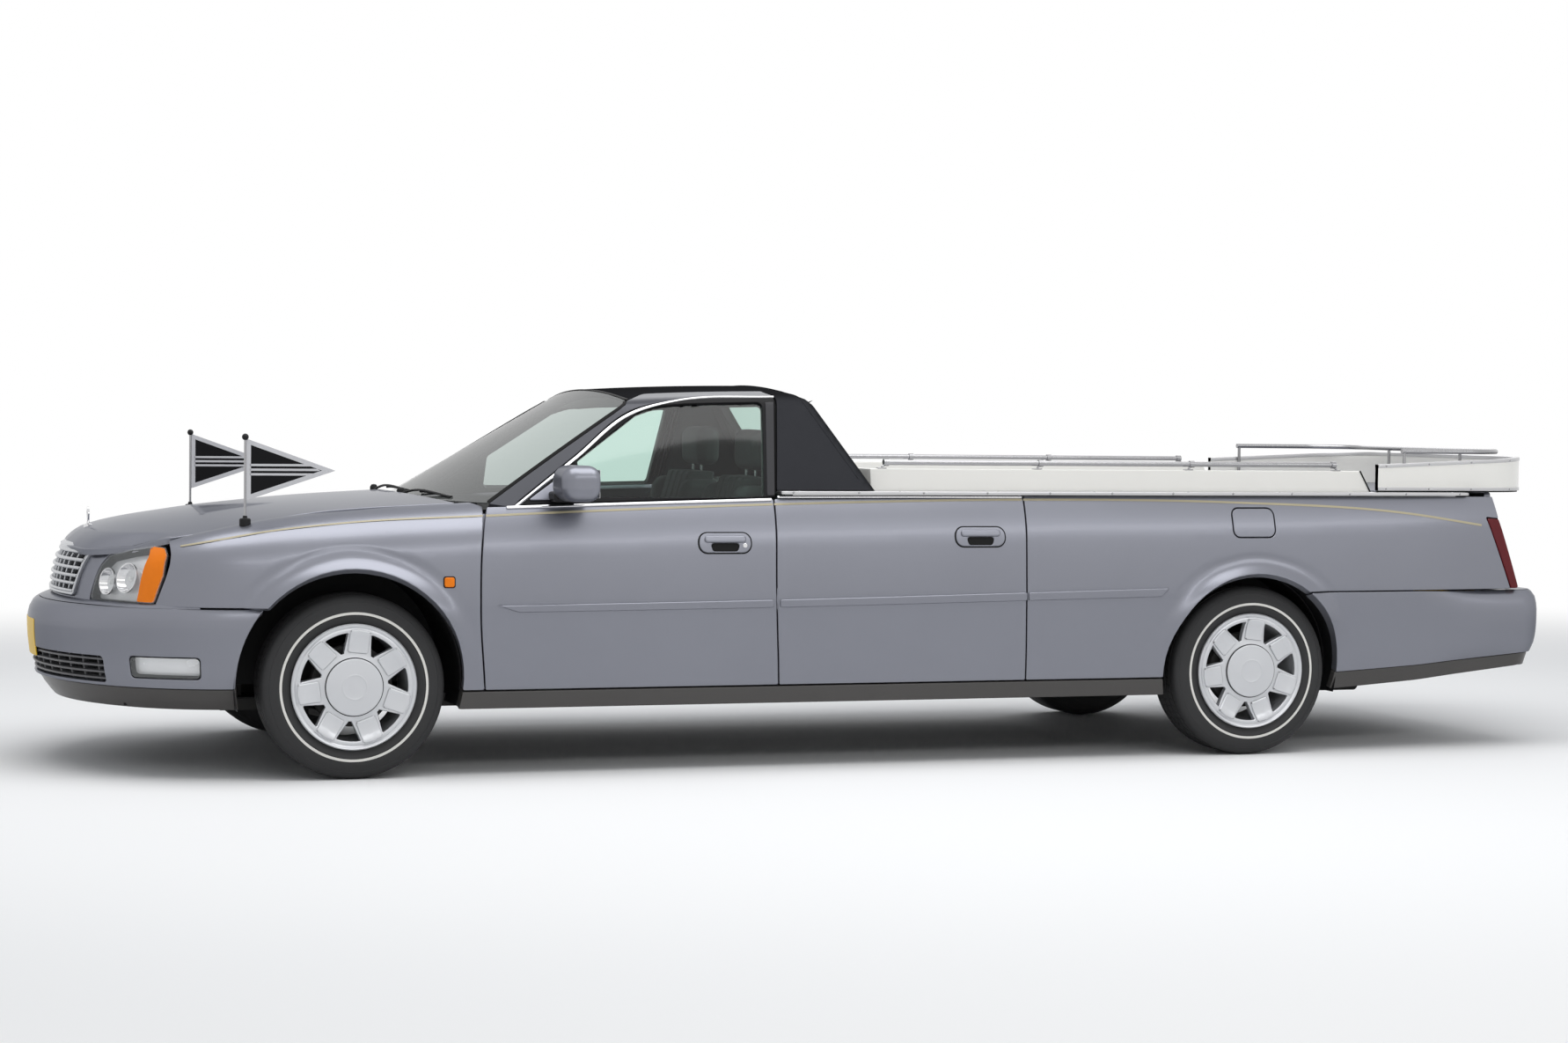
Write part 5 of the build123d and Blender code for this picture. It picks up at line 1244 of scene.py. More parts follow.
def makeCabSurface():
    table = hermite(cabShape["stations"])

    def raw(x, v):
        belt, edge, edgeZ, crown = table(x).T
        a = edge - cabShape["corner"]
        sideZ = edgeZ - cabShape["base"]
        lean = belt - edge
        sideLength = np.hypot(lean, sideZ)
        rise = crown - cabShape["drop"] - edgeZ
        corner = np.hypot(cabShape["corner"], rise) * 1.04
        u = np.abs(v)
        flat = u / a
        t = np.clip((u - a) / corner, 0, 1)
        down = (u - a - corner) / sideLength
        bendY = 2 * (edge - 0.044) - 0.5 * (a + edge)
        bendZ = 2 * (edgeZ + 0.66 * rise) - 0.5 * (crown - cabShape["drop"] + edgeZ)
        cornerY = (1 - t) ** 2 * a + 2 * t * (1 - t) * bendY + t * t * edge
        cornerZ = (1 - t) ** 2 * (crown - cabShape["drop"]) + 2 * t * (1 - t) * bendZ + t * t * edgeZ
        y = np.where(u < a, u, np.where(down < 0, cornerY, edge + lean * down))
        over = crown - cabShape["drop"] * flat ** 2
        z = np.where(u < a, over, np.where(down < 0, cornerZ, edgeZ - sideZ * down))
        return np.where(v < 0, y, -y), z

    def at(uv):
        x, v = uv[:, 0], uv[:, 1]
        y, z = np.zeros_like(x), np.zeros_like(x)
        for step, weight in sideShape["soften"]:
            a, b = raw(x, v + step)
            y, z = y + weight * a, z + weight * b
        return np.column_stack([x, y, z])
    return at


cabSurface = makeCabSurface()


def cabSkin(points):
    # (x, height) on the left side to (x, length of skin from the crown)
    out = []
    reach = np.linspace(0.45, 1.25, 400)
    for x, z in points:
        heights = cabSurface(np.column_stack([np.full_like(reach, x), reach]))[:, 2]
        out.append((x, float(np.interp(-z, -heights, reach))))
    return np.array(out)


def ribbon(surface, line, width, stand=0.003, thick=0.005, side=1):
    # A narrow rounded strip laid along a line on a surface
    pts = np.array(line, float)
    t = unit(np.gradient(pts, axis=0))
    across = np.column_stack([-t[:, 1], t[:, 0]])
    shape = [(-0.5, -thick), (-0.5, stand * 0.35), (-0.36, stand * 0.85), (0.0, stand), (0.36, stand * 0.85),
             (0.5, stand * 0.35), (0.5, -thick)]
    rows, n = [], len(pts)
    for share, height in shape:
        uv = pts + across * width * share
        rows.append(surface(uv) + surfaceNormals(surface, uv, side)[0] * height)
    verts = np.vstack(rows)
    faces = []
    for k in range(len(shape) - 1):
        for i in range(n - 1):
            quad = (k * n + i, k * n + i + 1, (k + 1) * n + i + 1, (k + 1) * n + i)
            faces.append(quad if side > 0 else quad[::-1])
    first = tuple(k * n for k in range(len(shape)))
    last = tuple(k * n + n - 1 for k in range(len(shape)))
    faces += [first, last[::-1]] if side > 0 else [first[::-1], last]
    grid = verts.reshape(len(shape), n, 3)
    normal = unit(np.cross(np.gradient(grid, axis=1), np.gradient(grid, axis=0))) * side
    return verts, faces, normal.reshape(-1, 3)


def makeCabSides():
    rides = "front_door_{}"
    top, rear = spline(cabShape["doorFrame"], 0.03), spline(cabShape["frameRear"], 0.03)
    belt = [(x, z + 0.004) for x, z in spline(cabShape["belt"], 0.05)]
    frame = cabSkin(np.vstack([belt, rear[::-1], top[::-1][1:-1]]))
    window = cabSkin(dense(rounded(cabShape["window"], 0.02), 0.02))
    surf = offset(cabSurface, 0.002, -1)
    data = panel(frame, surf, [window], side=-1, roll=0.003, depth=0.030, spacing=0.03, gap=halfGap)
    pairPiece("doorFrame", data, "frameBlack", rides)
    lower = [(x, z - 0.012 if z < 1.1 else z) for x, z in cabShape["window"]]     # glass in the door
    pane = cabSkin(dense(rounded(lower, 0.02), 0.02))
    glass = panel(pane, offset(cabSurface, -0.008, -1), side=-1, roll=0.001, depth=0.005, spacing=0.05,
                  gap=-0.008)
    pairPiece("doorGlass", glass, "glass", rides, ["front_glass_{}"])
    divider = cabSkin(dense(cabShape["divider"], 0.02, closed=False))
    data = ribbon(offset(cabSurface, 0.003, -1), divider, 0.014, 0.003, side=-1)
    pairPiece("glassDivider", data, "frameBlack", rides)
    for name, part, finish, stand, roll in (("mirrorSail", "sail", "paint", 0.008, 0.004),
                                            ("doorPost", "post", "postGrey", 0.006, 0.003)):
        outline = cabSkin(dense(cabShape[part], 0.02))
        data = panel(outline, offset(cabSurface, stand, -1), side=-1, roll=roll, depth=stand, spacing=0.02)
        pairPiece(name, data, finish, rides)
    line = cabSkin(dense(top, 0.02, closed=False)) + [0, 0.010]
    pairPiece("frameChrome", ribbon(surf, line, 0.013, 0.005, side=-1), "chrome", rides)
    strip = skin(doorSurface, dense(cabShape["beltChrome"], 0.02, closed=False))
    data = ribbon(offset(doorSurface, 0.002), strip, 0.012, 0.005, 0.010)
    pairPiece("beltChrome", data, "chrome", rides)
    # Painted pillar and roof rail, from the windscreen's edge to the door frame and up to the vinyl
    edge = screenEdge(np.linspace(1.012, 1.404, 24), 0.004)
    seam = spline(cabShape["seam"], 0.03)
    foot, head = [(fx(0.600), 0.998)], [(fx(1.698), 1.430)]
    rail = cabSkin(np.vstack([foot, top[1:] + [0, 0.003], head, seam[::-1], edge[::-1]]))
    data = panel(rail, offset(cabSurface, 0.001, -1), side=-1, roll=0.003, depth=0.026, spacing=0.024,
                 gap=halfGap / 2)
    # Its finish is the body paint darkened: painted shade for the rail's dark reflection
    makePiece("roofRails", bothSides(data), "pillarShadedPaint", "body")


def screenX(y, z):
    # Where the bowed, sloping windscreen passes a given width and height
    (x0, z0), (x1, z1) = cabShape["screenFoot"], cabShape["screenTop"]
    bow, wide = cabShape["bow"], cabShape["screenHalf"]
    radius = (wide ** 2 + bow ** 2) / (2 * bow)
    bend = np.sqrt(radius ** 2 - np.minimum(np.abs(y), 0.95) ** 2)
    return x0 - bow + radius - bend + (z - z0) * (x1 - x0) / (z1 - z0)


def screenEdge(heights, shift):
    # The windscreen's side edge on the skin of the cab, as (x, z)
    out = []
    for z in heights:
        x = fx(0.8)
        for step in range(6):
            x = float(screenX(cabSurface(cabSkin([(x, z)]))[0][1], z))
        out.append((x + shift, z))
    return np.array(out)


def backX(z):
    (x1, z1), (x0, z0) = cabShape["backTop"], cabShape["backFoot"]
    return x0 + (x1 - x0) * (z - z0) / (z1 - z0)


def backPlane(inset):
    # The sloping back of the cab, and planes set into it
    return lambda uv: np.column_stack([backX(uv[:, 1]) - inset, uv[:, 0], uv[:, 1]])


def rearWindow(step):
    wide, low, high = cabShape["rearWindow"]
    return dense(rounded(rectangle(-wide, low, wide, high), cabShape["windowCorner"]), step)


def vinylSurface(uv):
    # The cab's skin, turning in along its rear edge
    p = cabSurface(uv)
    n = surfaceNormals(cabSurface, uv, -1)[0]
    r = cabShape["backRound"]
    near = np.clip(1 - (backX(p[:, 2]) - p[:, 0]) / r, 0, 1)
    return p + n * (0.002 - r * (1 - np.sqrt(1 - (0.97 * near) ** 2)))[:, None]


def makeRoof():
    seam = cabSkin(spline(cabShape["seam"], 0.03))
    post = cabSkin(spline(cabShape["pillarFront"], 0.03))
    foot = cabSkin(dense([(fx(1.648), 1.066), (backX(1.066) - 0.001, 1.066)], 0.03, closed=False))
    rear = []
    for v in np.linspace(foot[-1][1], 0.0, 46):
        x = fx(1.85)
        for step in range(8):
            x = float(backX(cabSurface(np.array([[x, v]]))[0][2])) - 0.001
        rear.append((x, v))
    front = [(fx(1.100) + 0.020 * t * t, seam[0][1] * t) for t in np.linspace(0, 1, 16)]
    left = np.vstack([front[:-1], seam, post[1:], foot[1:], rear[1:-1]])
    outline = np.vstack([left, [rear[-1]], left[::-1][:-1] * [1, -1]])
    data = panel(outline, vinylSurface, side=-1, roll=0.003, depth=0.022, spacing=0.026)
    makePiece("vinylRoof", data, "vinyl", "body", ["cab_shell"])
    # The sloping back with its window opening
    rim = vinylSurface(np.array(rear))
    ring = np.vstack([rim[:, 1:], rim[::-1][1:, 1:] * [-1, 1]])
    data = panel(ring, backPlane(0.0005), [rearWindow(0.02)], roll=0.003, depth=0.026, spacing=0.05)
    makePiece("cabBack", data, "vinyl", "body")
    line = np.array(rear)[2:] - [0.040, 0.0]
    line = np.vstack([line, line[::-1][1:] * [1, -1]])
    makePiece("roofSeam", ribbon(vinylSurface, line, 0.006, 0.0022, side=-1), "vinyl", "body")
    # The strip over the windscreen and its side seals, and a dark strip of painted shade in the gap before each
    # rear pillar
    v = np.linspace(-1, 1, 60) * (seam[0][1] + 0.008)
    strip = np.column_stack([fx(1.088) + 0.020 * (v / seam[0][1]) ** 2, v])
    makePiece("screenStrip", ribbon(cabSurface, strip, 0.018, 0.003, 0.008, side=-1), "rubber", "body")
    # Painted shade: a dark strip set under the skin along the front of the rear pillar, in the gap behind the
    # door frame
    gap = post + [-0.006, 0.0]
    shade = ribbon(offset(cabSurface, -0.012, -1), gap, 0.040, 0.002, 0.004, side=-1)
    makePiece("postGapShade", bothSides(shade), "rubber", "body")
    edge = cabSkin(screenEdge(np.linspace(1.020, 1.400, 40), -0.004))
    seal = ribbon(cabSurface, edge, 0.014, 0.002, 0.010, side=-1)
    makePiece("screenSeals", bothSides(seal), "rubber", "body")


def makeScreens():
    heights = np.linspace(1.016, 1.390, 24)
    edge = cabSurface(cabSkin(screenEdge(heights, -0.002)))
    reach = np.abs(edge[:, 1]) - 0.001
    head = cabSurface(np.column_stack([np.full(40, fx(1.094)), np.linspace(0.60, -0.60, 40)]))
    left = np.column_stack([-reach, heights])
    outline = np.vstack([left, head[:, 1:], left[::-1] * [-1, 1]])
    sloped = lambda uv: np.column_stack([screenX(uv[:, 0], uv[:, 1]), uv[:, 0], uv[:, 1]])
    glass = panel(dense(outline, 0.02), sloped, side=-1, roll=0.001, depth=0.005, spacing=0.05)
    # the windscreen's grey, partly opaque glass is a painted reflection
    makePiece("windscreenGlass", glass, "screenGlassPaintedReflection", "body", ["windscreen"])
    pane = panel(rearWindow(0.03), backPlane(0.006), roll=0.001, depth=0.004, spacing=0.08, gap=-0.006)
    makePiece("rearGlass", pane, "glass", "body", ["rear_window"])
    seal = ribbon(backPlane(0.001), rearWindow(0.02)[::-1], 0.016, 0.004, 0.008)
    makePiece("rearGlassSeal", seal, "rubber", "body")


def makeMirrors():
    shell = block((-0.075, -0.100, -0.068), (0.075, 0.100, 0.068), 0.052, 8)
    v = shell[0].copy()
    v[:, 1] *= 1 - 0.9 * np.clip(-v[:, 0] - 0.03, 0, 1)          # the front is a little slimmer
    v[:, 2] *= 1 - 0.8 * np.clip(-v[:, 0] - 0.02, 0, 1)
    v[:, 0] += 0.18 * np.clip(-v[:, 1] - 0.02, 0, 1)             # and sweeps back outwards
    v[:, 0] = np.minimum(v[:, 0], 0.071)
    place = np.array([fx(0.812), -0.972, 1.093])
    pairPiece("mirrorShell", (v + place, shell[1], shell[2]), "paint", "front_door_{}", ["mirror_{}"])
    glass = block(place + [0.0705, -0.078, -0.052], place + [0.0725, 0.080, 0.052], 0.0009)
    pairPiece("mirrorGlass", glass, "chrome", "front_door_{}")
    arm = block((fx(0.742), -0.930, 1.022), (fx(0.836), -0.812, 1.060), 0.012, 4)
    pairPiece("mirrorArm", arm, "black", "front_door_{}")


makeCabSides()
makeRoof()
makeScreens()
makeMirrors()
print("cab ready")


# Lamps, grilles and the panel that carries them
noseParts = {
    "lamp": [(fx(-0.910), 0.645), (fx(-0.896), 0.707), (fx(-0.874), 0.769), (fx(-0.841), 0.811),
             (fx(-0.771), 0.839), (fx(-0.697), 0.855), (fx(-0.662), 0.850), (fx(-0.6585), 0.824),
             (fx(-0.677), 0.748), (fx(-0.712), 0.645)],
    "lampInner": 6,          # points of that outline on the side of the grille and under the bonnet
    "amber": [(-0.769, 0.640), (-0.7605, 0.685), (-0.749, 0.744), (-0.736, 0.786), (-0.721, 0.816),
              (-0.700, 0.860)],
    "bulbs": ((-0.866, 0.718, 0.046), (-0.805, 0.736, 0.052)),      # x, z and radius of each reflector
    "shelf": (0.630, 0.640, 0.86),         # heights of the bumper's and the band's edge, half width
    "shelfRows": ((0.0, 0.0), (0.33, 0.004), (0.66, 0.006), (1.0, 0.006)),
    "bandTop": 0.868, "bandFoot": 0.638,
    "grilleTop": 0.838, "grilleFoot": 0.652, "grilleHalf": (0.345, 0.400), "bars": 6, "uprights": 11,
    "plate": (0.300, 0.140, 0.482),        # width, height, height of its middle
}


def lampOutline(grow=0.0):
    pts = [(bandAtX(lampSurface, x, z), z) for x, z in noseParts["lamp"]]
    loop = dense(rounded(pts, 0.018, 25), 0.012)
    if area(loop) < 0:
        loop = loop[::-1]
    return loop - leftNormals(loop) * grow


def grilleOutline(grow=0.0):
    low, high = noseParts["grilleHalf"]
    a = bandAtY(lampSurface, low, noseParts["grilleFoot"]) + grow
    b = bandAtY(lampSurface, high, noseParts["grilleTop"]) + grow
    z0, z1 = noseParts["grilleFoot"] - grow, noseParts["grilleTop"] + grow
    return dense(rounded([(-a, z0), (a, z0), (b, z1), (-b, z1)], 0.02), 0.012)


def plateOutline(size, step):
    wide, tall, mid = size
    return dense(rounded(rectangle(-wide / 2, mid - tall / 2, wide / 2, mid + tall / 2), 0.008), step)


def makeNose():
    z0, z1 = noseParts["bandFoot"], noseParts["bandTop"]
    inner = noseParts["lamp"][:noseParts["lampInner"]]
    edge = [(bandAtX(lampSurface, x, z) - 0.004, z + 0.004) for x, z in inner]
    right = spline([(edge[0][0], z0), *edge], 0.02)
    right = np.vstack([right, [(edge[-1][0] + 0.004, z1)]])
    outline = dense(np.vstack([right * [-1, 1], right[::-1]]), 0.02)
    data = panel(outline, lampSurface, [grilleOutline(0.002)], roll=0.002, depth=0.030, spacing=0.024)
    makePiece("nosePanel", data, "paint", "body", ["nose_panel"])
    lower, upper, wide = noseParts["shelf"]
    ys = np.linspace(0.0, wide, 41)
    near = bumperSurface(np.array([(bandAtY(bumperSurface, y, lower), lower) for y in ys]))
    far = lampSurface(np.array([(bandAtY(lampSurface, y, upper), upper) for y in ys])) + [0.010, 0, 0]
    shelf = sheet([near + (far - near) * t + [0, 0, lift] for t, lift in noseParts["shelfRows"]], True)
    makePiece("bumperShelf", bothSides(shelf), "paint", "body")
    outline = plateOutline(noseParts["plate"], 0.02)
    plate = panel(outline, offset(bumperSurface, 0.002), roll=0.0012, depth=0.004, spacing=0.04)
    makePiece("frontPlate", plate, "plateYellow", "body")


def makeHeadlamps():
    lens = panel(lampOutline(), offset(lampSurface, 0.002), roll=0.004, depth=0.012, spacing=0.02)
    makePiece("lampLenses", bothSides(lens), "lens", "body", ["front_lamps"])
    # The bowls' finish is lightened: painted light against the shadow of the bonnet
    bowl = panel(lampOutline(-0.004), offset(lampSurface, -0.036), roll=0.004, depth=-0.032, spacing=0.03)
    makePiece("lampBowls", bothSides(bowl), "reflector", "body")
    cut = spline([(bandAtX(lampSurface, fx(x), z), z) for x, z in noseParts["amber"]], 0.012)
    rim = lampOutline(-0.005)
    start = [(u, z) for u, z in rim if u > np.interp(z, cut[:, 1], cut[:, 0])]
    inner = [(u, z) for u, z in cut if inside(np.array([[u, z]]), rim)[0]]
    loop = np.vstack([start, inner])
    middle = loop.mean(axis=0)
    loop = loop[np.argsort(np.arctan2(loop[:, 1] - middle[1], (loop[:, 0] - middle[0]) * 2.5))]
    amber = panel(loop, offset(lampSurface, 0.003), roll=0.003, depth=0.030, spacing=0.015)
    makePiece("lampAmber", bothSides(amber), "amber", "body")
    parts, bulbs = [], []
    for x, z, r in noseParts["bulbs"]:
        uv = np.array([[bandAtX(lampSurface, fx(x), z), z]])
        p, n = lampSurface(uv)[0], surfaceNormals(lampSurface, uv)[0][0]
        turn = turnTo(n)
        cup = lathe([(0.010, 0.030), (r * 0.55, 0.018), (r * 0.85, 0.0), (r, -0.018)], 40)
        ring = lathe([(r, -0.018), (r + 0.004, -0.019), (r + 0.004, -0.010)], 40)
        bulb = lathe([(0.0, -0.004), (0.007, -0.002), (0.010, 0.006), (0.010, 0.028)], 20)
        parts.append(moved(merged(cup, ring), p - n * 0.030, turn))
        bulbs.append(moved(bulb, p - n * 0.026, turn))
    makePiece("lampReflectors", bothSides(merged(*parts)), "chrome", "body")
    makePiece("lampBulbs", bothSides(merged(*bulbs)), "bulb", "body")
    fog = panel(fogOutline(-0.001), offset(bumperSurface, -0.001), roll=0.004, depth=0.010, spacing=0.02)
    makePiece("fogLenses", bothSides(fog), "lens", "body")
    back = panel(fogOutline(-0.002), offset(bumperSurface, -0.030), roll=0.002, depth=-0.026, spacing=0.03)
    makePiece("fogBowls", bothSides(back), "fogSilver", "body")


def crossBar(surface, stand, reach, z, points, width, height, thick):
    # A bar across a grille at one height
    line = [(u, z) for u in np.linspace(reach, -reach, points)]
    return ribbon(offset(surface, stand), line, width, height, thick)


def makeGrilles():
    lip = grilleOutline(-0.012)
    ring = panel(grilleOutline(), offset(lampSurface, 0.012), [lip], roll=0.004, depth=0.040, spacing=0.05)
    z0, z1 = noseParts["grilleFoot"], noseParts["grilleTop"]
    low, high = noseParts["grilleHalf"]
    bars, n = [ring], noseParts["bars"]
    for k in range(n):
        z = z0 + 0.016 + (z1 - 0.044 - z0) * k / (n - 1)
        reach = bandAtY(lampSurface, low + (high - low) * (z - z0) / (z1 - z0) - 0.010, z)
        bars.append(crossBar(lampSurface, 0.004, reach, z, 50, 0.0125, 0.010, 0.022))
    reach = bandAtY(lampSurface, high - 0.012, z1 - 0.012)
    bars.append(crossBar(lampSurface, 0.006, reach, z1 - 0.014, 50, 0.024, 0.010, 0.03))
    for u in np.linspace(-0.36, 0.36, noseParts["uprights"]):
        line = [(u * (0.96 + 0.10 * t), z0 + 0.010 + (z1 - 0.030 - z0) * t) for t in np.linspace(0, 1, 12)]
        bars.append(ribbon(offset(lampSurface, -0.002), line, 0.007, 0.006, 0.02))
    makePiece("grilleBars", merged(*bars), "grille", "body", ["grilles"])
    back = panel(grilleOutline(-0.004), offset(lampSurface, -0.045), roll=0.002, depth=0.004, spacing=0.06)
    makePiece("grilleBack", back, "rubber", "body")
    (z0, z1), n = lowerGrille["z"], lowerGrille["bars"]
    reach = bandAtY(bumperSurface, lowerGrille["half"], lowerGrille["level"]) - 0.004
    bars = [crossBar(bumperSurface, -0.012, reach, z0 + (z1 - z0) * (k + 0.5) / n, 60, 0.009, 0.006, 0.024)
            for k in range(n)]
    for u in np.linspace(-reach + 0.04, reach - 0.04, lowerGrille["uprights"]):
        line = [(u, z) for z in np.linspace(z0 + 0.002, z1 - 0.002, 8)]
        bars.append(ribbon(offset(bumperSurface, -0.020), line, 0.007, 0.006, 0.02))
    makePiece("lowerGrilleBars", merged(*bars), "darkGrille", "body")
    back = panel(lowerOpening(-0.002), offset(bumperSurface, -0.060), roll=0.002, depth=0.004, spacing=0.06)
    makePiece("lowerGrilleBack", back, "rubber", "body")


makeNose()
makeHeadlamps()
makeGrilles()
print("lamps and grilles ready")


# Wheels and tyres
wheelShape = {
    "tyre": 0.342, "width": 0.225, "rim": 0.233, "track": 0.790, "hub": 0.342,
    "face": 0.106,       # how far the spokes' face stands out from the wheel's middle
    "cap": 0.105, "spokes": 7, "windowIn": 0.129, "windowOut": 0.199, "windowTurn": (2.2, 13.2),
    "pad": 0.039, "phase": 6.0,      # half the width of a spoke, and its first angle
    "dish": [(0.0, 0.0), (0.095, 0.0), (0.125, 0.006), (0.180, 0.003), (0.212, -0.004), (0.226, 0.002),
             (0.240, 0.004)],
    "whitewall": (0.266, 0.276), "blocks": 72, "grooves": (-0.062, -0.022),
}


wheelDish = hermite(wheelShape["dish"])


def wheelFace(uv):
    # The dished face of the left wheels from outside: u to the tail, v up
    r = np.hypot(uv[:, 0], uv[:, 1])
    return np.column_stack([uv[:, 0], -(wheelShape["face"] - wheelDish(r)[:, 0]), uv[:, 1]])


def spokeTurn(k):
    turn = 2 * math.pi * k / wheelShape["spokes"] + math.radians(wheelShape["phase"])
    c, s = math.cos(turn), math.sin(turn)
    return np.array([[c, -s], [s, c]])


def spokeWindow(k):
    # A gap between two broad spokes: narrow at the hub, wide at the rim, with rounded corners
    inner, outer = wheelShape["windowIn"], wheelShape["windowOut"]
    a, b = (math.radians(turn) for turn in wheelShape["windowTurn"])
    pts = [(inner * math.sin(t), inner * math.cos(t)) for t in np.linspace(-a, a, 5)]
    pts += [(outer * math.sin(t), outer * math.cos(t)) for t in np.linspace(b, -b, 9)]
    return dense(rounded(pts, 0.006, 30) @ spokeTurn(k + 0.5), 0.006)


def spokePad(k):
    # The raised flat of one spoke
    h = wheelShape["pad"]
    pts = rounded([(-h, 0.124), (h, 0.124), (h, 0.2085), (0.0, 0.2135), (-h, 0.2085)], 0.006, 30)
    return dense(pts @ spokeTurn(k), 0.008)


def wheelData():
    turns = np.linspace(0, 2 * math.pi, 120, endpoint=False)
    ring = [(0.2225 * math.cos(a), 0.2225 * math.sin(a)) for a in turns]
    spokes = range(wheelShape["spokes"])
    face = panel(ring, wheelFace, [spokeWindow(k) for k in spokes], roll=0.005, depth=0.026, spacing=0.012)
    pads = [panel(spokePad(k), offset(wheelFace, 0.007), roll=0.006, depth=0.010, spacing=0.014)
            for k in spokes]
    f, rim = wheelShape["face"], wheelShape["rim"]
    flange = lathe([(0.2155, -f - 0.001), (0.222, -f - 0.006), (rim - 0.004, -f - 0.008), (rim, -f - 0.004),
                    (rim, -f + 0.006), (0.222, -f + 0.012), (0.206, -f + 0.034), (0.196, -f + 0.10),
                    (0.196, 0.085), (rim, 0.098), (rim, 0.104), (0.222, 0.104), (0.205, 0.090)], 96)
    return merged(face, *pads, flange)


def capData():
    f, r = wheelShape["face"], wheelShape["cap"]
    profile = [(r + 0.002, -f + 0.004), (r, -f - 0.006), (r - 0.006, -f - 0.0085), (0.050, -f - 0.0105),
               (0.047, -f - 0.0125), (0.043, -f - 0.0125), (0.040, -f - 0.0105), (0.020, -f - 0.011),
               (0.0, -f - 0.011)]
    return lathe(profile[::-1], 96)


def capGapData():
    # Painted shade: a dark ring in the gap round the hub cap
    f, r = wheelShape["face"], wheelShape["cap"] + 0.0022
    turns = np.linspace(0, 2 * np.pi, 96, endpoint=False)
    line = np.column_stack([r * np.cos(turns), np.full(96, -f - 0.0012), r * np.sin(turns)])
    return tube(line, 0.0017, 8, closed=True)


def darkBackData():
    f = wheelShape["face"]
    drum = lathe([(0.0, -f + 0.060), (0.150, -f + 0.060), (0.152, -f + 0.066), (0.152, -0.010)], 64)
    bolt = lathe([(0.0, -f + 0.050), (0.009, -f + 0.050), (0.009, -f + 0.062)], 6)
    turns = np.radians(np.arange(5) * 72)
    return merged(drum, *[moved(bolt, (0.057 * math.cos(a), 0, 0.057 * math.sin(a))) for a in turns])


def tyreData():
    # Half profile from bead to crown, then mirrored; four grooves run round the tread
    w, r, rim = wheelShape["width"] / 2, wheelShape["tyre"], wheelShape["rim"]
    profile = [(rim - 0.014, -w + 0.022), (rim - 0.003, -w + 0.016), (rim + 0.008, -w + 0.010),
               (rim + 0.022, -w + 0.0035), (rim + 0.030, -w + 0.0015), (rim + 0.0325, -w + 0.0030),
               (rim + 0.0335, -w + 0.0016), (rim + 0.044, -w + 0.0006), (rim + 0.056, -w + 0.0014),
               (r - 0.044, -w + 0.004), (r - 0.030, -w + 0.0075), (r - 0.0285, -w + 0.0060),
               (r - 0.020, -w + 0.0095), (r - 0.012, -w + 0.0150), (r - 0.006, -w + 0.0215),
               (r - 0.0025, -w + 0.030)]
    for y in wheelShape["grooves"]:
        profile += [(r - 0.0008, y - 0.005), (r - 0.0008, y - 0.004), (r - 0.008, y - 0.0035),
                    (r - 0.008, y + 0.0035), (r - 0.0006, y + 0.004), (r - 0.0006, y + 0.005)]
    return lathe(profile + [(a, -b) for a, b in profile[::-1]], 96)


def treadSipes():
    # Short dark cuts across the tread, drawn just under its surface and lower on the shoulders
    w, r = wheelShape["width"] / 2, wheelShape["tyre"]
    cuts = ((-w + 0.020, -0.068, 0.010), (0.068, w - 0.020, -0.010), (-0.056, -0.028, -0.006),
            (0.028, 0.056, 0.006), (-0.016, 0.016, 0.004))       # from and to across the tread, and slant
    d = 0.0011 / r
    parts = []
    for k in range(wheelShape["blocks"]):
        a = 2 * math.pi * k / wheelShape["blocks"]
        for y0, y1, skew in cuts:
            t0, t1 = a, a + skew / r
            pts = []
            for t, y in ((t0 - d, y0), (t1 - d, y1), (t1 + d, y1), (t0 + d, y0)):
                drop = 0.0055 if abs(y) > 0.085 else 0.0
                rr = r - drop + 0.0001 - 0.0007
                pts.append((rr * math.cos(t), y, rr * math.sin(t)))
            nrm = np.array([(math.cos(a), 0, math.sin(a))] * 4)
            parts.append((np.array(pts), [(0, 1, 2, 3)], nrm))
    return merged(*parts)


def whitewallData():
    w = wheelShape["width"] / 2
    r0, r1 = wheelShape["whitewall"]
    profile = [(r0, -w + 0.0008), (r0 + 0.001, -w - 0.0004), (r1 - 0.001, -w - 0.0002), (r1, -w + 0.0012)]
    return lathe(profile, 128)


def makeWheels():
    face, cap, capGapShade, back = wheelData(), capData(), capGapData(), darkBackData()
    tyre, sipes, white = tyreData(), treadSipes(), whitewallData()
    for axle, x in (("front", body["frontAxle"]), ("rear", body["rearAxle"])):
        for hand in ("left", "right"):
            rides = f"wheel_{axle}_{hand}"
            label = axle.capitalize() + hand.capitalize()
            for name, data, finish, slot, stands in (
                    ("rim", face, "wheel", "wheel", [rides]), ("hubCap", cap, "wheelCap", "wheel", []),
                    # the dark ring round the hub cap is painted shade
                    ("capGapShade", capGapShade, "rubber", "wheel", []),
                    ("hubDrum", back, "under", "underbody", []),
                    ("tyre", tyre, "tyre", "tyre", [f"tyre_{axle}_{hand}"]),
                    ("sipes", sipes, "rubber", "tyre", []), ("whitewall", white, "whitewall", "tyre", [])):
                shape = moved(data, (x, -wheelShape["track"], wheelShape["hub"]))
                if hand == "right":
                    shape = mirrored(shape)
                makePiece(name + label, shape, finish, rides, stands)


makeWheels()
print("wheels ready")


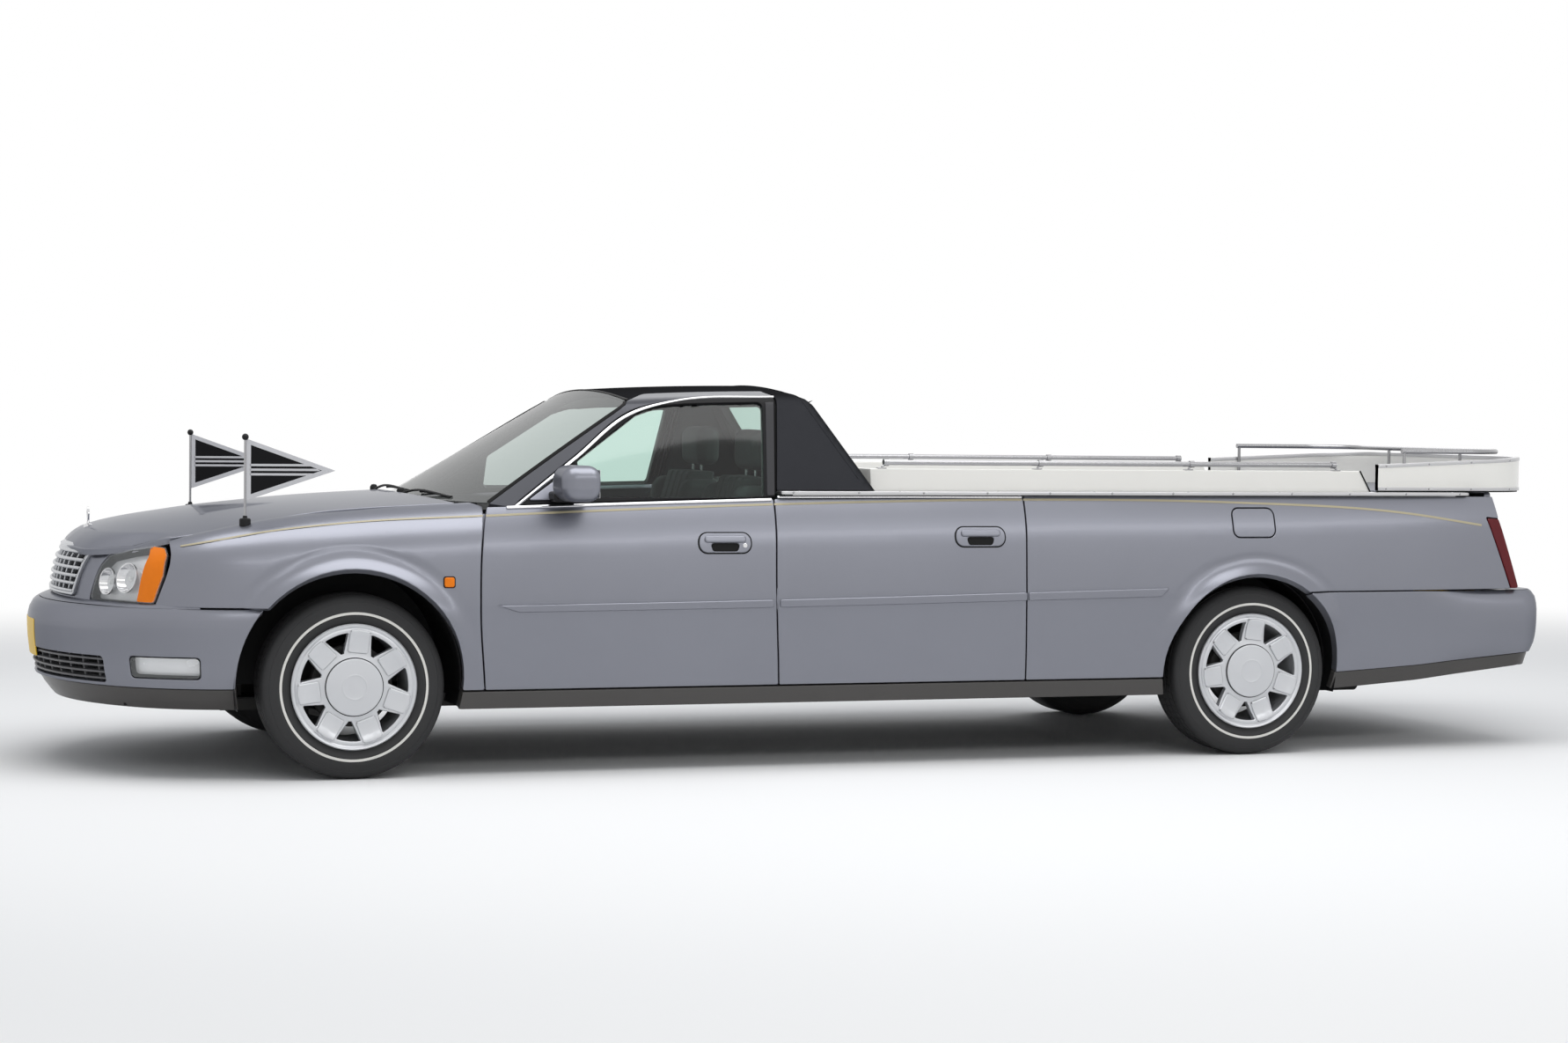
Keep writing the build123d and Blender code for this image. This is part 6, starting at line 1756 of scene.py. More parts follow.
# Bier deck: low white walls, bright edge strips, rails on bent brackets, and the ring and rail of the tail
deckShape = {
    "front": fx(2.068), "lid": rx(0.640), "ledgeTop": 1.064,
    "wall": {"outer": 0.740, "thick": 0.022, "lean": 0.014, "foot": 1.0523, "top": 1.150, "rake": 0.050},
    "ledge": [(fx(1.650), 0.886), (fx(2.700), 0.888), (rx(0.0), 0.886), (rx(0.840), 0.860), (rx(1.030), 0.842)],
    "ledgeInner": [(rx(1.030), 0.780), (rx(0.634), 0.780), (rx(0.634), 0.742), (fx(2.068), 0.742),
                   (fx(2.068), 0.812), (fx(1.650), 0.812)],
    "screwPitch": 0.235, "screw": 0.0048,
    "rail": {"y": 0.716, "z": 1.174, "radius": 0.0105,      # posts: x and lean
             "posts": [(fx(2.138), 0.016), (fx(2.800), 0.012), (fx(3.470), 0.012), (fx(4.120), -0.014)]},
    "ring": {"half": 0.770, "corner": 0.250, "rear": 3.086, "foot": 1.070, "tops": (1.176, 1.212), "end": 3.1,
             "thick": 0.024, "trim": 0.013, "pitch": 0.185, "seal": (1.0645, 1.0698)},
    "tailRail": {"half": 0.736, "rear": 2.976, "corner": 0.216, "z": 1.234, "front": rx(0.770),
                 "radius": 0.0105, "post": 0.300, "foot": 1.070},
}


def screwHead(place, up):
    r = deckShape["screw"]
    profile = [(0.0, -0.0016), (r * 0.25, -0.0016), (r * 0.25, -0.0008), (r * 0.8, -0.0012), (r, 0.0006)]
    return moved(lathe(profile, 12), place, turnTo(up))


def spread(path, pitch):
    # Places about a pitch apart along a path of points, away from its ends
    pts = np.array(path, float)
    along = np.concatenate([[0], np.cumsum(np.linalg.norm(np.diff(pts, axis=0), axis=1))])
    n = max(2, int(along[-1] / pitch))
    return [np.array([np.interp(d, along, pts[:, i]) for i in range(pts.shape[1])])
            for d in np.linspace(pitch * 0.2, along[-1] - pitch * 0.2, n)]


def makeDeckWalls():
    w = deckShape["wall"]
    front, rear = deckShape["front"], deckShape["lid"]
    side = block((front, -w["outer"], w["foot"]), (rear - 0.010, -w["outer"] + w["thick"], w["top"]), 0.004, 4)
    v = side[0].copy()
    up = (v[:, 2] - w["foot"]) / (w["top"] - w["foot"])
    v[:, 1] += w["lean"] * up
    v[:, 0] -= np.where(v[:, 0] > 1.5, w["rake"] * up, 0)      # the rear ends only
    side = (v, side[1], side[2])
    reach = w["outer"] - w["thick"] - 0.0005
    end = block((front, -reach, w["foot"]), (front + w["thick"], reach, w["top"]), 0.004, 4)
    v = end[0].copy()
    v[:, 1] -= np.sign(v[:, 1]) * w["lean"] * (v[:, 2] - w["foot"]) / (w["top"] - w["foot"])
    walls = merged(side, mirrored(side), (v, end[1], end[2]))
    makePiece("deckWalls", walls, "white", "body", ["deck_walls"])
    angle = [(rear - 0.012, -w["outer"] - 0.001, w["foot"]),
             (rear - 0.060, -w["outer"] + w["lean"] - 0.001, w["top"])]
    strip = tube(dense(angle, 0.02, closed=False), 0.006, 10, flat=0.5)
    makePiece("wallEnds", bothSides(strip), "rubber", "body")


def makeLedges():
    outer = [(x, -y) for x, y in spline(deckShape["ledge"], 0.05)]
    inner = [(x, -y) for x, y in deckShape["ledgeInner"]]
    top = lambda uv: np.column_stack([uv[:, 0], uv[:, 1], np.full(len(uv), deckShape["ledgeTop"])])
    strip = panel(dense(outer + inner, 0.03), top, roll=0.0025, depth=0.0115, spacing=0.06)
    lip = np.array([(x, y - 0.0008, deckShape["ledgeTop"] - 0.0055) for x, y in outer])
    screws = [screwHead(p, (0, -1, 0)) for p in spread(lip, deckShape["screwPitch"])]
    screws += [screwHead(p + [0, 0.014, 0.0062], (0, 0, 1)) for p in spread(lip, deckShape["screwPitch"] * 1.6)]
    makePiece("ledgeStrips", bothSides(strip), "aluminium", "body", ["deck_ledges"])
    makePiece("ledgeScrews", bothSides(merged(*screws)), "satinTube", "body")


def bracket(x, y, foot, top, lean):
    # A flat bent strap from the wall's top up to the tube, with a clasp round it
    path = spline([(x - lean, y, foot), (x - lean * 0.96, y, foot + 0.008),
                   (x - lean * 0.4, y, (foot + top) / 2), (x, y, top - 0.004)], 0.006)
    strap = tube(path, 0.0075, 10, flat=0.55)
    shoe = block((x - lean - 0.022, y - 0.010, foot - 0.0005), (x - lean + 0.016, y + 0.010, foot + 0.004),
                 0.0018)
    clasp = moved(lathe([(0.0145, 0.010), (0.0145, -0.010)], 24, axis=0), (x, y, top))
    rim = [(0.010, 0.010), (0.0145, 0.010)]
    ends = [moved(lathe(rim, 24, axis=0), (x, y, top)), moved(lathe(rim[::-1], 24, axis=0), (x - 0.02, y, top))]
    return merged(strap, shoe, clasp, *ends)


def makeDeckRails():
    r = deckShape["rail"]
    start, end = r["posts"][0][0] - 0.004, r["posts"][-1][0] + 0.004
    bar = tube([(x, -r["y"], r["z"]) for x in np.linspace(start, end, 40)], r["radius"], 20)
    posts = [bracket(x, -r["y"], deckShape["wall"]["top"], r["z"], lean) for x, lean in r["posts"]]
    makePiece("deckRails", bothSides(merged(bar, *posts)), "satinTube", "body", ["deck_rails"])


def ringPath(inset):
    # Plan of the ring from its left front end round to the right one, with outward directions
    r = deckShape["ring"]
    half, rear, corner = r["half"] - inset, r["rear"] - inset, r["corner"] - inset
    pts = [((deckShape["lid"] + 0.001, -half), (0, -1))]
    pts += [((x, -half), (0, -1)) for x in np.linspace(deckShape["lid"] + 0.03, rear - corner, 24)]
    for a in np.radians(np.linspace(-90, 0, 16))[1:]:
        c, s = math.cos(a), math.sin(a)
        pts.append(((rear - corner + corner * c, -half + corner + corner * s), (c, s)))
    across = [((rear, y), (1, 0)) for y in np.linspace(-half + corner, 0, 14)[1:]]
    left = pts + across
    right = [((p[0], -p[1]), (n[0], -n[1])) for p, n in left[::-1][1:]]
    return np.array([p for p, n in left + right]), np.array([n for p, n in left + right], float)


def ringTop(x):
    low, high = deckShape["ring"]["tops"]
    return low + (high - low) * (x - deckShape["lid"]) / (deckShape["ring"]["end"] - deckShape["lid"])


def ringBand(profile):
    # Sweeps (inwards from the outer face, height above the foot, share of the full height) along the ring
    path, out = ringPath(0.0)
    foot = deckShape["ring"]["foot"]
    rows = []
    for inwards, above, share in profile:
        p = path - out * inwards
        rows.append(np.column_stack([p, foot + above + share * (ringTop(path[:, 0]) - foot)]))
    v, f, m = sheet(rows)
    n, k = len(path), len(profile)
    for end in ([i * n for i in range(k)][::-1], [i * n + n - 1 for i in range(k)]):
        base = len(v)
        v = np.vstack([v, v[end]])
        m = np.vstack([m, np.tile([-1.0, 0, 0], (k, 1))])
        f = f + [tuple(range(base, base + k))]
    return v, f, m


def makeTailRing():
    r = deckShape["ring"]
    thick, trim = r["thick"], r["trim"]
    wall = ringBand([(0.0, 0.0, 0.0), (0.0, -0.004, 1.0), (0.0012, -0.0012, 1.0), (0.004, 0.0, 1.0),
                     (thick - 0.004, 0.0, 1.0), (thick - 0.0012, -0.0012, 1.0), (thick, -0.004, 1.0),
                     (thick, 0.0, 0.0)])
    makePiece("tailRing", wall, "white", "tail_lid", ["tail_ring"])
    high = ringBand([(0.0005, -trim, 1.0), (-0.0020, -trim + 0.001, 1.0), (-0.0020, -0.001, 1.0),
                     (-0.001, 0.0012, 1.0), (0.002, 0.0022, 1.0), (thick - 0.002, 0.0022, 1.0),
                     (thick + 0.001, 0.0012, 1.0), (thick + 0.002, -0.001, 1.0), (thick + 0.002, -trim, 1.0)])
    low = ringBand([(0.0005, 0.0005, 0.0), (-0.0022, 0.0005, 0.0), (-0.0022, trim, 0.0),
                    (-0.0012, trim + 0.001, 0.0), (0.0005, trim + 0.001, 0.0)])
    makePiece("ringTrims", merged(high, low), "aluminium", "tail_lid")
    path, out = ringPath(-0.0022)
    screws = []
    for share, above in ((1.0, -trim * 0.5), (0.0, trim * 0.55)):
        line = np.column_stack([path, r["foot"] + above + share * (ringTop(path[:, 0]) - r["foot"])])
        for p in spread(line, r["pitch"]):
            k = int(np.argmin(np.linalg.norm(path - p[:2], axis=1)))
            screws.append(screwHead(p, (*out[k], 0)))
    makePiece("ringScrews", merged(*screws), "satinTube", "tail_lid")
    # Dark seal under the ring, on the lid's plate
    path, out = ringPath(0.006)
    rows = [np.column_stack([path, np.full(len(path), z)]) for z in r["seal"]]
    makePiece("ringSeal", sheet(rows), "rubber", "tail_lid")


def makeTailRail():
    t = deckShape["tailRail"]
    half, rear, corner, z = t["half"], t["rear"], t["corner"], t["z"]
    path = [(x, -half, z) for x in np.linspace(t["front"], rear - corner, 16)]
    path += [(rear - corner + corner * math.cos(a), -half + corner + corner * math.sin(a), z)
             for a in np.radians(np.linspace(-90, 0, 14))[1:]]
    path += [(rear, y, z) for y in np.linspace(-half + corner, 0, 10)[1:]]
    path += [(x, -y, z) for x, y, z in path[::-1][1:]]
    parts = [tube(path, t["radius"], 18)]
    shoe = lathe([(0.018, 0.0), (0.018, 0.004), (0.016, 0.006), (0.0, 0.006)], 24, axis=2)
    front = t["front"] + 0.012
    for x, y in ((front, -half), (front, half), (rear, -t["post"]), (rear, t["post"])):
        post = tube([(x, y, h) for h in np.linspace(t["foot"], z - 0.004, 8)], 0.007, 14)
        parts += [post, moved(shoe, (x, y, deckShape["ring"]["seal"][0]))]
    makePiece("tailRail", merged(*parts), "satinTube", "tail_lid", ["tail_rail"])


makeDeckWalls()
makeLedges()
makeDeckRails()
makeTailRing()
makeTailRail()
print("deck ready")


# Tail: bumper, lamps, corners and lid, and the dark lower edges all round
tailParts = {
    "stand": 0.002, "blend": (rx(0.75), rx(1.15)),
    "top": [(rx(0.30), 0.660), (rx(1.31), 0.660)],                           # bumper's upper edge
    "foot": [(rx(0.30), 0.324), (rx(0.80), 0.352), (rx(1.31), 0.392)],       # its lower edge
    "valance": [(rx(0.30), 0.252), (rx(0.80), 0.286), (rx(1.31), 0.338)],    # lower edge of the dark band
    "lean": 0.30, "shelf": (1.30, 2.900), "plate": (0.520, 0.110, 0.565),
    "corner": [(0.666, rx(1.266)), (0.954, rx(1.174)), (1.046, rx(1.158))],  # z, x of its front edge
    "cornerEnd": 0.724, "cornerBow": 0.030,
}
tailLidShape = {
    "tray": 1.0697, "half": 0.716, "lean": [(2.950, 0.674), (2.894, 1.064)], "bow": 0.024,
    "hinge": (rx(0.642), 1.066), "eyes": (-0.480, 0.0, 0.480),
}
lowerEdge = {
    "sill": (0.2505, 0.3165), "nose": (0.254, 0.3345),
    "noseBack": [(0.250, 0.110), (0.290, 0.076), (0.338, 0.046)],
    "doorChrome": [(fx(1.640), 1.0405), (fx(2.150), 1.0425), (fx(2.652), 1.0430)],
}


def rearSkin(uv):
    # The tail's band, running into the body side ahead of its corner
    p = tailSurface(uv)
    side = doorSurface(skin(doorSurface, p[:, [0, 2]]))
    low, high = tailParts["blend"]
    t = ease((p[:, 0] - low) / (high - low))
    p[:, 1] = np.where(p[:, 1] < 0, 1, -1) * (np.abs(p[:, 1]) * -t - np.abs(side[:, 1]) * (1 - t))
    return p


def tailLevel(name, u):
    # Height of one of the tail's edges at a place along the band
    x = tailSurface(np.column_stack([u, np.full_like(u, 0.5)]))[:, 0]
    line = np.array(tailParts[name])
    return np.interp(x, line[:, 0], line[:, 1])


def tailBand(low, high):
    # Outline between two edges of the band, from wheel arch to wheel arch round the tail
    ends = [float(np.interp(rx(0.36), *np.array(tailParts[line]).T)) for line in (high, low)]
    edge = archLine(rearArch, archAngle(rearArch, ends[0], True), archAngle(rearArch, ends[1], True), 4)
    right = np.array([(bandAtX(tailSurface, x, z), z) for x, z in edge])
    along = np.linspace(-right[0][0], right[0][0], 120)
    upper = np.column_stack([along, tailLevel(high, along)])
    along = np.linspace(right[-1][0], -right[-1][0], 120)
    lower = np.column_stack([along, tailLevel(low, along)])
    return np.vstack([upper, right[1:-1], lower, right[::-1][1:-1] * [-1, 1]])


def valanceSkin(uv):
    level = tailLevel("foot", uv[:, 0])
    p = rearSkin(np.column_stack([uv[:, 0], np.maximum(uv[:, 1], level)]))
    out = tailSurface.path(uv[:, 0])[1]
    p[:, :2] -= out * (0.008 + tailParts["lean"] * np.maximum(level - uv[:, 1], 0))[:, None]
    p[:, 2] = uv[:, 1]
    return p


def makeRearBumper():
    data = panel(tailBand("foot", "top"), rearSkin, side=-1, roll=0.004, depth=0.040, spacing=0.028)
    makePiece("rearBumper", data, "paint", "body", ["rear_bumper"])
    # Top of the bumper, in to the panel over it
    wide, front = tailParts["shelf"]
    u = np.linspace(-wide, wide, 90)
    rim = rearSkin(np.column_stack([u, np.full_like(u, tailParts["top"][0][1] - 0.002)]))
    inner = rim * [1, 0.80, 1]
    inner[:, 0] = np.minimum(inner[:, 0], front)
    shelf = sheet([rim, (rim + inner) / 2 + [0, 0, 0.002], inner + [0, 0, 0.002]], True)
    makePiece("tailShelf", shelf, "paint", "body")
    outline = plateOutline(tailParts["plate"], 0.03)
    plate = panel(outline, offset(tailSurface, -0.001, -1), side=-1, roll=0.0008, depth=0.003, spacing=0.05)
    makePiece("tailPlate", plate, "plateYellow", "body")


def makeTailLamps():
    outline = skin(doorSurface, dense(rounded(tailLamp["outline"], 0.008), 0.01))
    lens = panel(outline, offset(doorSurface, tailParts["stand"]), roll=0.005, depth=0.030, spacing=0.02)
    makePiece("tailLamps", bothSides(lens), "tailRed", "body", ["tail_lamps"])
    # Corner of the body from the lamp round to the lid's panel
    heights = np.linspace(0.668, 1.046, 20)
    edgeX = np.interp(heights, *np.array(tailParts["corner"]).T)
    side = doorSurface(skin(doorSurface, np.column_stack([edgeX, heights])))
    rows = []
    for t in np.linspace(0, 1, 9):
        y = side[:, 1] + (-tailParts["cornerEnd"] - side[:, 1]) * t
        x = side[:, 0] + tailParts["cornerBow"] * math.sin(t * math.pi / 2) - 0.004
        rows.append(np.column_stack([x, y, heights]))
    data = sheet(rows, True)
    makePiece("tailCorners", bothSides(data), "paint", "body")


def valanceOutline(surface, arch, low, high):
    edge = archLine(arch, archAngle(arch, high, False), archAngle(arch, low, False), 4)
    right = np.array([(bandAtX(surface, x, 0.38), z) for x, z in edge])
    top = np.column_stack([np.linspace(-right[0][0], right[0][0], 80), np.full(80, high)])
    foot = np.column_stack([np.linspace(right[-1][0], -right[-1][0], 80), np.full(80, low)])
    return np.vstack([top, right[1:-1], foot, right[::-1][1:-1] * [-1, 1]])


def frontValance(uv):
    p, out = bumperSurface.path(uv[:, 0])
    back = hermite(lowerEdge["noseBack"])(uv[:, 1])
    return np.column_stack([p - out * back, uv[:, 1]])


def makeSills():
    # Sills between the wheels, the dark lower edges of both bumpers and the bead on the rear doors
    low, high = lowerEdge["sill"]
    front = archLine(frontArch, archAngle(frontArch, low, True), archAngle(frontArch, high, True), 4)
    rear = archLine(rearArch, archAngle(rearArch, high, False), archAngle(rearArch, low, False), 4)
    data = panel(dense(front + rear, 0.03), doorSurface, roll=0.004, depth=0.050, flange=0.04, spacing=0.03)
    outline = valanceOutline(bumperSurface, frontArch, *lowerEdge["nose"])
    nose = panel(outline, frontValance, roll=0.004, depth=0.030, spacing=0.03)
    tail = panel(tailBand("valance", "foot"), valanceSkin, side=-1, roll=0.004, depth=0.030, spacing=0.03)
    edges = merged(data, mirrored(data), nose, tail)
    makePiece("sills", edges, "lowerPaint", "body", ["lower_trim"])
    strip = skin(doorSurface, dense(lowerEdge["doorChrome"], 0.03, closed=False))
    line = ribbon(offset(doorSurface, 0.001), strip, 0.010, 0.004, 0.008)
    pairPiece("rearDoorChrome", line, "chrome", "rear_door_{}")


def lidFace(uv):
    # Rear face of the lid, leaning forward to its top and a little bowed
    low, high = tailLidShape["lean"]
    x = np.interp(uv[:, 1], [low[1], high[1]], [low[0], high[0]])
    return np.column_stack([x - tailLidShape["bow"] * (uv[:, 0] / tailLidShape["half"]) ** 2, uv])


def makeTailLid():
    # Tray inside the ring, the face under it and three hinge eyes
    level = lambda uv: np.column_stack([uv, np.full(len(uv), tailLidShape["tray"])])
    tray = panel(dense(ringPath(0.027)[0], 0.03), level, roll=0.002, depth=0.006, spacing=0.08)
    half, low, high = tailLidShape["half"], tailLidShape["lean"][0][1], tailLidShape["lean"][1][1]
    outline = dense(rounded(rectangle(-half, low, half, high), 0.010), 0.03)
    face = panel(outline, lidFace, roll=0.005, depth=0.030, spacing=0.05)
    x, z = tailLidShape["hinge"]
    eyes = [tube([(x, y - 0.020, z), (x, y + 0.020, z)], 0.005, 12) for y in tailLidShape["eyes"]]
    makePiece("tailLid", merged(tray, face, *eyes), "paint", "tail_lid", ["tail_lid"])


makeRearBumper()
makeTailLamps()
makeTailLid()
makeSills()
print("tail and sills ready")


# Flags, ornament and wipers
flagShape = {
    "x": fx(-0.383), "y": 0.768, "foot": 0.930, "top": 1.267, "pole": 0.0048, "ball": 0.0125,
    "cloth": [(0.004, 1.022), (0.004, 1.248), (0.332, 1.132)], "thick": 0.0018, "border": 0.0165,
    "stripes": (1.1515, 1.1345, 1.1175), "stripe": 0.0085,
    "socket": [(0.021, -0.004), (0.021, 0.022), (0.018, 0.026), (0.009, 0.028), (0.0075, 0.036), (0.0, 0.037)],
}


def flat(outline, holes, y, thick):
    # A thin board in the plane of a flag
    x = flagShape["x"]
    faces = []
    for side in (1, -1):
        plane = lambda uv: upright(y - side * thick)(uv + [x, 0.0])
        faces.append(panel(outline, plane, holes, side=side, roll=0.0006, depth=thick * 1.1, spacing=0.05))
    return merged(*faces)


def makeFlags():
    f = flagShape
    x, y, r = f["x"], -f["y"], f["pole"]
    pole = tube([(x, y, z) for z in np.linspace(f["foot"] + 0.030, f["top"] - 0.020, 12)], r, 16)
    foot = lathe(f["socket"], 32, axis=2)
    angles = np.radians(np.linspace(-90, 90, 13))
    ball = lathe([(f["ball"] * math.cos(a), f["ball"] * math.sin(a)) for a in angles], 24, axis=2)
    dark = merged(moved(foot, (x, y, f["foot"])), moved(ball, (x, y, f["top"] - f["ball"] - 0.0005)))
    makePiece("flagPoles", bothSides(pole), "satinTube", "body", ["flagpoles"])
    makePiece("flagFittings", bothSides(dark), "black", "body")
    cloth = np.array(f["cloth"])
    board = flat(dense(cloth, 0.02), [], y, f["thick"])
    makePiece("pennants", bothSides(board), "flag", "body", ["pennants"])
    # Silver border and stripes on both faces
    sides = np.linalg.norm(cloth - np.roll(cloth, -1, axis=0), axis=1)
    weights = np.roll(sides, -1)
    middle = (cloth * weights[:, None]).sum(axis=0) / weights.sum()
    inner = middle + (cloth - middle) * (1 - f["border"] * sides.sum() / (2 * abs(area(cloth))))
    bands = [flat(dense(cloth, 0.02), [dense(inner, 0.02)], y, f["thick"] + 0.0006)]
    point = inner[2]
    for z in f["stripes"]:
        low, high = z - f["stripe"] / 2, z + f["stripe"] / 2
        ends = []
        for level in (low, high):
            corner = inner[0 if level < point[1] else 1]
            share = (inner[0][0] - point[0]) * abs(level - point[1]) / abs(corner[1] - point[1])
            ends.append(point[0] + share + 0.002)
        start = inner[0][0] - 0.004
        loop = [(start, low), (ends[0], low), (ends[1], high), (start, high)]
        bands.append(flat(dense(loop, 0.03), [], y, f["thick"] + 0.0006))
    makePiece("pennantBands", bothSides(merged(*bands)), "flagSilver", "body")


ornament = {
    "x": fx(-0.872), "foot": 0.900, "thick": 0.004,
    "leaf": [(-0.013, 0.916), (0.013, 0.916), (0.020, 0.946), (0.012, 0.972), (-0.012, 0.972), (-0.020, 0.946)],
    "hole": [(-0.007, 0.930), (0.007, 0.930), (0.012, 0.946), (0.007, 0.962), (-0.007, 0.962), (-0.012, 0.946)],
    "base": [(0.017, -0.010), (0.017, 0.003), (0.012, 0.006), (0.006, 0.009), (0.0045, 0.018), (0.0, 0.019)],
}
wiperLines = (      # pivot, knee and tip of each arm
    ((fx(0.335), -0.06, 1.030), (fx(0.362), -0.24, 1.047), (fx(0.430), -0.56, 1.030)),
    ((fx(0.320), 0.42, 1.030), (fx(0.330), 0.24, 1.052), (fx(0.372), -0.02, 1.040)))


def makeOrnament():
    x = ornament["x"]
    leaf = dense(rounded(ornament["leaf"], 0.012), 0.004)
    hole = dense(rounded(ornament["hole"], 0.007), 0.004)
    faces = [panel(leaf, facing(x + side * ornament["thick"]), [hole], side=side, roll=0.002, depth=0.0042,
                   spacing=0.01) for side in (-1, 1)]
    base = moved(lathe(ornament["base"], 28, axis=2), (x, 0, ornament["foot"]))
    makePiece("hoodOrnament", merged(*faces, base), "chrome", "hood", ["hood_ornament"])


def makeWipers():
    parts = []
    cap = lathe([(0.016, -0.014), (0.016, 0.010), (0.010, 0.020), (0.0, 0.022)], 20, axis=2)
    for points in wiperLines:
        line = spline(points, 0.03)
        parts.append(tube(line, 0.0075, 10, flat=0.6))
        parts.append(tube(line[len(line) // 3:] + [0.016, 0.0, -0.006], 0.0045, 8))
        parts.append(moved(cap, line[0]))
    makePiece("wipers", merged(*parts), "black", "body", ["wipers"])


makeFlags()
makeOrnament()
makeWipers()
print("small parts ready")


# Cabin: seats, dashboard, steering wheel, door cards and lining
cabin = {
    "seatY": 0.372, "cushion": ((fx(0.962), 0.430), (fx(1.478), 0.588)),
    "base": ((fx(1.045), 0.2985), (fx(1.435), 0.440)), "bolster": 0.155, "half": 0.250, "pleats": 4,
    "back": (fx(1.430), fx(1.560), 0.525, 1.105), "lean": 0.300,
    "head": ((fx(1.652), 1.130), (fx(1.752), 1.292)), "headHalf": 0.138,
    "dash": [(fx(0.473), 0.700), (fx(0.473), 0.944), (fx(0.560), 0.9610), (fx(0.700), 0.955),
             (fx(0.752), 0.938), (fx(0.786), 0.905), (fx(0.797), 0.876), (fx(0.780), 0.790),
             (fx(0.760), 0.702)],
    "vents": (-0.640, -0.105, 0.105, 0.640), "slats": (0.876, 0.888, 0.900),
    "keys": (-0.07, -0.023, 0.023, 0.07), "keyRows": (0.765, 0.800),
    "gloveBox": (0.22, 0.735, 0.62, 0.850),
    "dashSlope": [(0.70, fx(0.763)), (0.79, fx(0.783)), (0.876, fx(0.800))],
    "dashHalf": 0.727, "wheel": (fx(0.930), -0.372, 0.900), "wheelRadius": 0.185, "wheelTilt": 65.0,
}


def sheared(data, foot, lean):
    v = data[0].copy()
    v[:, 0] += (v[:, 2] - foot) * lean
    return v, data[1], data[2]


def padded(bolster, pleat):
    # Two bolsters and the pleats between them, each from the (x, z) of one corner to that of the other
    b, h = cabin["bolster"], cabin["half"]
    step = 2 * b / cabin["pleats"]
    (x0, z0), (x1, z1) = bolster
    parts = []
    for side in (-1, 1):
        middle, wide = side * (b + h) / 2, (h - b) / 2
        parts.append(block((x0, middle - wide, z0), (x1, middle + wide, z1), 0.040, 6))
    (x0, z0), (x1, z1) = pleat
    return parts + [block((x0, -b + k * step, z0), (x1, -b + (k + 1) * step, z1), 0.014, 4)
                    for k in range(cabin["pleats"])]


def seatData():
    (x0, z0), (x1, z1) = cabin["cushion"]
    soft = padded(((x0, z0 - 0.02), (x1, z1)), ((x0 + 0.004, z0), (x1 - 0.02, z1 - 0.018)))
    front, rear, low, high = cabin["back"]
    rest = padded(((front - 0.030, low), (rear, high - 0.03)), ((front, low), (rear - 0.01, high)))
    soft += [sheared(part, low, cabin["lean"]) for part in rest]
    (x0, z0), (x1, z1) = cabin["head"]
    soft.append(block((x0, -cabin["headHalf"], z0), (x1, cabin["headHalf"], z1), 0.042, 6))
    posts = [tube([(fx(1.690), y, z) for z in np.linspace(1.060, 1.150, 6)], 0.006, 10) for y in (-0.06, 0.06)]
    return merged(*soft), merged(*posts)


def makeSeats():
    soft, posts = seatData()
    places = [(0.0, side * cabin["seatY"], 0.0) for side in (-1, 1)]
    makePiece("seats", merged(*[moved(soft, p) for p in places]), "cloth", "body", ["seats"])
    (x0, z0), (x1, z1) = cabin["base"]
    base = block((x0, -0.200, z0), (x1, 0.200, z1), 0.012)
    makePiece("seatBases", merged(*[moved(base, p) for p in places]), "black", "body")
    makePiece("headrestPosts", merged(*[moved(posts, p) for p in places]), "satinTube", "body")


def makeDashboard():
    loop = rounded(cabin["dash"], 0.018, 20)
    h = cabin["dashHalf"]
    ring = np.vstack([loop, loop[:1]])
    rows = [np.column_stack([ring[:, 0], np.full(len(ring), y), ring[:, 1]]) for y in np.linspace(-h, h, 40)]
    caps = [panel(loop, upright(side * -h), side=side, roll=0.001, depth=0.002, spacing=0.06)
            for side in (1, -1)]
    hood = sheared(block((fx(0.600), -0.565, 0.935), (fx(0.792), -0.180, 0.978), 0.024, 5), 0.935, 0.2)
    shelf = block((fx(0.500), -0.700, 0.958), (fx(0.520), 0.700, 0.962), 0.0015)
    makePiece("dashboard", merged(sheet(rows), *caps, hood, shelf), "dash", "body", ["dashboard"])
    dark, bright = [], []
    for y in cabin["vents"]:
        dark.append(block((fx(0.770), y - 0.060, 0.868), (fx(0.802), y + 0.060, 0.908), 0.006))
        bright += [block((fx(0.7995), y - 0.052, z - 0.0015), (fx(0.8055), y + 0.052, z + 0.0015), 0.001)
                   for z in cabin["slats"]]
    dark.append(block((fx(0.765), -0.110, 0.735), (fx(0.799), 0.110, 0.850), 0.008))
    dark.append(block((fx(0.784), -0.530, 0.885), (fx(0.800), -0.215, 0.935), 0.010))
    bright += [block((fx(0.797), y - 0.016, z - 0.010), (fx(0.8025), y + 0.016, z + 0.010), 0.003)
               for y in cabin["keys"] for z in cabin["keyRows"]]
    heights, places = np.array(cabin["dashSlope"]).T
    slope = lambda uv: np.column_stack([np.interp(uv[:, 1], heights, places), uv[:, 0], uv[:, 1]])
    lid = rounded(dense(rectangle(*cabin["gloveBox"]), 0.05), 0.012)
    dark.append(panel(lid, slope, roll=0.003, depth=0.010, spacing=0.05))
    makePiece("dashFace", merged(*dark), "black", "body")
    makePiece("dashTrim", merged(*bright), "satinTube", "body")


def mirrorAbout(path, y):
    pts = np.array(path)
    pts[:, 1] = 2 * y - pts[:, 1]
    return pts


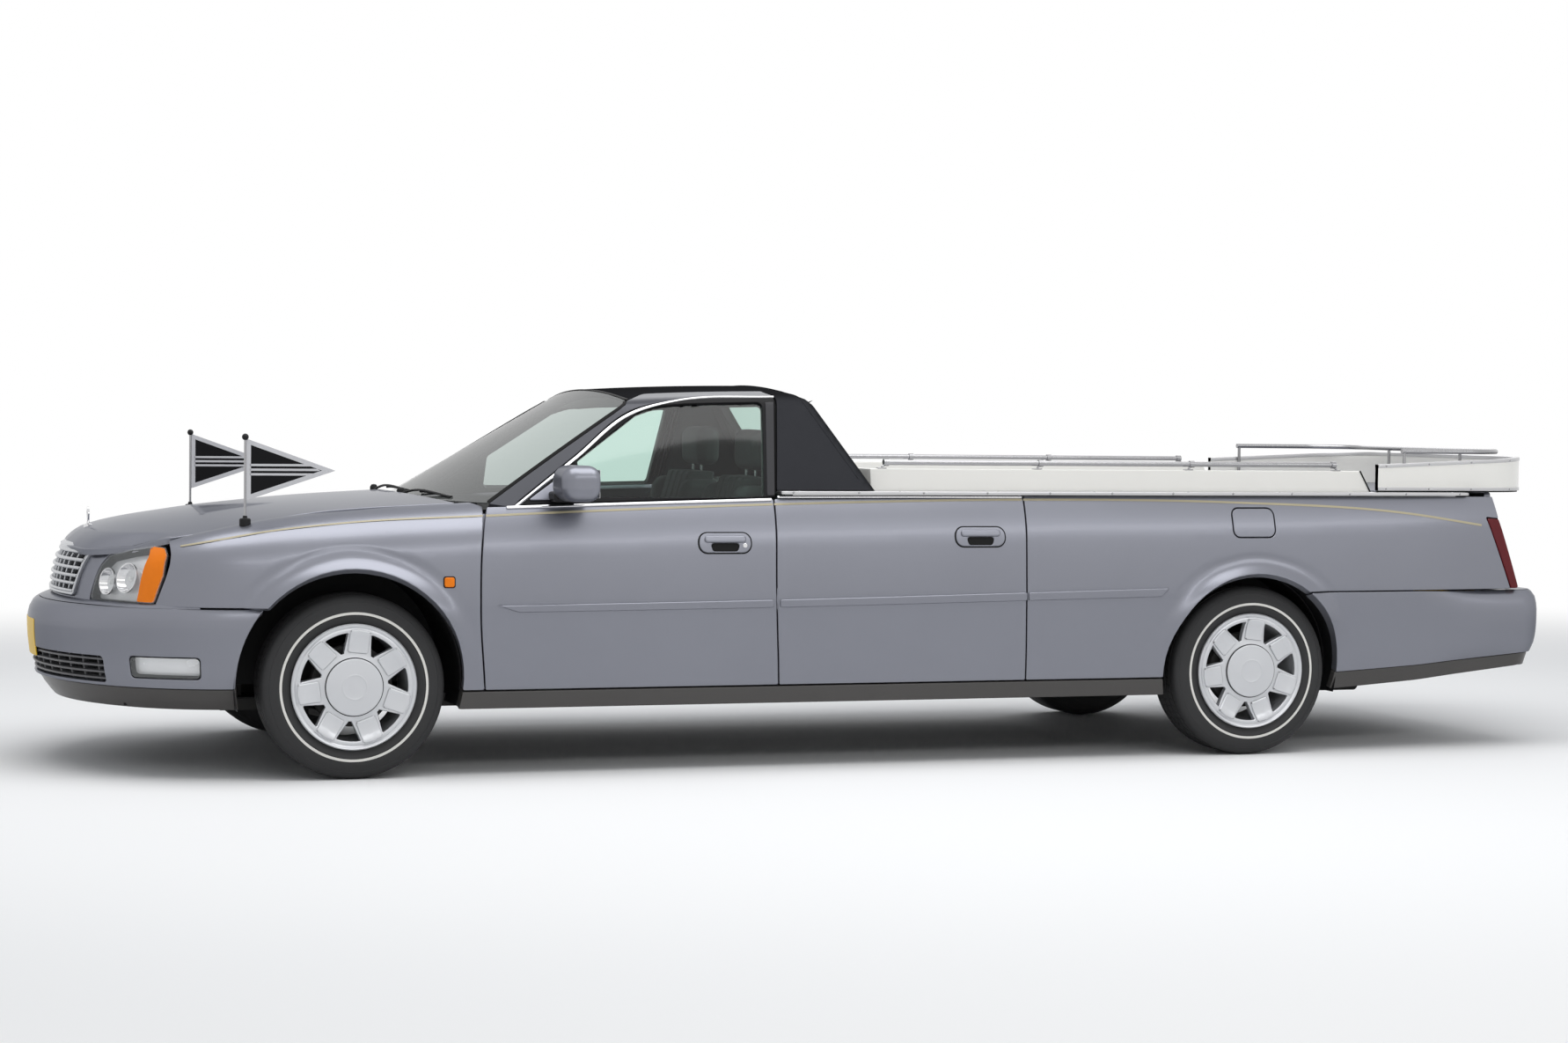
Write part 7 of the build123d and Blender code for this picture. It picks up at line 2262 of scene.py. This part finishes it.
def makeSteeringWheel():
    centre, r, tilt = np.array(cabin["wheel"]), cabin["wheelRadius"], math.radians(cabin["wheelTilt"])
    up, across = np.array([-math.cos(tilt), 0.0, math.sin(tilt)]), np.array([0.0, 1.0, 0.0])
    face = np.array([math.sin(tilt), 0.0, math.cos(tilt)])
    turns = np.linspace(0, 2 * math.pi, 64, endpoint=False)
    rim = tube([centre + r * (math.cos(t) * up + math.sin(t) * across) for t in turns], 0.0148, 14, closed=True)
    parts = [rim]
    for way in (across, -across, -up):
        spoke = [centre + way * d + face * 0.004 for d in np.linspace(0.03, r - 0.004, 8)]
        parts.append(tube(spoke, 0.019, 12, flat=0.45))
    boss = lathe([(0.0, -0.030), (0.040, -0.028), (0.056, -0.020), (0.062, -0.008), (0.062, 0.020)], 40)
    parts.append(moved(boss, centre, turnTo(face)))
    parts.append(tube([centre - face * d for d in np.linspace(0.0, 0.185, 8)], 0.032, 20))
    stalk = [centre - face * 0.055 + across * d + up * 0.1 * d for d in np.linspace(0.03, 0.16, 6)]
    parts += [tube(stalk, 0.006, 10), tube(mirrorAbout(stalk, centre[1]), 0.006, 10)]
    makePiece("steeringWheel", merged(*parts), "dash", "body", ["steering_wheel"])


def doorCard(outline, y):
    loop = dense(rounded(outline, 0.04), 0.04)
    return panel(loop, upright(y), side=-1, roll=0.006, depth=0.012, spacing=0.06)


def makeDoorCards():
    card = doorCard([(fx(0.540), 0.350), (fx(1.590), 0.350), (fx(1.585), 0.985), (fx(0.540), 0.955)], -0.846)
    rest = block((fx(0.900), -0.846, 0.640), (fx(1.420), -0.800, 0.700), 0.018, 5)
    pocket = block((fx(0.640), -0.846, 0.380), (fx(1.100), -0.822, 0.480), 0.010, 4)
    pairPiece("doorCard", merged(card, rest, pocket), "cloth", "front_door_{}")
    plain = doorCard([(fx(1.680), 0.350), (fx(2.610), 0.350), (fx(2.610), 1.010), (fx(1.680), 1.000)], -0.862)
    pairPiece("rearDoorCard", plain, "lining", "rear_door_{}")
    pull = block((fx(0.760), -0.846, 0.760), (fx(0.860), -0.834, 0.790), 0.005)
    pairPiece("doorPull", pull, "satinTube", "front_door_{}")


def makeLining():
    # Lining under the roof
    v = np.linspace(0.62, -0.62, 40)
    rows = []
    for x in np.linspace(fx(1.150), fx(1.800), 14):
        uv = np.column_stack([np.full(40, x), v])
        rows.append(cabSurface(uv) - surfaceNormals(cabSurface, uv, -1)[0] * 0.034)
    makePiece("roofLining", sheet(rows), "lining", "body")


makeSeats()
makeDashboard()
makeSteeringWheel()
makeDoorCards()
makeLining()
print("cabin ready")


# Arch liners, splash shield and inner wings
archShape = {"out": 0.880, "in": 0.600, "grow": 0.006, "turn": (-14, 194)}
shieldShape = {
    "trays": ((fx(-0.800), fx(-0.400), 0.600), (fx(-0.405), fx(0.340), 0.440)),     # from, to, half width
    "height": (0.262, 0.270),
}
innerWing = {"along": (fx(-0.450), fx(0.440)), "edge": (0.735, 0.900), "foot": (0.590, 0.748)}


def makeArchLiners():
    parts = []
    for x, z, radius in (frontArch, rearArch):
        turns = np.radians(np.linspace(*archShape["turn"], 60))
        reach = radius + archShape["grow"]
        rows = [np.column_stack([x + reach * np.cos(turns), np.full(60, y), z + reach * np.sin(turns)])
                for y in np.linspace(-archShape["out"], -archShape["in"], 6)]
        parts.append(sheet(rows, True))
    makePiece("archLiners", bothSides(merged(*parts)), "black", "body")


def makeShields():
    low, high = shieldShape["height"]
    trays = [block((start, -wide, low), (end, wide, high), 0.003) for start, end, wide in shieldShape["trays"]]
    makePiece("splashShield", merged(*trays), "black", "body")
    along = np.linspace(*innerWing["along"], 12)
    edge, foot = (np.column_stack([along, np.full(12, -y), np.full(12, z)])
                  for y, z in (innerWing["edge"], innerWing["foot"]))
    wing = sheet([edge, edge * 0.5 + foot * 0.5 + [0, 0, 0.012], foot])
    makePiece("innerWings", bothSides(wing), "black", "body")


makeArchLiners()
makeShields()
print("underside ready")
